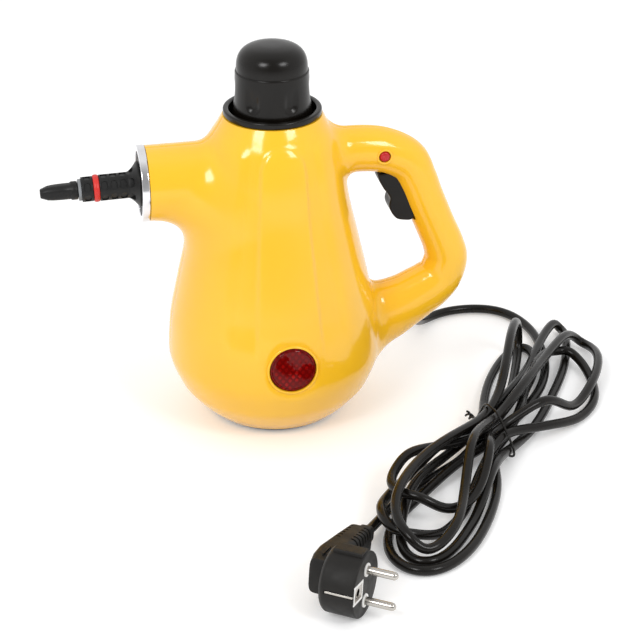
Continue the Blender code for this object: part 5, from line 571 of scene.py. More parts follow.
def body_distance(x, y, z):
    """Distance to the pear with its panels."""
    radius = body_radius(z)
    slope = (body_radius(z + CLEAR) - body_radius(z - CLEAR)) / (2.0 * CLEAR)
    across = x - body_axis(z)
    depth = groove_depth(across, y, z, radius)
    return (np.hypot(across, y) - radius + depth) / np.sqrt(1.0 + slope ** 2)


def horn_distance(x, y, z):
    """Distance to the nozzle horn."""
    radius = HORN_RADIUS + HORN_FLARE * rise(x, HORN_MOUTH, 0.0)
    beyond = np.maximum(x - HORN_ROOT, 0.0)
    return np.sqrt(beyond ** 2 + y ** 2 + (z - HORN_AXIS) ** 2) - radius


def handle_line():
    """Centre line of the handle, with its half widths, as rows of x, z, width, depth."""
    shares = np.array(HANDLE_PATH_SHARES)
    keys = shares * np.array((HANDLE_REACH, BODY_TOP, GRIP_HALF_WIDTH, GRIP_HALF_DEPTH))
    return through(keys, HANDLE_PATH_STEPS * len(keys), 2)


def handle_distance(x, y, z):
    """Distance to the bent handle of oval section."""
    line = HANDLE_LINE
    start = line[:-1]
    reach = np.diff(line, axis=0)
    span = (reach[:, :2] ** 2).sum(axis=1)
    best = np.full(x.shape, np.inf)
    width = np.zeros(x.shape)
    depth = np.zeros(x.shape)
    for index in range(len(start)):
        dx = x - start[index, 0]
        dz = z - start[index, 1]
        share = np.clip((dx * reach[index, 0] + dz * reach[index, 1]) / span[index], 0.0, 1.0)
        apart = np.hypot(dx - share * reach[index, 0], dz - share * reach[index, 1])
        nearer = apart < best
        best = np.where(nearer, apart, best)
        width = np.where(nearer, start[index, 2] + share * reach[index, 2], width)
        depth = np.where(nearer, start[index, 3] + share * reach[index, 3], depth)
    away = np.hypot(best, y)
    oval = np.sqrt((best / width) ** 2 + (y / depth) ** 2)
    return away - np.where(oval > 0, away / np.maximum(oval, MM), 0.0) - np.where(oval > 0, 0.0, width)


def melt(one, other, blend):
    """The nearer of two distances, rounded where they are alike."""
    near = np.maximum(blend - np.abs(one - other), 0.0) / blend
    return np.minimum(one, other) - near * near * blend / 4.0


def bowl_distance(points):
    """Distance above the shallow dish round the lens."""
    turn = np.array(lens_place().inverted())
    local = points @ turn[:3, :3].T + turn[:3, 3]
    radius = np.hypot(local[:, 0], local[:, 1])
    return local[:, 2] - BOWL_LEVEL - BOWL_RISE * rise(radius, *BOWL_RADII)


def housing_distance(points):
    """Signed distance to the housing's outer surface, negative inside."""
    x, y, z = points[:, 0], points[:, 1], points[:, 2]
    share = rise(z, HORN_AXIS - HORN_RADIUS, HORN_AXIS + HORN_RADIUS)
    blend = HORN_LOW_BLEND + (HORN_TOP_BLEND - HORN_LOW_BLEND) * share
    skin = melt(body_distance(x, y, z), horn_distance(x, y, z), blend)
    low, high = [BODY_TOP * share for share in HANDLE_LOW_FADE_SHARES]
    blend = HANDLE_LOW_BLEND + (HANDLE_BLEND - HANDLE_LOW_BLEND) * rise(z, low, high)
    skin = melt(skin, handle_distance(x, y, z), blend)
    return -melt(-skin, -bowl_distance(points), BOWL_BLEND)


def housing_slope(points):
    """Gradient of the distance, by central differences."""
    step = CLEAR / 6.0
    slope = np.zeros(points.shape)
    for axis in range(3):
        shift = np.zeros(3)
        shift[axis] = step
        slope[:, axis] = housing_distance(points + shift) - housing_distance(points - shift)
    return slope / (2.0 * step)


def settle(points, freedom):
    """Slide points onto the surface, each in the directions that it is free to move."""
    for _ in range(SETTLE_ROUNDS):
        slope = housing_slope(points) * freedom
        value = housing_distance(points)
        step = slope * (value / np.maximum((slope ** 2).sum(axis=1), LEAST_SLOPE))[:, None]
        length = np.linalg.norm(step, axis=1)
        step *= np.minimum(1.0, SETTLE_LIMIT / np.maximum(length, TINY))[:, None]
        points = points - step
    return points


def blend_share(points):
    """How deep a point lies in a fillet, from 0 to 1."""
    x, y, z = points[:, 0], points[:, 1], points[:, 2]
    body = body_distance(x, y, z)
    plain = np.minimum(np.minimum(body, horn_distance(x, y, z)), handle_distance(x, y, z))
    return np.clip((plain - housing_distance(points)) / SLIDE_CLEAR, 0.0, 1.0)


class Cage:
    """Points and quads of the near half of the outer surface."""

    def __init__(self):
        self.points = []
        self.freedom = []
        self.quads = []

    def add(self, x, y, z, free=(1, 1, 1)):
        on_split = y == 0.0
        self.points.append((x, y, z))
        self.freedom.append((free[0], 0 if on_split else free[1], free[2]))
        return len(self.points) - 1

    def strip(self, one, other):
        for index in range(len(one) - 1):
            self.quads.append((one[index], one[index + 1], other[index + 1], other[index]))


def body_grid(cage):
    """Rows and columns of the pear, open where the horn and the handle leave it."""
    last = len(COLUMN_ANGLES) - 1
    gaps = (
        ((HORN_LOW_ROW, HORN_HIGH_ROW), 0, PORT_COLUMNS),
        ((TOP_PORT_LOW_ROW, TOP_PORT_HIGH_ROW), last - PORT_COLUMNS, last),
        ((LOW_PORT_LOW_ROW, LOW_PORT_HIGH_ROW), last - PORT_COLUMNS, last))
    used = set()
    faces = []
    for row in range(len(ROW_SHARES) - 1):
        for column in range(last):
            open_here = False
            for (low, high), first, end in gaps:
                if low <= row < high and first <= column < end:
                    open_here = True
            if open_here:
                continue
            corners = ((row, column), (row, column + 1), (row + 1, column + 1), (row + 1, column))
            faces.append(corners)
            used.update(corners)
    grid = {}
    for row, column in sorted(used):
        height = BODY_FOOT + BODY_HEIGHT * ROW_SHARES[row]
        radius = float(body_radius(height))
        angle = math.radians(COLUMN_ANGLES[column])
        level = row in (0, len(ROW_SHARES) - 1)
        depth = 0.0 if column in (0, last) else -radius * math.cos(angle)
        across = float(body_axis(height)) + radius * math.sin(angle)
        grid[row, column] = cage.add(across, depth, height, (1, 1, 0 if level else 1))
    for corners in faces:
        cage.quads.append(tuple(grid[corner] for corner in corners))
    return grid, last


def port(grid, rows, edge, inner):
    """Edge of an opening in the grid, from its upper to its lower end on the split."""
    low, high = rows
    step = 1 if inner > edge else -1
    path = [grid[high, column] for column in range(edge, inner, step)]
    path += [grid[row, inner] for row in range(high, low, -1)]
    path += [grid[low, column] for column in range(inner, edge - step, -step)]
    return path


def half_ring(cage, centre, outward, width, depth, count, free=(1, 1, 1)):
    """Half an oval ring, from its outer end on the split to its inner end."""
    ring = []
    for step in range(count):
        turn = math.pi * step / (count - 1)
        flat = width * math.cos(turn)
        out = 0.0 if step in (0, count - 1) else -depth * math.sin(turn)
        ring.append(cage.add(centre[0] + flat * outward[0], out, centre[1] + flat * outward[1], free))
    return ring


def bridge(cage, edge, ring):
    """Rings across a fillet, between an opening's edge and the first ring of a limb."""
    before = edge
    for step in range(1, FILLET_RINGS + 1):
        share = step / (FILLET_RINGS + 1.0)
        between = []
        for one, other in zip(edge, ring):
            start = np.array(cage.points[one])
            end = np.array(cage.points[other])
            x, y, z = start + share * (end - start)
            between.append(cage.add(float(x), float(y), float(z)))
        cage.strip(before, between)
        before = between
    cage.strip(before, ring)


def housing_cage():
    """The near half of the outer surface, settled and smoothed in its fillets."""
    cage = Cage()
    grid, last = body_grid(cage)
    edge = port(grid, (HORN_LOW_ROW, HORN_HIGH_ROW), 0, PORT_COLUMNS)
    before = None
    for share in HORN_RING_SHARES:
        place = HORN_MOUTH + share * (HORN_LAST_RING - HORN_MOUTH)
        free = (0, 1, 1) if share == 0.0 else (1, 1, 1)
        ring = half_ring(cage, (place, HORN_AXIS), (0, 1), HORN_RADIUS, HORN_RADIUS, len(edge), free)
        if before:
            cage.strip(before, ring)
        else:
            bridge(cage, edge, ring)
        before = ring
    edge = port(grid, (TOP_PORT_LOW_ROW, TOP_PORT_HIGH_ROW), last, last - PORT_COLUMNS)
    before = None
    final = port(grid, (LOW_PORT_LOW_ROW, LOW_PORT_HIGH_ROW), last, last - PORT_COLUMNS)[::-1]
    steps = len(HANDLE_LINE) - 1
    for stop in np.linspace(*HANDLE_ENDS_SHARES, HANDLE_RINGS):
        index = int(round(stop * steps))
        x, z, width, depth = HANDLE_LINE[index]
        run = HANDLE_LINE[index + 1] - HANDLE_LINE[index - 1]
        size = math.hypot(run[0], run[1])
        outward = (-run[1] / size, run[0] / size)
        ring = half_ring(cage, (x, z), outward, width, depth, len(edge))
        if before:
            cage.strip(before, ring)
        else:
            bridge(cage, edge, ring)
        before = ring
    bridge(cage, final, before)
    return relaxed(cage)


def relaxed(cage):
    """Points on the surface, evened out where parts melt into each other."""
    freedom = np.array(cage.freedom, float)
    points = settle(np.array(cage.points), freedom)
    pairs = set()
    for quad in cage.quads:
        for one, other in zip(quad, quad[1:] + quad[:1]):
            pairs.add((min(one, other), max(one, other)))
    pairs = np.array(sorted(pairs))
    on_split = freedom[:, 1] == 0
    links = []
    for one, other in np.vstack((pairs, pairs[:, ::-1])):
        if not on_split[one] or on_split[other]:
            links.append((one, other))
    links = np.array(links)
    for _ in range(SMOOTHING_ROUNDS):
        total = np.zeros(points.shape)
        count = np.zeros(len(points))
        np.add.at(total, links[:, 0], points[links[:, 1]])
        np.add.at(count, links[:, 0], 1.0)
        middle = total / np.maximum(count, 1.0)[:, None]
        weight = EVENING_SHARE * blend_share(points) * (freedom[:, 0] * freedom[:, 2])
        points = points + weight[:, None] * (middle - points)
        points = settle(points, freedom)
    return points, freedom, cage.quads


def wall_depth(x, z, inset):
    """Distance from the parting plane to a layer of the wall, at a place in that plane."""
    low = 0.0
    high = DEPTH_LIMIT
    for _ in range(SEARCH_ROUNDS):
        middle = (low + high) / 2.0
        inside = housing_distance(np.array([[x, middle, z]]))[0] < -inset
        low, high = (middle, high) if inside else (low, middle)
    return low


def fine_surface():
    """The cage's faces cut small and laid on the surface, with the points that stay on an edge."""
    points, _, quads = housing_cage()
    bm = bmesh.new()
    verts = [bm.verts.new(point) for point in points]
    for quad in quads:
        bm.faces.new([verts[index] for index in quad])
    bmesh.ops.subdivide_edges(bm, edges=bm.edges, cuts=CAGE_CUTS, use_grid_fill=True)
    bm.verts.index_update()
    fine = np.array([vert.co for vert in bm.verts])
    faces = [[vert.index for vert in face.verts] for face in bm.faces]
    bm.free()
    freedom = np.ones(fine.shape)
    freedom[np.abs(fine[:, 1]) < TINY, 1] = 0.0
    freedom[np.abs(fine[:, 0] - HORN_MOUTH) < TINY, 0] = 0.0
    for level in (BODY_FOOT, BODY_TOP):
        freedom[np.abs(fine[:, 2] - level) < TINY, 2] = 0.0
    return settle(fine, freedom), freedom, faces


def shell(surface, side):
    """A closed half shell with a fine parting groove. Side is -1 for the near half and 1 for the far one."""
    points, freedom, faces = surface
    slope = housing_slope(points) * freedom
    slope /= np.maximum(np.linalg.norm(slope, axis=1), TINY)[:, None]
    edge = freedom[:, 1] == 0.0
    outer = points - SEAM_DEPTH * slope * edge[:, None]
    inner = points - WALL * slope
    both = np.vstack((outer, inner))
    both[:, 1] = side * (np.abs(both[:, 1]) + SPLIT_GAP / 2.0)
    count = len(points)
    bm = bmesh.new()
    verts = [bm.verts.new(point) for point in both]
    uses = {}
    for face in faces:
        bm.faces.new([verts[index] for index in face])
        bm.faces.new([verts[index + count] for index in reversed(face)])
        for one, other in zip(face, face[1:] + face[:1]):
            key = (min(one, other), max(one, other))
            uses[key] = uses.get(key, 0) + 1
    for (one, other), times in uses.items():
        if times == 1:
            bm.faces.new((verts[one], verts[other], verts[other + count], verts[one + count]))
    return bm


def rounded(outline, radius, steps=4):
    """A closed outline with its corners rounded, apart from those on the axis."""
    out = []
    count = len(outline)
    for index, point in enumerate(outline):
        here = np.array(point, float)
        if here[0] == 0.0:
            out.append(tuple(here))
            continue
        ends = []
        for other in (outline[index - 1], outline[(index + 1) % count]):
            away = np.array(other, float) - here
            span = max(np.linalg.norm(away), TINY)
            ends.append(here + away / span * min(radius, 0.45 * span))
        for share in np.linspace(0.0, 1.0, steps + 1):
            spot = (1 - share) ** 2 * ends[0] + 2 * share * (1 - share) * here + share ** 2 * ends[1]
            out.append(tuple(spot))
    return out


def turned(bm, profile, sides=LATHE_SIDES, place=None, swell=None):
    """Revolve a closed outline of (radius, height) points. Swell changes a radius by angle and height."""
    place = place or Matrix()
    rings = []
    for radius, height in profile:
        ring = []
        for step in range(1 if radius == 0 else sides):
            turn = 2.0 * math.pi * step / sides
            reach = radius if swell is None else swell(radius, turn, height)
            spot = Vector((reach * math.cos(turn), reach * math.sin(turn), height))
            ring.append(bm.verts.new(place @ spot))
        rings.append(ring)
    spans = len(rings) if profile[0][0] != 0 else len(rings) - 1
    for index in range(spans):
        lower, upper = rings[index], rings[(index + 1) % len(rings)]
        for step in range(sides):
            corners = []
            for ring, turn in ((lower, step), (lower, step + 1), (upper, step + 1), (upper, step)):
                vert = ring[turn % len(ring)]
                if vert not in corners:
                    corners.append(vert)
            if len(corners) > 2:
                bm.faces.new(corners)
    return bm


def cylinder(bm, start, end, radius, sides=SMALL_SIDES):
    """A plain cylinder between two points."""
    reach = Vector(end) - Vector(start)
    outline = ((0, 0), (radius, 0), (radius, reach.length), (0, reach.length))
    return turned(bm, outline, sides, along(start, reach))


def prism(bm, outline, low, high):
    """An outline in the XZ plane, drawn out along Y."""
    sides = [[bm.verts.new((x, depth, z)) for x, z in outline] for depth in (low, high)]
    bm.faces.new(sides[0])
    bm.faces.new(reversed(sides[1]))
    for index in range(len(outline)):
        after = (index + 1) % len(outline)
        bm.faces.new((sides[0][index], sides[0][after], sides[1][after], sides[1][index]))
    return bm


def solid(name, bm, material, body, replaces=(), sharp=FINE_EDGES):
    """A piece of the object in its place, riding on a body."""
    bmesh.ops.recalc_face_normals(bm, faces=bm.faces)
    mesh = bpy.data.meshes.new(name)
    bm.to_mesh(mesh)
    bm.free()
    mesh.materials.append(material)
    mesh.shade_smooth()
    mesh.set_sharp_from_angle(angle=math.radians(sharp))
    made = bpy.data.objects.new(name, mesh)
    bpy.context.scene.collection.objects.link(made)
    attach(made, body)
    if replaces:
        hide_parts(*replaces)
    return made


def carve(target, bm, operation="DIFFERENCE", sharp=FINE_EDGES):
    """Cut solids from a piece, or join them to it, and keep the result as its mesh."""
    bmesh.ops.recalc_face_normals(bm, faces=bm.faces)
    mesh = bpy.data.meshes.new("cutter")
    bm.to_mesh(mesh)
    bm.free()
    cutter = bpy.data.objects.new("cutter", mesh)
    bpy.context.scene.collection.objects.link(cutter)
    step = target.modifiers.new("carve", "BOOLEAN")
    step.operation = operation
    step.object = cutter
    step.solver = "EXACT"
    depsgraph = bpy.context.evaluated_depsgraph_get()
    fresh = bpy.data.meshes.new_from_object(target.evaluated_get(depsgraph))
    target.modifiers.remove(step)
    target.data = fresh
    bpy.data.objects.remove(cutter)
    fresh.shade_smooth()
    fresh.set_sharp_from_angle(angle=math.radians(sharp))
    return target


class Finish:
    """A procedural finish: node links round one Principled shader."""

    def __init__(self, name, colour, roughness, metallic=0.0):
        self.material = bpy.data.materials.new(name)
        self.material.use_nodes = True
        self.tree = self.material.node_tree
        self.shader = self.tree.nodes["Principled BSDF"]
        self.colour = colour
        self.roughness = roughness
        self.shader.inputs["Base Color"].default_value = (*colour, 1.0)
        self.shader.inputs["Roughness"].default_value = roughness
        self.shader.inputs["Metallic"].default_value = metallic
        self.place = self.node("ShaderNodeTexCoord").outputs["Object"]

    def node(self, kind, **values):
        made = self.tree.nodes.new(kind)
        for key, value in values.items():
            if hasattr(made, key):
                setattr(made, key, value)
            else:
                made.inputs[key].default_value = value
        return made

    def link(self, one, other):
        self.tree.links.new(one, other)

    def noise(self, scale, detail=3.0, stretch=None, rough=0.5):
        """A noise value over the piece, with its grain in waves a metre."""
        made = self.node("ShaderNodeTexNoise", Scale=scale, Detail=detail, Roughness=rough)
        place = self.place
        if stretch:
            mapping = self.node("ShaderNodeMapping")
            mapping.inputs["Scale"].default_value = stretch
            self.link(place, mapping.inputs["Vector"])
            place = mapping.outputs["Vector"]
        self.link(place, made.inputs["Vector"])
        return made.outputs["Fac"]

    def ramp(self, value, low, high, start, end):
        made = self.node("ShaderNodeMapRange")
        for key, number in (("From Min", low), ("From Max", high), ("To Min", start), ("To Max", end)):
            made.inputs[key].default_value = number
        self.link(value, made.inputs["Value"])
        return made.outputs["Result"]

    def vary_colour(self, value, other):
        """Blend the base colour to another one where the value is high."""
        made = self.node("ShaderNodeMix", data_type="RGBA")
        made.inputs[6].default_value = (*self.colour, 1.0)
        made.inputs[7].default_value = (*other, 1.0)
        self.link(value, made.inputs[0])
        self.link(made.outputs[2], self.shader.inputs["Base Color"])
        return self

    def vary_roughness(self, value, low, high):
        self.link(self.ramp(value, 0.3, 0.7, low, high), self.shader.inputs["Roughness"])
        return self

    def bump(self, value, height, strength=1.0):
        """Relief of a real height; several calls stack."""
        made = self.node("ShaderNodeBump", Strength=strength, Distance=height)
        self.link(value, made.inputs["Height"])
        before = self.shader.inputs["Normal"].links
        if before:
            self.link(before[0].from_socket, made.inputs["Normal"])
        self.link(made.outputs["Normal"], self.shader.inputs["Normal"])
        return self

    def gloss(self, weight, roughness):
        self.shader.inputs["Coat Weight"].default_value = weight
        self.shader.inputs["Coat Roughness"].default_value = roughness
        return self


def yellow_finish():
    """Glossy moulded plastic: faint flow marks, a slight ripple and hairline rubs."""
    made = Finish("yellow_gloss", (0.95, 0.53, 0.022), 0.16)
    made.vary_colour(made.ramp(made.noise(14.0, 4.0), 0.35, 0.75, 0.0, 1.0), (0.93, 0.5, 0.018))
    rubs = made.noise(90.0, 6.0, (1.0, 1.0, 7.0))
    made.vary_roughness(rubs, 0.10, 0.2)
    made.bump(made.noise(55.0, 2.0), YELLOW_RIPPLE, 0.25)
    made.bump(made.noise(1500.0, 2.0), YELLOW_GRAIN, 0.25)
    made.gloss(0.2, 0.04)
    return made.material


def black_finish(
        name, colour=(0.006, 0.005, 0.004), rough=(0.3, 0.42), grain=BLACK_GRAIN, scale=2600.0, shine=0.25):
    """Satin black plastic with a fine spark-eroded grain and greyer rubbed patches."""
    made = Finish(name, colour, rough[0])
    worn = made.ramp(made.noise(60.0, 5.0), 0.5, 0.8, 0.0, 0.5)
    made.vary_colour(worn, tuple(2.0 * part for part in colour))
    made.vary_roughness(made.noise(130.0, 4.0), *rough)
    made.bump(made.noise(scale, 2.0), grain, 0.5)
    made.shader.inputs["Specular IOR Level"].default_value = shine
    return made.material


def metal_finish(name, colour, rough, grain=0.0, stretch=None):
    """Bare or plated metal with uneven polish."""
    made = Finish(name, colour, rough[0], 1.0)
    dull = made.ramp(made.noise(120.0, 5.0), 0.45, 0.8, 0.0, 0.6)
    made.vary_colour(dull, tuple(0.8 * part for part in colour))
    made.vary_roughness(made.noise(400.0, 4.0, stretch), *rough)
    if grain:
        made.bump(made.noise(900.0, 4.0, stretch), grain, 0.4)
    return made.material


def rubber_finish(name, colour, rough=(0.45, 0.6)):
    """Even rubber or tinted plastic with a very fine grain."""
    made = Finish(name, colour, rough[0])
    worn = made.ramp(made.noise(200.0, 4.0), 0.4, 0.8, 0.0, 0.6)
    made.vary_colour(worn, tuple(0.75 * part for part in colour))
    made.vary_roughness(made.noise(300.0, 3.0), *rough)
    made.bump(made.noise(3000.0, 2.0), RUBBER_GRAIN, 0.5)
    return made.material


def lens_finish():
    """Red lens with a lattice of small prisms behind its smooth face."""
    made = Finish("red_lens", (0.34, 0.004, 0.003), 0.06)
    made.shader.inputs["Specular IOR Level"].default_value = 0.2
    waves = []
    for lean in (math.radians(40.0), math.radians(-40.0)):
        mapping = made.node("ShaderNodeMapping")
        mapping.inputs["Rotation"].default_value = (0.0, lean, 0.0)
        made.link(made.place, mapping.inputs["Vector"])
        wave = made.node("ShaderNodeTexWave", wave_type="BANDS", bands_direction="X", Scale=95.0)
        made.link(mapping.outputs["Vector"], wave.inputs["Vector"])
        waves.append(wave.outputs["Fac"])
    lattice = made.node("ShaderNodeMath", operation="MULTIPLY")
    made.link(waves[0], lattice.inputs[0])
    made.link(waves[1], lattice.inputs[1])
    patch = made.ramp(made.noise(85.0, 1.0), 0.42, 0.58, 0.25, 1.0)
    shade = made.node("ShaderNodeMath", operation="MULTIPLY")
    made.link(made.ramp(lattice.outputs[0], 0.05, 0.5, 0.0, 1.0), shade.inputs[0])
    made.link(patch, shade.inputs[1])
    made.vary_colour(made.ramp(shade.outputs[0], 0.0, 1.0, 0.8, 0.0), (0.07, 0.0005, 0.0005))
    made.bump(lattice.outputs[0], LENS_PRISMS, 0.15)
    return made.material


FINISHES = {}


def finish(name):
    """One material per finish, made when it is first asked for."""
    makers = {
        "yellow": yellow_finish,
        "black": lambda: black_finish("black_satin"),
        "cap": lambda: black_finish(
            "black_cap", (0.0045, 0.0035, 0.0025), (0.2, 0.26), CAP_GRAIN, shine=0.28),
        "nozzle": lambda: black_finish(
            "black_matt", (0.010, 0.010, 0.010), (0.34, 0.5), NOZZLE_GRAIN, 1900.0),
        "cord": lambda: black_finish(
            "black_sleeve", (0.006, 0.005, 0.004), (0.18, 0.3), SLEEVE_GRAIN, 1500.0),
        "plug": lambda: black_finish("black_plug", (0.010, 0.009, 0.008), (0.42, 0.6), PLUG_GRAIN, 2000.0),
        "grey": lambda: black_finish("grey_washer", (0.23, 0.24, 0.25), (0.4, 0.5)),
        "white": lambda: black_finish("white_insert", (0.80, 0.79, 0.77), (0.35, 0.45)),
        "red": lambda: rubber_finish("red_button", (0.50, 0.008, 0.010), (0.2, 0.3)),
        "red_rubber": lambda: rubber_finish("red_rubber", (0.66, 0.022, 0.015), (0.35, 0.5)),
        "white_rubber": lambda: rubber_finish("white_rubber", (0.6, 0.59, 0.55)),
        "lens": lens_finish,
        "lamp": lambda: rubber_finish("lamp_glass", (0.8, 0.35, 0.2), (0.08, 0.15)),
        "chrome": lambda: metal_finish("chrome_plate", (0.80, 0.80, 0.82), (0.04, 0.1)),
        "steel": lambda: metal_finish("steel_plain", (0.58, 0.57, 0.56), (0.25, 0.42), METAL_GRAIN),
        "pin": lambda: metal_finish(
            "nickel_pin", (0.50, 0.475, 0.44), (0.2, 0.28), PIN_GRAIN, (1.0, 1.0, 6.0)),
        "brass": lambda: metal_finish("brass_turned", (0.70, 0.50, 0.22), (0.22, 0.38), METAL_GRAIN),
        "alloy": lambda: metal_finish("cast_alloy", (0.60, 0.61, 0.62), (0.4, 0.6), CAST_GRAIN)}
    if name not in FINISHES:
        FINISHES[name] = makers[name]()
    return FINISHES[name]


def add_camera():
    """The camera that fits the photograph."""
    data = bpy.data.cameras.new("camera")
    data.sensor_width = CAMERA_SENSOR
    data.lens = CAMERA_LENS
    data.clip_start = CAMERA_NEAR
    data.clip_end = CAMERA_FAR
    camera = bpy.data.objects.new("camera", data)
    camera.location = CAMERA_PLACE
    camera.rotation_euler = CAMERA_TURN
    bpy.context.scene.collection.objects.link(camera)
    bpy.context.scene.camera = camera


def relief_place():
    """Frame at the cord exit, its axis pointing out of the housing."""
    return along(EXIT_POINT, EXIT_DIRECTION)


def waist_ends(index):
    """Upper and lower end of the straight stretch of a pass through the waist."""
    shift = WAIST_SHARES[index] * WAIST_PITCH
    middle = WAIST_CENTRE[0] + WAIST_LEAN * shift
    ends = []
    for side in (1, -1):
        ends.append((middle + side * WAIST_HALF_LENGTH, WAIST_CENTRE[1] + shift, HANK_FLOOR + WAIST_LIFT))
    return ends


def placed(shares):
    """Real places of a row of shares, with its lift if it has one."""
    out = []
    for share in shares:
        lift = share[2] * HANK_SIZE if len(share) > 2 else 0.0
        out.append((share[0] * HANK_SIZE, share[1] * HANK_SIZE, HANK_FLOOR + lift))
    return out


def eased(control, count):
    """Points on a smooth curve, closer together where it bends."""
    fine = through(control, FINE_POINTS)
    hops = np.diff(fine, axis=0)
    length = np.linalg.norm(hops, axis=1)
    heading = hops / length[:, None]
    bend = np.concatenate(([0.0], np.linalg.norm(np.diff(heading, axis=0), axis=1)))
    width = FINE_POINTS // BEND_SPREAD
    bend = np.convolve(bend, np.ones(width) / width, "same")
    run = np.concatenate(([0.0], np.cumsum(length + BEND_WEIGHT * bend)))
    stops = np.linspace(0.0, run[-1], count)
    return np.column_stack([np.interp(stops, run, column) for column in fine.T])


def hank_runs():
    """Flat points of each run: the lead, the loops and the tail, each with its waist ends."""
    runs = [eased(placed(LEAD_SHARES) + waist_ends(0)[:1], END_POINTS)]
    for index, shares in enumerate(LOOP_SHARES):
        side = 1 - index % 2
        first = waist_ends(index)[side]
        last = waist_ends(index + 1)[side]
        runs.append(eased([first] + placed(shares) + [last], LOOP_POINTS + 2))
    runs.append(eased(waist_ends(len(LOOP_SHARES))[1:] + placed(TAIL_SHARES), END_POINTS))
    return runs


def hank_path():
    """Points of the whole hank in the floor frame: laid in order, then settled on each other."""
    runs = hank_runs()
    path = np.vstack(runs)
    counts = np.cumsum([len(run) for run in runs])
    home = path[:, :2].copy()
    ground = path[:, 2].copy()
    order = np.zeros(len(path))
    for index in range(1, len(runs) - 1):
        order[counts[index - 1]:counts[index]] = index
    order[counts[-3] + FOLD_POINT:] = 0.0
    hops = np.linalg.norm(np.diff(home, axis=0), axis=1)
    run = np.concatenate(([0.0], np.cumsum(hops)))
    owner = np.repeat(np.arange(len(path) - 1), FINE_PARTS)
    share = np.tile(np.linspace(0.0, 1.0, FINE_PARTS, endpoint=False), len(path) - 1)
    along_run = run[owner] + share * hops[owner]
    one, other = np.triu_indices(len(owner), 1)
    apart = along_run[other] - along_run[one] > LOOP_SKIP
    one, other = one[apart], other[apart]
    near = np.full(len(one), True)
    reach = CORD_DIAMETER + HANK_GAP
    path[:, 2] += order * reach
    free = np.ones(len(path))
    free[[0, 1, -2, -1]] = 0.0
    for step in range(SETTLING_STEPS):
        loose = step < SETTLING_STEPS - FINAL_STEPS
        if loose:
            path[:, 2] -= SETTLING_DROP
            path[1:-1, 2] += STIFFNESS * (0.5 * (path[:-2, 2] + path[2:, 2]) - path[1:-1, 2])
        shift = (1.0 - HOMING) * (path[:, :2] - home)
        shift[1:-1] += EVENING * (0.5 * (shift[:-2] + shift[2:]) - shift[1:-1])
        path[:, :2] = home + shift
        if step % 10 == 0:
            spots = path[owner] + share[:, None] * (path[owner + 1] - path[owner])
            near = np.linalg.norm(spots[other] - spots[one], axis=1) < 3.0 * reach
            first, second = one[near], other[near]
        for _ in range(2):
            spots = path[owner] + share[:, None] * (path[owner + 1] - path[owner])
            gap = spots[second] - spots[first]
            span = np.maximum(np.linalg.norm(gap, axis=1), CLEAR)
            lack = np.maximum(reach - span, 0.0)
            hit = lack > 0.0
            shove = (gap / span[:, None] * (0.5 * lack)[:, None])[hit]
            move = np.zeros(path.shape)
            weight = np.full(len(path), CLEAR)
            for picked, sign in ((first[hit], -1.0), (second[hit], 1.0)):
                for offset, part in ((0, 1.0 - share[picked]), (1, share[picked])):
                    np.add.at(move, owner[picked] + offset, sign * part[:, None] * shove)
                    np.add.at(weight, owner[picked] + offset, part)
            path += SHOVE * free[:, None] * move / weight[:, None]
            path[:, 2] = np.maximum(path[:, 2], ground)
    cos, sin = math.cos(HANK_AXIS), math.sin(HANK_AXIS)
    x = HANK_WAIST[0] + path[:, 0] * cos - path[:, 1] * sin
    y = HANK_WAIST[1] + path[:, 0] * sin + path[:, 1] * cos
    return np.column_stack((x, y, path[:, 2]))


def hull(corners):
    """Corners of the convex outline round a set of points, against the clock."""
    ordered = sorted(corners)
    outline = []
    for sweep in (ordered, ordered[::-1]):
        chain = []
        for point in sweep:
            while len(chain) > 1:
                one, other = chain[-2], chain[-1]
                left = (other[0] - one[0]) * (point[1] - one[1]) - (other[1] - one[1]) * (point[0] - one[0])
                if left > 0.0:
                    break
                chain.pop()
            chain.append(point)
        outline += chain[:-1]
    return outline


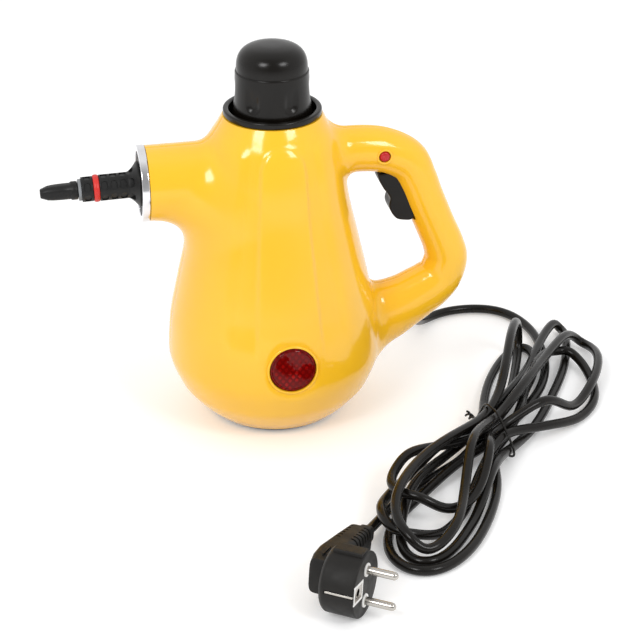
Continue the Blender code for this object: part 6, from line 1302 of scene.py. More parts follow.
def tie_points(path):
    """A taut loop round the strands that cross the tie's plane, with both ends twisted together."""
    low = np.array(TIE_ENDS[0])
    line = (np.array(TIE_ENDS[1]) - low) / np.linalg.norm(np.array(TIE_ENDS[1]) - low)
    across = np.array((-line[1], line[0]))
    offset = (path[:, :2] - low) @ across
    reach = CORD_DIAMETER / 2.0 + TIE_RADIUS + TIE_CLEAR
    span = np.linalg.norm(np.array(TIE_ENDS[1]) - low)
    corners = []
    for index in range(len(path) - 1):
        if offset[index] * offset[index + 1] > 0.0:
            continue
        share = offset[index] / (offset[index] - offset[index + 1])
        spot = path[index] + share * (path[index + 1] - path[index])
        run = float((spot[:2] - low) @ line)
        if abs(run - span / 2.0) > span:
            continue
        step = path[index + 1] - path[index]
        lean = abs(float(step[:2] @ across)) / np.linalg.norm(step)
        for turn in np.linspace(0.0, 2.0 * math.pi, TIE_ARC_POINTS, endpoint=False):
            corners.append((run + reach / lean * math.cos(turn), spot[2] + reach * math.sin(turn)))
    loop = np.array(hull(corners))
    start = int(np.argmin(loop[:, 0]))
    loop = np.roll(loop, -start, axis=0)
    loop = np.vstack((loop, loop[:1]))
    hops = np.linalg.norm(np.diff(loop, axis=0), axis=1)
    run = np.concatenate(([0.0], np.cumsum(hops)))
    spacing = 2.0 * TIE_TWIST_RADIUS
    stops = np.linspace(spacing, run[-1] - spacing, TIE_POINTS)
    flat = np.column_stack([np.interp(stops, run, column) for column in loop.T])
    corner = loop[0] - np.array((spacing, 0.0))
    start_curl = []
    end_curl = []
    for step in range(TIE_TWIST_POINTS):
        share = step / (TIE_TWIST_POINTS - 1)
        turn = -math.pi / 2.0 + 2.0 * math.pi * share
        place = (corner[0] - share * TIE_TWIST_LENGTH, corner[1])
        for curl, sign in ((start_curl, 1.0), (end_curl, -1.0)):
            side = sign * TIE_TWIST_RADIUS * math.cos(turn)
            height = place[1] + sign * TIE_TWIST_RADIUS * math.sin(turn)
            curl.append((place[0], height, side))
    rows = start_curl[::-1] + [(a, b, 0.0) for a, b in flat] + end_curl
    points = []
    for run, height, side in rows:
        ground = low + run * line + side * across
        points.append((float(ground[0]), float(ground[1]), float(height)))
    return points


def tube(name, points, radius, material, body="housing", resolution=6):
    """A round cord or wire along points."""
    curve = bpy.data.curves.new(name, "CURVE")
    curve.dimensions = "3D"
    curve.bevel_depth = radius
    curve.bevel_resolution = resolution
    curve.use_fill_caps = True
    spline = curve.splines.new("POLY")
    spline.points.add(len(points) - 1)
    for place, point in zip(spline.points, points):
        place.co = (*point, 1.0)
    curve.materials.append(material)
    made = bpy.data.objects.new(name, curve)
    bpy.context.scene.collection.objects.link(made)
    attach(made, body)
    return made


def softened(points, rounds, floor):
    """The line with its corners eased, its ends kept and nothing below the floor."""
    for _ in range(rounds):
        points[1:-1] += 0.5 * (0.5 * (points[:-2] + points[2:]) - points[1:-1])
        points[:, 2] = np.maximum(points[:, 2], floor)
    return points


def eased_in_plan(points, rounds):
    """The line eased in plan only, so that a run keeps its height where it crosses another."""
    for _ in range(rounds):
        points[1:-1, :2] += 0.5 * (0.5 * (points[:-2, :2] + points[2:, :2]) - points[1:-1, :2])
    return points


def free_cord():
    """The power cord from the relief along the floor and through the hank to the plug, and its wire tie."""
    path = hank_path()
    heading = (path[1] - path[0]) / np.linalg.norm(path[1] - path[0])
    place = relief_place()
    first = place @ Vector((0.0, 0.0, RELIEF_LENGTH + CLEAR))
    second = place @ Vector((0.0, 0.0, RELIEF_LENGTH + CLEAR + CORD_DIAMETER))
    near_end = path[0] - (CLEAR + CORD_DIAMETER) * heading
    lead = through((second,) + LEAD_ROUTE + (near_end,), CORD_POINTS)
    route = np.vstack(([tuple(first)], lead, path))
    points = softened(through(route, CORD_STEPS), SPACE_ROUNDS, CORD_DIAMETER / 2.0)
    points = eased_in_plan(points, PLAN_ROUNDS)
    made = tube("power_cord", points, CORD_DIAMETER / 2.0, finish("cord"))
    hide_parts("cord_lead", "cord_hank")
    bend = through(tie_points(path), TIE_STEPS)
    tie = tube("wire_tie", bend, TIE_WIRE_RADIUS, finish("cord"), resolution=3)
    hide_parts("hank_tie")
    return made, tie, points


def trigger_point(share):
    """A place on the trigger, from a share of its size, counted from its pivot."""
    return TRIGGER_PIVOT[0] + share[0] * TRIGGER_SIZE, TRIGGER_PIVOT[1] + share[1] * TRIGGER_SIZE


def shell_near(surface, slot):
    """The near half shell, open for the lens, the lock and the trigger."""
    x, z = LOCK_PLACE
    near = solid(
        "shell_near", shell(surface, -1), finish("yellow"), "housing", ("housing_near",))
    cuts = bmesh.new()
    reach = LENS_RADIUS + CLEAR
    outline = (
        (0, -4 * LENS_SEAT_DEPTH), (reach, -4 * LENS_SEAT_DEPTH), (reach, 4 * OVERRUN), (0, 4 * OVERRUN))
    turned(cuts, outline, LATHE_SIDES, lens_place())
    cylinder(cuts, (x, SPLIT_GAP, z), (x, LOCK_NEAR_END - OVERRUN, z), LOCK_RADIUS + CLEAR)
    prism(cuts, slot, -TRIGGER_HALF_WIDTH - CLEAR, OVERRUN)
    carve(near, cuts)


def shell_far(surface, slot):
    """The far half shell with its screw posts, open for the lock, the strain relief and the trigger."""
    x, z = LOCK_PLACE
    far = solid(
        "shell_far", shell(surface, 1), finish("yellow"), "housing", ("housing_far",))
    posts = bmesh.new()
    cuts = bmesh.new()
    web = SPLIT_GAP / 2.0 + SCREW_WEB
    for across, up in SCREW_PLACES.values():
        out = wall_depth(across, up, 0.0)
        end = wall_depth(across, up, WALL * POST_DEPTH_SHARE)
        cylinder(posts, (across, web - OVERRUN, up), (across, end, up), SCREW_HEAD_RADIUS + POST_WALL)
        cylinder(cuts, (across, web, up), (across, out + 2 * OVERRUN, up), SCREW_HEAD_RADIUS + CLEAR)
    cylinder(cuts, (x, SPLIT_GAP, z), (x, LOCK_RIM_HEIGHT + OVERRUN, z), LOCK_RADIUS + CLEAR)
    root, flange = RELIEF_ROOT_RADIUS + CLEAR, RELIEF_FLANGE_RADIUS + CLEAR
    outline = (
        (0, -RELIEF_INSIDE), (root, -RELIEF_INSIDE), (root, -CLEAR), (flange, -CLEAR), (flange, 2 * OVERRUN),
        (0, 2 * OVERRUN))
    turned(cuts, outline, SMALL_SIDES, relief_place())
    prism(cuts, slot, -OVERRUN, TRIGGER_HALF_WIDTH + CLEAR)
    carve(far, posts, "UNION")
    carve(far, cuts)


def lens_ring():
    """The raised rim round the lens."""
    bm = bmesh.new()
    inner, outer = LENS_RADIUS + LENS_RING_GAP, LENS_RADIUS + LENS_RING_WIDTH_SHARE * LENS_RIM_WIDTH
    ring = (
        (inner, -LENS_SEAT_DEPTH), (outer, -LENS_SEAT_DEPTH), (outer + LENS_RING_FLARE, BOWL_LEVEL),
        (outer, LENS_RIM_PROUD), (inner, LENS_RIM_PROUD))
    turned(bm, rounded(ring, LENS_RING_EDGE, 6), RIM_SIDES, lens_place())
    solid("lens_ring", bm, finish("yellow"), "housing", (), SOFT_EDGES)


def lock_rims():
    """The raised rims round both ends of the lock button."""
    x, z = LOCK_PLACE
    for name, side in (("near", -1.0), ("far", 1.0)):
        bm = bmesh.new()
        foot = wall_depth(x, z, WALL)
        top = wall_depth(x, z, 0.0) + LOCK_RIM_PROUD
        bore = LOCK_RADIUS + CLEAR
        ring = ((bore, 0), (LOCK_RIM_RADIUS, 0), (LOCK_RIM_RADIUS, top - foot), (bore, top - foot))
        place = along((x, side * foot, z), (0.0, side, 0.0))
        turned(bm, rounded(ring, LOCK_RIM_EDGE, 5), BUTTON_SIDES, place)
        solid("lock_rim_" + name, bm, finish("yellow"), "housing", (), SOFT_EDGES)


def housing():
    """Both half shells with their openings, and the rims that stand proud of them."""
    surface = fine_surface()
    slot = [trigger_point(share) for share in SLOT_OUTLINE_SHARES]
    shell_near(surface, slot)
    shell_far(surface, slot)
    lens_ring()
    lock_rims()


def lens():
    """The round red lens: a crown inside a notch and a raised lip."""
    bm = bmesh.new()
    low = CLEAR - LENS_SEAT_DEPTH
    edge = low + LENS_EDGE
    fall = math.cos(math.radians(LENS_CROWN_DEGREES))
    crown = [(LENS_RADIUS * math.sin(turn), edge + LENS_CROWN * (math.cos(turn) - fall))
             for turn in np.radians(np.linspace(LENS_CROWN_DEGREES, 0.0, LENS_CROWN_POINTS))]
    rim = LENS_RADIUS - LENS_RIM_GAP
    notch = LENS_RADIUS - LENS_NOTCH_INSET
    dome = [(radius, height) for radius, height in crown if 0.0 < radius < notch - LENS_NOTCH_HALF]
    shoulder = crown[0][1] + LENS_SHOULDER_RISE
    profile = [
        (0, low), (rim, low), (rim, shoulder - LENS_SHOULDER_EDGE), (rim - LENS_SHOULDER_EDGE, shoulder),
        (notch + LENS_NOTCH_HALF, shoulder + LENS_LIP_RISE), (notch, shoulder - LENS_NOTCH_DROP)]
    profile += dome[:-1] + [(0, crown[-1][1])]
    turned(bm, profile, LATHE_SIDES, lens_place())
    solid("lens_window", bm, finish("lens"), "housing", ("indicator_lens",), ROUND_EDGES)


def lock():
    """The red lock button, which passes through the handle."""
    x, z = LOCK_PLACE
    bm = bmesh.new()
    span = LOCK_FAR_END - LOCK_NEAR_END
    reach = LOCK_RADIUS - LOCK_PLAY
    profile = ((0, 0), (reach, LOCK_END_STEP), (reach, span - LOCK_END_STEP), (0, span))
    turned(bm, rounded(profile, LOCK_ROUND, 8), BUTTON_SIDES, along((x, LOCK_NEAR_END, z), (0.0, 1.0, 0.0)))
    solid("lock_bolt", bm, finish("red"), "lock", ("lock_button",), SOFT_EDGES)


def trigger():
    """The finger trigger, a prism with rounded edges."""
    bm = bmesh.new()
    outline = rounded([trigger_point(share) for share in TRIGGER_OUTLINE_SHARES], TRIGGER_CORNER, 4)
    prism(bm, outline, -TRIGGER_HALF_WIDTH, TRIGGER_HALF_WIDTH)
    made = solid("finger_trigger", bm, finish("black"), "trigger", ("trigger",), SOFT_EDGES)
    soft = made.modifiers.new("edges", "BEVEL")
    soft.width = TRIGGER_EDGE
    soft.segments = 4
    soft.limit_method = "ANGLE"
    soft.angle_limit = TRIGGER_EDGE_ANGLE


def pocket(radius, turn, height):
    """The cap's skirt pulls in at six finger pockets, deepest near its foot."""
    pitch = 2.0 * math.pi / CAP_FLUTES
    off = abs((turn + CAP_TURN + pitch / 2.0) % pitch - pitch / 2.0) * radius
    centre = CAP_SKIRT_BOTTOM + POCKET_HEIGHT
    reach = math.hypot(off, min(height - centre, 0.0)) if height < centre else off
    fade = 1.0 - float(rise(height, centre, CAP_SEAM - POCKET_TOP))
    return radius - POCKET_DEPTH * fade * float(rise(POCKET_HALF - reach, 0.0, POCKET_FADE))


def cap_skirt():
    """The cap's skirt with its finger pockets, its lip at the seam and the sleeve inside."""
    bm = bmesh.new()
    top = CAP_SEAM_RADIUS + 0.5 * CAP_LEDGE
    outer = []
    for share in np.linspace(0.0, 1.0, CAP_SKIRT_POINTS):
        radius = top + (CAP_BOTTOM_RADIUS + CAP_LEDGE - top) * (1.0 - share) ** CAP_FLARE_POWER
        height = CAP_SKIRT_BOTTOM + share * (CAP_SEAM - 2 * CAP_LEDGE - CAP_SKIRT_BOTTOM)
        outer.append((radius, height))
    inner = CAP_BOTTOM_RADIUS - CAP_WALL
    inner_seam = CAP_SEAM_RADIUS - CAP_WALL
    lip = [(CAP_SEAM_RADIUS + out * CAP_LEDGE, CAP_SEAM - down * CAP_LEDGE) for out, down in CAP_LIP_SHARES]
    inside = [
        (SLEEVE_BORE, CAP_SEAM - CAP_LEDGE), (SLEEVE_BORE, SLEEVE_FOOT), (SLEEVE_RADIUS, SLEEVE_FOOT),
        (SLEEVE_RADIUS, CAP_SEAM - CAP_WALL), (inner_seam, CAP_SEAM - CAP_WALL),
        (inner, CAP_SKIRT_BOTTOM + 2 * CAP_WALL), (inner, CAP_SKIRT_BOTTOM)]

    def swell(radius, turn, height):
        if radius <= inner + CAP_SWELL_MARGIN or height >= CAP_SEAM - 3 * CAP_LEDGE:
            return radius
        return pocket(radius, turn, height)

    turned(bm, outer + lip + inside, CAP_SIDES, None, swell)
    solid("cap_grip", bm, finish("cap"), "cap_shell", ("cap_skirt",), ROUND_EDGES)


def cap_top():
    """The cap's domed top, which drops inside the skirt's lip."""
    low = CAP_SEAM - CAP_TOP_SHARES[0] * CAP_LEDGE
    height = CAP_TOP - low
    reach = CAP_SEAM_RADIUS - CAP_TOP_SHARES[1] * CAP_LEDGE
    arc = through([(r, h, 0.0) for r, h in CAP_DOME_SHARES], CAP_DOME_POINTS, 2)[:, :2]
    outer = [(reach * max(r, 0.0), low + height * min(h, 1.0)) for r, h in arc]
    outer[-1] = (0, CAP_TOP)
    floor = low + CAP_TOP_GAP
    bm = bmesh.new()
    turned(bm, [(0, floor), (reach - CAP_TOP_INSET, floor)] + outer, WIDE_SIDES)
    solid("cap_top", bm, finish("cap"), "cap_shell", ("cap_dome",), ROUND_EDGES)


def collar():
    """The ring round the filler opening, with a sloping well inside."""
    bm = bmesh.new()
    bore = NECK_RADIUS + CLEAR
    low, lip = COLLAR_FLOOR, BODY_TOP + CLEAR
    well = low + COLLAR_FLOOR_THICKNESS
    profile = (
        (bore, low), (COLLAR_SPIGOT_RADIUS, low), (COLLAR_SPIGOT_RADIUS, lip), (COLLAR_RADIUS, lip),
        (COLLAR_RADIUS, COLLAR_TOP), (COLLAR_RIM_RADIUS, COLLAR_TOP), (COLLAR_WELL_RADIUS, well),
        (bore, well))
    turned(bm, rounded(profile, COLLAR_EDGE, 6), WIDE_SIDES)
    solid("filler_collar", bm, finish("cap"), "housing", ("collar_ring",), TURNED_EDGES)


def base():
    """The base plate with the sunk places of its screws."""
    bm = bmesh.new()
    reach = BASE_RADIUS - BASE_CHAMFER
    profile = (
        (0, 0), (BASE_RADIUS - 3 * BASE_CHAMFER, 0), (reach, 2 * BASE_CHAMFER), (reach, BASE_THICKNESS),
        (0, BASE_THICKNESS))
    turned(bm, rounded(profile, BASE_EDGE, 3), RIM_SIDES)
    made = solid("base_cover", bm, finish("black"), "housing", ("base_plate",), TURNED_EDGES)
    cuts = bmesh.new()
    for angle in BASE_SCREW_ANGLES.values():
        turn = math.radians(angle)
        x, y = BASE_SCREW_CIRCLE * math.cos(turn), BASE_SCREW_CIRCLE * math.sin(turn)
        cylinder(cuts, (x, y, -OVERRUN), (x, y, BASE_THICKNESS / 2.0), SCREW_HEAD_RADIUS + CLEAR)
    carve(made, cuts)


def nozzle_place(distance=0.0):
    """Frame on the drooping nozzle's axis, counted outward from the horn's mouth."""
    outward = Vector((-math.cos(NOZZLE_DROOP), 0.0, -math.sin(NOZZLE_DROOP)))
    return along(Vector((HORN_MOUTH, 0.0, HORN_AXIS)) + distance * outward, outward)


def rounded_block(bm, low, high, radius, place):
    """A box with rounded corners round its first axis."""
    outline = rounded([(low[1], low[2]), (high[1], low[2]), (high[1], high[2]), (low[1], high[2])], radius, 4)
    rows = [[bm.verts.new(place @ Vector((x, y, z))) for y, z in outline] for x in (low[0], high[0])]
    bm.faces.new(rows[0])
    bm.faces.new(reversed(rows[1]))
    for index in range(len(outline)):
        after = (index + 1) % len(outline)
        bm.faces.new((rows[0][index], rows[0][after], rows[1][after], rows[1][index]))


def bezel():
    """The chrome ring at the horn's mouth."""
    bm = bmesh.new()
    bore, mouth = SOCKET_RADIUS + CLEAR, BEZEL_RADIUS - BEZEL_LIP
    lip = BEZEL_LENGTH - BEZEL_LIP_THICKNESS
    profile = (
        (bore, CLEAR), (BEZEL_RADIUS, CLEAR), (BEZEL_RADIUS, BEZEL_LENGTH), (mouth, BEZEL_LENGTH),
        (mouth, lip), (bore, lip))
    place = along((HORN_MOUTH, 0.0, HORN_AXIS), (-1.0, 0.0, 0.0))
    turned(bm, rounded(profile, BEZEL_EDGE, 5), WIDE_SIDES, place)
    solid("bezel_trim", bm, finish("chrome"), "housing", ("chrome_bezel",), TURNED_EDGES)


def nozzle_windows():
    """The small sunk windows in the grip, its cone and the collet."""
    cuts = bmesh.new()
    pitch = GRIP_LENGTH / WINDOW_COLUMNS
    spots = [(GRIP_START + (column + 0.5) * pitch, GRIP_RADIUS) for column in range(WINDOW_COLUMNS)]
    spots.append((COLLET_START + COLLET_LENGTH / 2.0, COLLET_RADIUS))
    spots.append((GRIP_START - WINDOW_CONE_SHARE * pitch, GRIP_RADIUS + WINDOW_CONE_RISE))
    width, length = WINDOW_WIDTH_SHARE * WINDOW_WIDTH, WINDOW_LENGTH_SHARE * WINDOW_LENGTH
    for distance, radius in spots:
        for row in range(WINDOW_ROWS):
            spin = Matrix.Rotation(2.0 * math.pi * (row + 0.5) / WINDOW_ROWS, 4, "Z")
            low = (radius - WINDOW_DEPTH, -width, distance - length)
            high = (radius + OVERRUN, width, distance + length)
            rounded_block(cuts, low, high, WINDOW_CORNER, nozzle_place() @ spin)
    return cuts


def nozzle_grip():
    """The nozzle's body: spigot, flared cone, grip, ring seat, collet and shank."""
    bm = bmesh.new()
    foot, end = CONE_START - NOZZLE_SPIGOT_LENGTH, SHANK_START + SHANK_LENGTH
    profile = [
        (NOZZLE_BORE, foot), (NOZZLE_SPIGOT_RADIUS, foot), (NOZZLE_SPIGOT_RADIUS, CONE_START),
        (CONE_RADIUS, CONE_START)]
    for share in np.linspace(0.0, 1.0, CONE_POINTS):
        radius = GRIP_RADIUS + (CONE_RADIUS - GRIP_RADIUS) * (1.0 - share) ** CONE_POWER
        profile.append((radius, CONE_START + CONE_RIM + share * (CONE_LENGTH - CONE_RIM)))
    profile += [
        (GRIP_RADIUS, RING_START), (RING_SEAT_RADIUS, RING_START), (RING_SEAT_RADIUS, COLLET_START),
        (COLLET_RADIUS, COLLET_START), (COLLET_RADIUS, WASHER_START), (WASHER_SEAT_RADIUS, WASHER_START),
        (WASHER_SEAT_RADIUS, SHANK_START), (SHANK_RADIUS, SHANK_START), (SHANK_RADIUS, end),
        (NOZZLE_BORE, end)]
    turned(bm, rounded(profile, GRIP_EDGE, 3), LATHE_SIDES, nozzle_place())
    made = solid(
        "nozzle_grip", bm, finish("nozzle"), "nozzle", ("nozzle_body",), TURNED_EDGES)
    carve(made, nozzle_windows(), sharp=TURNED_EDGES)


def nozzle_ring():
    """The red O-ring, an oval section in its seat."""
    bm = bmesh.new()
    inner = RING_SEAT_RADIUS + RING_SEAT_GAP
    bulge = (RING_RADIUS - inner) / 2.0
    half = (RING_WIDTH - CLEAR) / 2.0
    centre = (RING_RADIUS + inner) / 2.0
    level = RING_START + RING_WIDTH / 2.0
    profile = [(centre + bulge * math.cos(turn), level + half * math.sin(turn))
               for turn in np.linspace(0.0, 2.0 * math.pi, RING_POINTS, endpoint=False)]
    turned(bm, profile, LATHE_SIDES, nozzle_place())
    solid("nozzle_ring", bm, finish("red_rubber"), "nozzle", ("nozzle_seal_ring",))


def nozzle_spacer():
    """The grey washer between collet and tip."""
    bm = bmesh.new()
    bore = WASHER_SEAT_RADIUS + WASHER_GAP
    low, high = WASHER_START + WASHER_GAP, SHANK_START - WASHER_GAP
    profile = ((bore, low), (WASHER_RADIUS, low), (WASHER_RADIUS, high), (bore, high))
    turned(bm, rounded(profile, WASHER_EDGE, 3), LATHE_SIDES, nozzle_place())
    solid("nozzle_spacer", bm, finish("grey"), "nozzle", ("nozzle_washer",))


def nozzle_point():
    """The tapered tip, slightly flat on four sides."""
    bm = bmesh.new()
    low = SHANK_START + CLEAR
    end = low + TIP_LENGTH
    reach = end - low
    profile = [(radius, low + share * reach) for radius, share in TIP_OUTLINE]
    profile += [
        (NOZZLE_BORE, end), (NOZZLE_BORE, end - 2 * OVERRUN), (SHANK_RADIUS, end - 2 * OVERRUN),
        (SHANK_RADIUS, low)]

    def flats(radius, turn, height):
        share = (height - low) / reach
        if radius < TIP_END_RADIUS + TIP_FLAT_MARGIN or share < TIP_FLAT_START_SHARE:
            return radius
        return radius * (1.0 - TIP_FLAT_SHARE * abs(math.cos(2.0 * turn)) ** 3)

    turned(bm, profile, LATHE_SIDES, nozzle_place(), flats)
    solid("nozzle_point", bm, finish("nozzle"), "nozzle", ("nozzle_tip",), TURNED_EDGES)


def relief():
    """The strain relief where the cord leaves: a flange and a ringed, tapered sleeve."""
    bm = bmesh.new()
    inside = CLEAR - RELIEF_INSIDE
    profile = [(0, inside), (RELIEF_ROOT_RADIUS, inside), (RELIEF_ROOT_RADIUS, 0), (RELIEF_FLANGE_RADIUS, 0),
               (RELIEF_FLANGE_RADIUS, RELIEF_FLANGE)]
    for index in range(RELIEF_RINGS):
        for notch, spot in RELIEF_RING_SHARES:
            share = (index + spot) / RELIEF_RINGS
            taper = RELIEF_ROOT_RADIUS + share * (RELIEF_TIP_RADIUS - RELIEF_ROOT_RADIUS)
            height = RELIEF_FLANGE + share * (RELIEF_LENGTH - RELIEF_FLANGE)
            profile.append((taper - notch * RELIEF_NOTCH, height))
    profile += [(RELIEF_TIP_RADIUS, RELIEF_LENGTH), (0, RELIEF_LENGTH)]
    turned(bm, rounded(profile, RELIEF_EDGE, 2), BUTTON_SIDES, relief_place())
    solid("relief_boot", bm, finish("black"), "housing", ("strain_relief",), TURNED_EDGES)


def plug_frame():
    """The plug's own frame: X out of the face along the pins, Y to the cord, which droops."""
    heading = Matrix.Rotation(PLUG_HEADING, 4, "Z")
    return Matrix.Translation(Vector(PLUG_FACE)) @ heading @ Matrix.Rotation(PLUG_ROLL, 4, "X")


def box(bm, low, high, place):
    """A plain box in a place's own frame."""
    return rounded_block(bm, low, high, CONTACT_EDGE, place)


def plug_rings(place):
    """The plug's rear: a squarish sleeve whose section changes along the cord."""
    bm = bmesh.new()
    keys = np.array(PLUG_SECTIONS)
    spots = np.unique(np.concatenate((keys[:, 0], np.linspace(keys[1, 0], keys[-3, 0], PLUG_RINGS))))
    rings = []
    for reach in spots:
        row = [float(np.interp(reach, keys[:, 0], keys[:, column])) for column in (1, 2, 3)]
        centre, half_depth, half_height = row
        ring = []
        for step in range(PLUG_SIDES):
            turn = 2.0 * math.pi * (step + 0.5) / PLUG_SIDES
            cos, sin = math.cos(turn), math.sin(turn)
            flat = math.copysign(abs(cos) ** PLUG_SQUARENESS, cos)
            high = math.copysign(abs(sin) ** PLUG_SQUARENESS, sin)
            spot = Vector((centre + half_depth * flat, reach, half_height * high))
            ring.append(bm.verts.new(place @ spot))
        rings.append(ring)
    bm.faces.new(rings[0])
    bm.faces.new(reversed(rings[-1]))
    for lower, upper in zip(rings[:-1], rings[1:]):
        for step in range(PLUG_SIDES):
            after = (step + 1) % PLUG_SIDES
            bm.faces.new((lower[step], lower[after], upper[after], upper[step]))
    return bm


def plug_ribs(place):
    """The key on top of the plug and the two ribs beside it."""
    bm = bmesh.new()
    rounded_block(bm, *PLUG_KEY, PLUG_KEY_EDGE, place)
    for across in PLUG_RIB_PLACES:
        low, high = (across, *PLUG_RIB_FOOT), (across + PLUG_RIB_WIDTH, *PLUG_RIB_END)
        rounded_block(bm, low, high, PLUG_SMALL_EDGE, place)
    return bm


def plug_cuts(place):
    """Slits of the bend relief, the earth hole and the grooves of the two clips."""
    cuts = bmesh.new()
    for index in range(PLUG_SLITS):
        reach = PLUG_SLIT_FIRST + index * PLUG_SLIT_PITCH
        for low, high in PLUG_SLIT_SPANS:
            for side in (1.0, -1.0):
                floor, ceiling = sorted(side * height for height in PLUG_SLIT_HEIGHTS)
                corner = (high, reach + PLUG_SLIT_WIDTH, ceiling)
                rounded_block(cuts, (low, reach, floor), corner, PLUG_SMALL_EDGE, place)
    y, z, radius = CONTACT_HOLE
    near, far = [place @ Vector((depth, y, z)) for depth in (OVERRUN, CONTACT_HOLE_DEPTH)]
    cylinder(cuts, near, far, radius, HOLE_SIDES)
    groove = BLADE_HALF + BLADE_GROOVE_GAP
    for side in (1.0, -1.0):
        near, far = sorted((side * (PLUG_RADIUS - BLADE_DEPTH), side * (PLUG_RADIUS + OVERRUN)))
        corner = (BLADE_START - BLADE_GROOVE_END, near, -groove)
        rounded_block(cuts, corner, (OVERRUN, far, groove), BLADE_GROOVE_EDGE, place)
    return cuts


def plug_shell(place, outward):
    """The plug's body: round barrel, rear sleeve, key and ribs in one solid."""
    bm = bmesh.new()
    rim = PLUG_RADIUS - 2 * BARREL_EDGE
    profile = (
        (0, -BARREL_LENGTH), (rim, -BARREL_LENGTH), (PLUG_RADIUS, -BARREL_LENGTH + 2 * BARREL_EDGE),
        (PLUG_RADIUS, 0), (0, 0))
    turned(bm, rounded(profile, BARREL_ROUND, 6), WIDE_SIDES, outward)
    made = solid("plug_shell", bm, finish("plug"), "housing", ("plug_body",), TURNED_EDGES)
    carve(made, plug_rings(place), "UNION", TURNED_EDGES)
    carve(made, plug_ribs(place), "UNION", TURNED_EDGES)
    carve(made, plug_cuts(place), sharp=TURNED_EDGES)
    return made


def pin_places(outward):
    """Frames of the two pins, on the plug's face."""
    return [outward @ Matrix.Translation((side * PLUG_PIN_PITCH / 2.0, 0.0, 0.0)) for side in (-1.0, 1.0)]


def plug_pins(outward):
    """Both pins with their round noses."""
    bm = bmesh.new()
    for spot in pin_places(outward):
        nose = []
        for turn in np.linspace(math.pi / 2.0, 0.0, PIN_NOSE_POINTS):
            height = PLUG_PIN_LENGTH - PLUG_PIN_RADIUS * (1.0 - math.cos(turn))
            nose.append((PLUG_PIN_RADIUS * math.sin(turn), height))
        nose[-1] = (0, PLUG_PIN_LENGTH)
        turned(bm, [(0, -PLUG_PIN_DEPTH), (PLUG_PIN_RADIUS, -PLUG_PIN_DEPTH)] + nose, SMALL_SIDES, spot)
    nodes = ("plug_pin_lower", "plug_pin_upper")
    return solid("plug_pins", bm, finish("pin"), "housing", nodes, ROUND_EDGES)


def contact_corners():
    """Lower and upper corner of the opening in the earth contact's frame."""
    low = [part + CONTACT_FRAME for part in CONTACT_LOW[1:]]
    high = [part - CONTACT_FRAME for part in CONTACT_HIGH[1:]]
    return low, high


def plug_insert(place, outward):
    """The white insert: a collar round each pin and the frame of the earth contact."""
    bm = bmesh.new()
    bore = PLUG_PIN_RADIUS + PLUG_COLLAR_GAP
    ring = (
        (bore, -OVERRUN), (PLUG_COLLAR_RADIUS, -OVERRUN),
        (PLUG_COLLAR_RADIUS - PLUG_COLLAR_EDGE, PLUG_COLLAR), (bore, PLUG_COLLAR))
    for spot in pin_places(outward):
        turned(bm, rounded(ring, PLUG_COLLAR_EDGE, 3), SMALL_SIDES, spot)
    inner_low, inner_high = contact_corners()
    bars = (
        (CONTACT_LOW[1:], (inner_low[0], CONTACT_HIGH[2])),
        ((inner_high[0], CONTACT_LOW[2]), CONTACT_HIGH[1:]),
        ((inner_low[0], CONTACT_LOW[2]), (inner_high[0], inner_low[1])),
        ((inner_low[0], inner_high[1]), (inner_high[0], CONTACT_HIGH[2])))
    for low, high in bars:
        box(bm, (CONTACT_LOW[0], *low), (CONTACT_HIGH[0], *high), place)
    return solid("plug_insert", bm, finish("white"), "housing", (), ROUND_EDGES)


def earth_contacts(place):
    """The earth contact in the face, with its hole, and the clips at both sides."""
    bm = bmesh.new()
    inner_low, inner_high = contact_corners()
    box(bm, (CONTACT_LOW[0], *inner_low), (CONTACT_HIGH[0] - CONTACT_SINK, *inner_high), place)
    for side in (1.0, -1.0):
        near, far = sorted((side * (PLUG_RADIUS - BLADE_DEPTH), side * (PLUG_RADIUS + BLADE_PROUD)))
        box(bm, (BLADE_START, near, -BLADE_HALF), (BLADE_END, far, BLADE_HALF), place)
    made = solid("earth_contacts", bm, finish("pin"), "housing", ("earth_strip",), ROUND_EDGES)
    y, z, radius = CONTACT_HOLE
    cuts = bmesh.new()
    near, far = [place @ Vector((depth, y, z)) for depth in (OVERRUN, -2 * OVERRUN)]
    cylinder(cuts, near, far, radius - CONTACT_HOLE_GAP, HOLE_SIDES)
    carve(made, cuts, sharp=ROUND_EDGES)
    return made


def plug():
    """Angled two-pin plug with its collars, pins and earth contacts."""
    place = plug_frame()
    outward = place @ Matrix.Rotation(math.pi / 2.0, 4, "Y")
    body = plug_shell(place, outward)
    return [body, plug_pins(outward), plug_insert(place, outward), earth_contacts(place)]


def dress_frame():
    """Finishes of the frame's own nodes that stay."""
    kinds = (
        ("steel", ("screw", "spring", "pin", "rod", "stem", "fuse", "element", "retainer")),
        ("brass", ("valve_body", "steam_tube", "poppet")),
        ("alloy", ("boiler_pot", "boiler_lid")),
        ("red_rubber", ("cap_gasket", "heater_lead")),
        ("white_rubber", ("boiler_gasket", "terminal")),
        ("lamp", ("indicator_lamp",)),
        ("pin", ("earth_strip",)))
    for name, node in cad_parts.items():
        chosen = "black"
        for kind, words in kinds:
            if any(word in name for word in words):
                chosen = kind
                break
        for index in range(len(node.material_slots)):
            node.material_slots[index].material = finish(chosen)


def lamp(name, place, size, power, target):
    """A square area lamp that faces a point."""
    data = bpy.data.lights.new(name, "AREA")
    data.shape = "RECTANGLE"
    data.size = data.size_y = size
    data.energy = power
    made = bpy.data.objects.new(name, data)
    made.location = place
    aim = Vector(target) - Vector(place)
    made.rotation_euler = aim.to_track_quat("-Z", "Y").to_euler()
    bpy.context.scene.collection.objects.link(made)


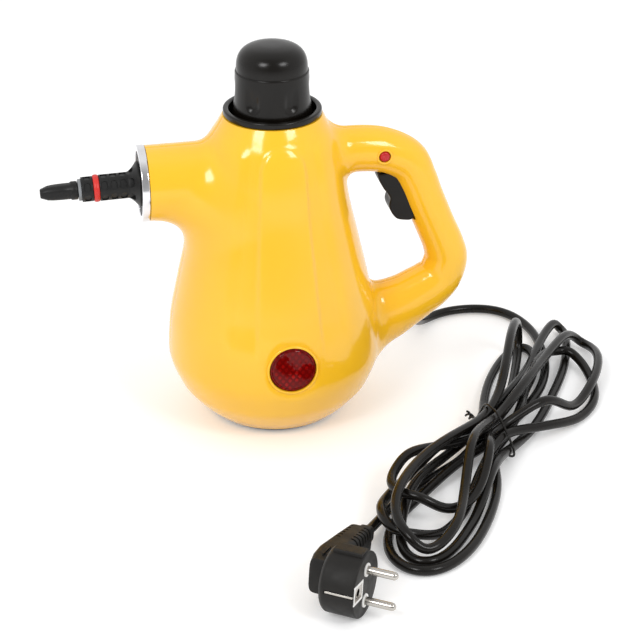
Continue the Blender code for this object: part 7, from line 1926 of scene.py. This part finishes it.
def light_paths(made):
    """1 for rays that show the background itself: camera, glossy and transmission rays."""
    path = made.node("ShaderNodeLightPath")
    total = path.outputs["Is Camera Ray"]
    for name in ("Is Glossy Ray", "Is Transmission Ray"):
        highest = made.node("ShaderNodeMath", operation="MAXIMUM")
        made.link(total, highest.inputs[0])
        made.link(path.outputs[name], highest.inputs[1])
        total = highest.outputs[0]
    return total


def stage():
    """White floor, and the studio's sky and lamps."""
    bm = bmesh.new()
    bmesh.ops.create_grid(bm, x_segments=1, y_segments=1, size=FLOOR_SIZE)
    mesh = bpy.data.meshes.new("floor")
    bm.to_mesh(mesh)
    bm.free()
    made = Finish("floor_white", (0.86, 0.86, 0.86), 0.7)
    made.shader.inputs["Emission Color"].default_value = (1.0, 1.0, 1.0, 1.0)
    lift = made.ramp(light_paths(made), 0.0, 1.0, 0.0, FLOOR_LIFT)
    made.link(lift, made.shader.inputs["Emission Strength"])
    mesh.materials.append(made.material)
    floor = bpy.data.objects.new("floor", mesh)
    floor.location.z = -FLOOR_DROP
    bpy.context.scene.collection.objects.link(floor)

    world = bpy.data.worlds.new("studio")
    bpy.context.scene.world = world
    world.use_nodes = True
    nodes = world.node_tree.nodes
    links = world.node_tree.links
    sky = nodes["Background"]
    sky.inputs["Color"].default_value = (1.0, 1.0, 1.0, 1.0)
    aim = nodes.new("ShaderNodeVectorMath")
    aim.operation = "DOT_PRODUCT"
    aim.inputs[1].default_value = DARK_SIDE
    level = nodes.new("ShaderNodeMapRange")
    values = (
        ("From Min", SKY_BAND[0]), ("From Max", SKY_BAND[1]), ("To Min", SKY_BRIGHT), ("To Max", SKY_DARK))
    for key, value in values:
        level.inputs[key].default_value = value
    links.new(nodes.new("ShaderNodeTexCoord").outputs["Generated"], aim.inputs[0])
    links.new(aim.outputs["Value"], level.inputs["Value"])
    links.new(level.outputs["Result"], sky.inputs["Strength"])

    for name, place, size, power in LAMPS:
        lamp(name, place, size, power, LAMP_TARGET)
    bpy.context.scene.view_settings.view_transform = "Standard"


add_camera()
HANDLE_LINE = handle_line()
dress_frame()
cord_piece, tie_piece, cord_line = free_cord()
plug() + [tie_piece]
housing()
lens()
lock()
trigger()
cap_skirt()
cap_top()
collar()
base()
bezel()
nozzle_grip()
nozzle_ring()
nozzle_spacer()
nozzle_point()
relief()
stage()
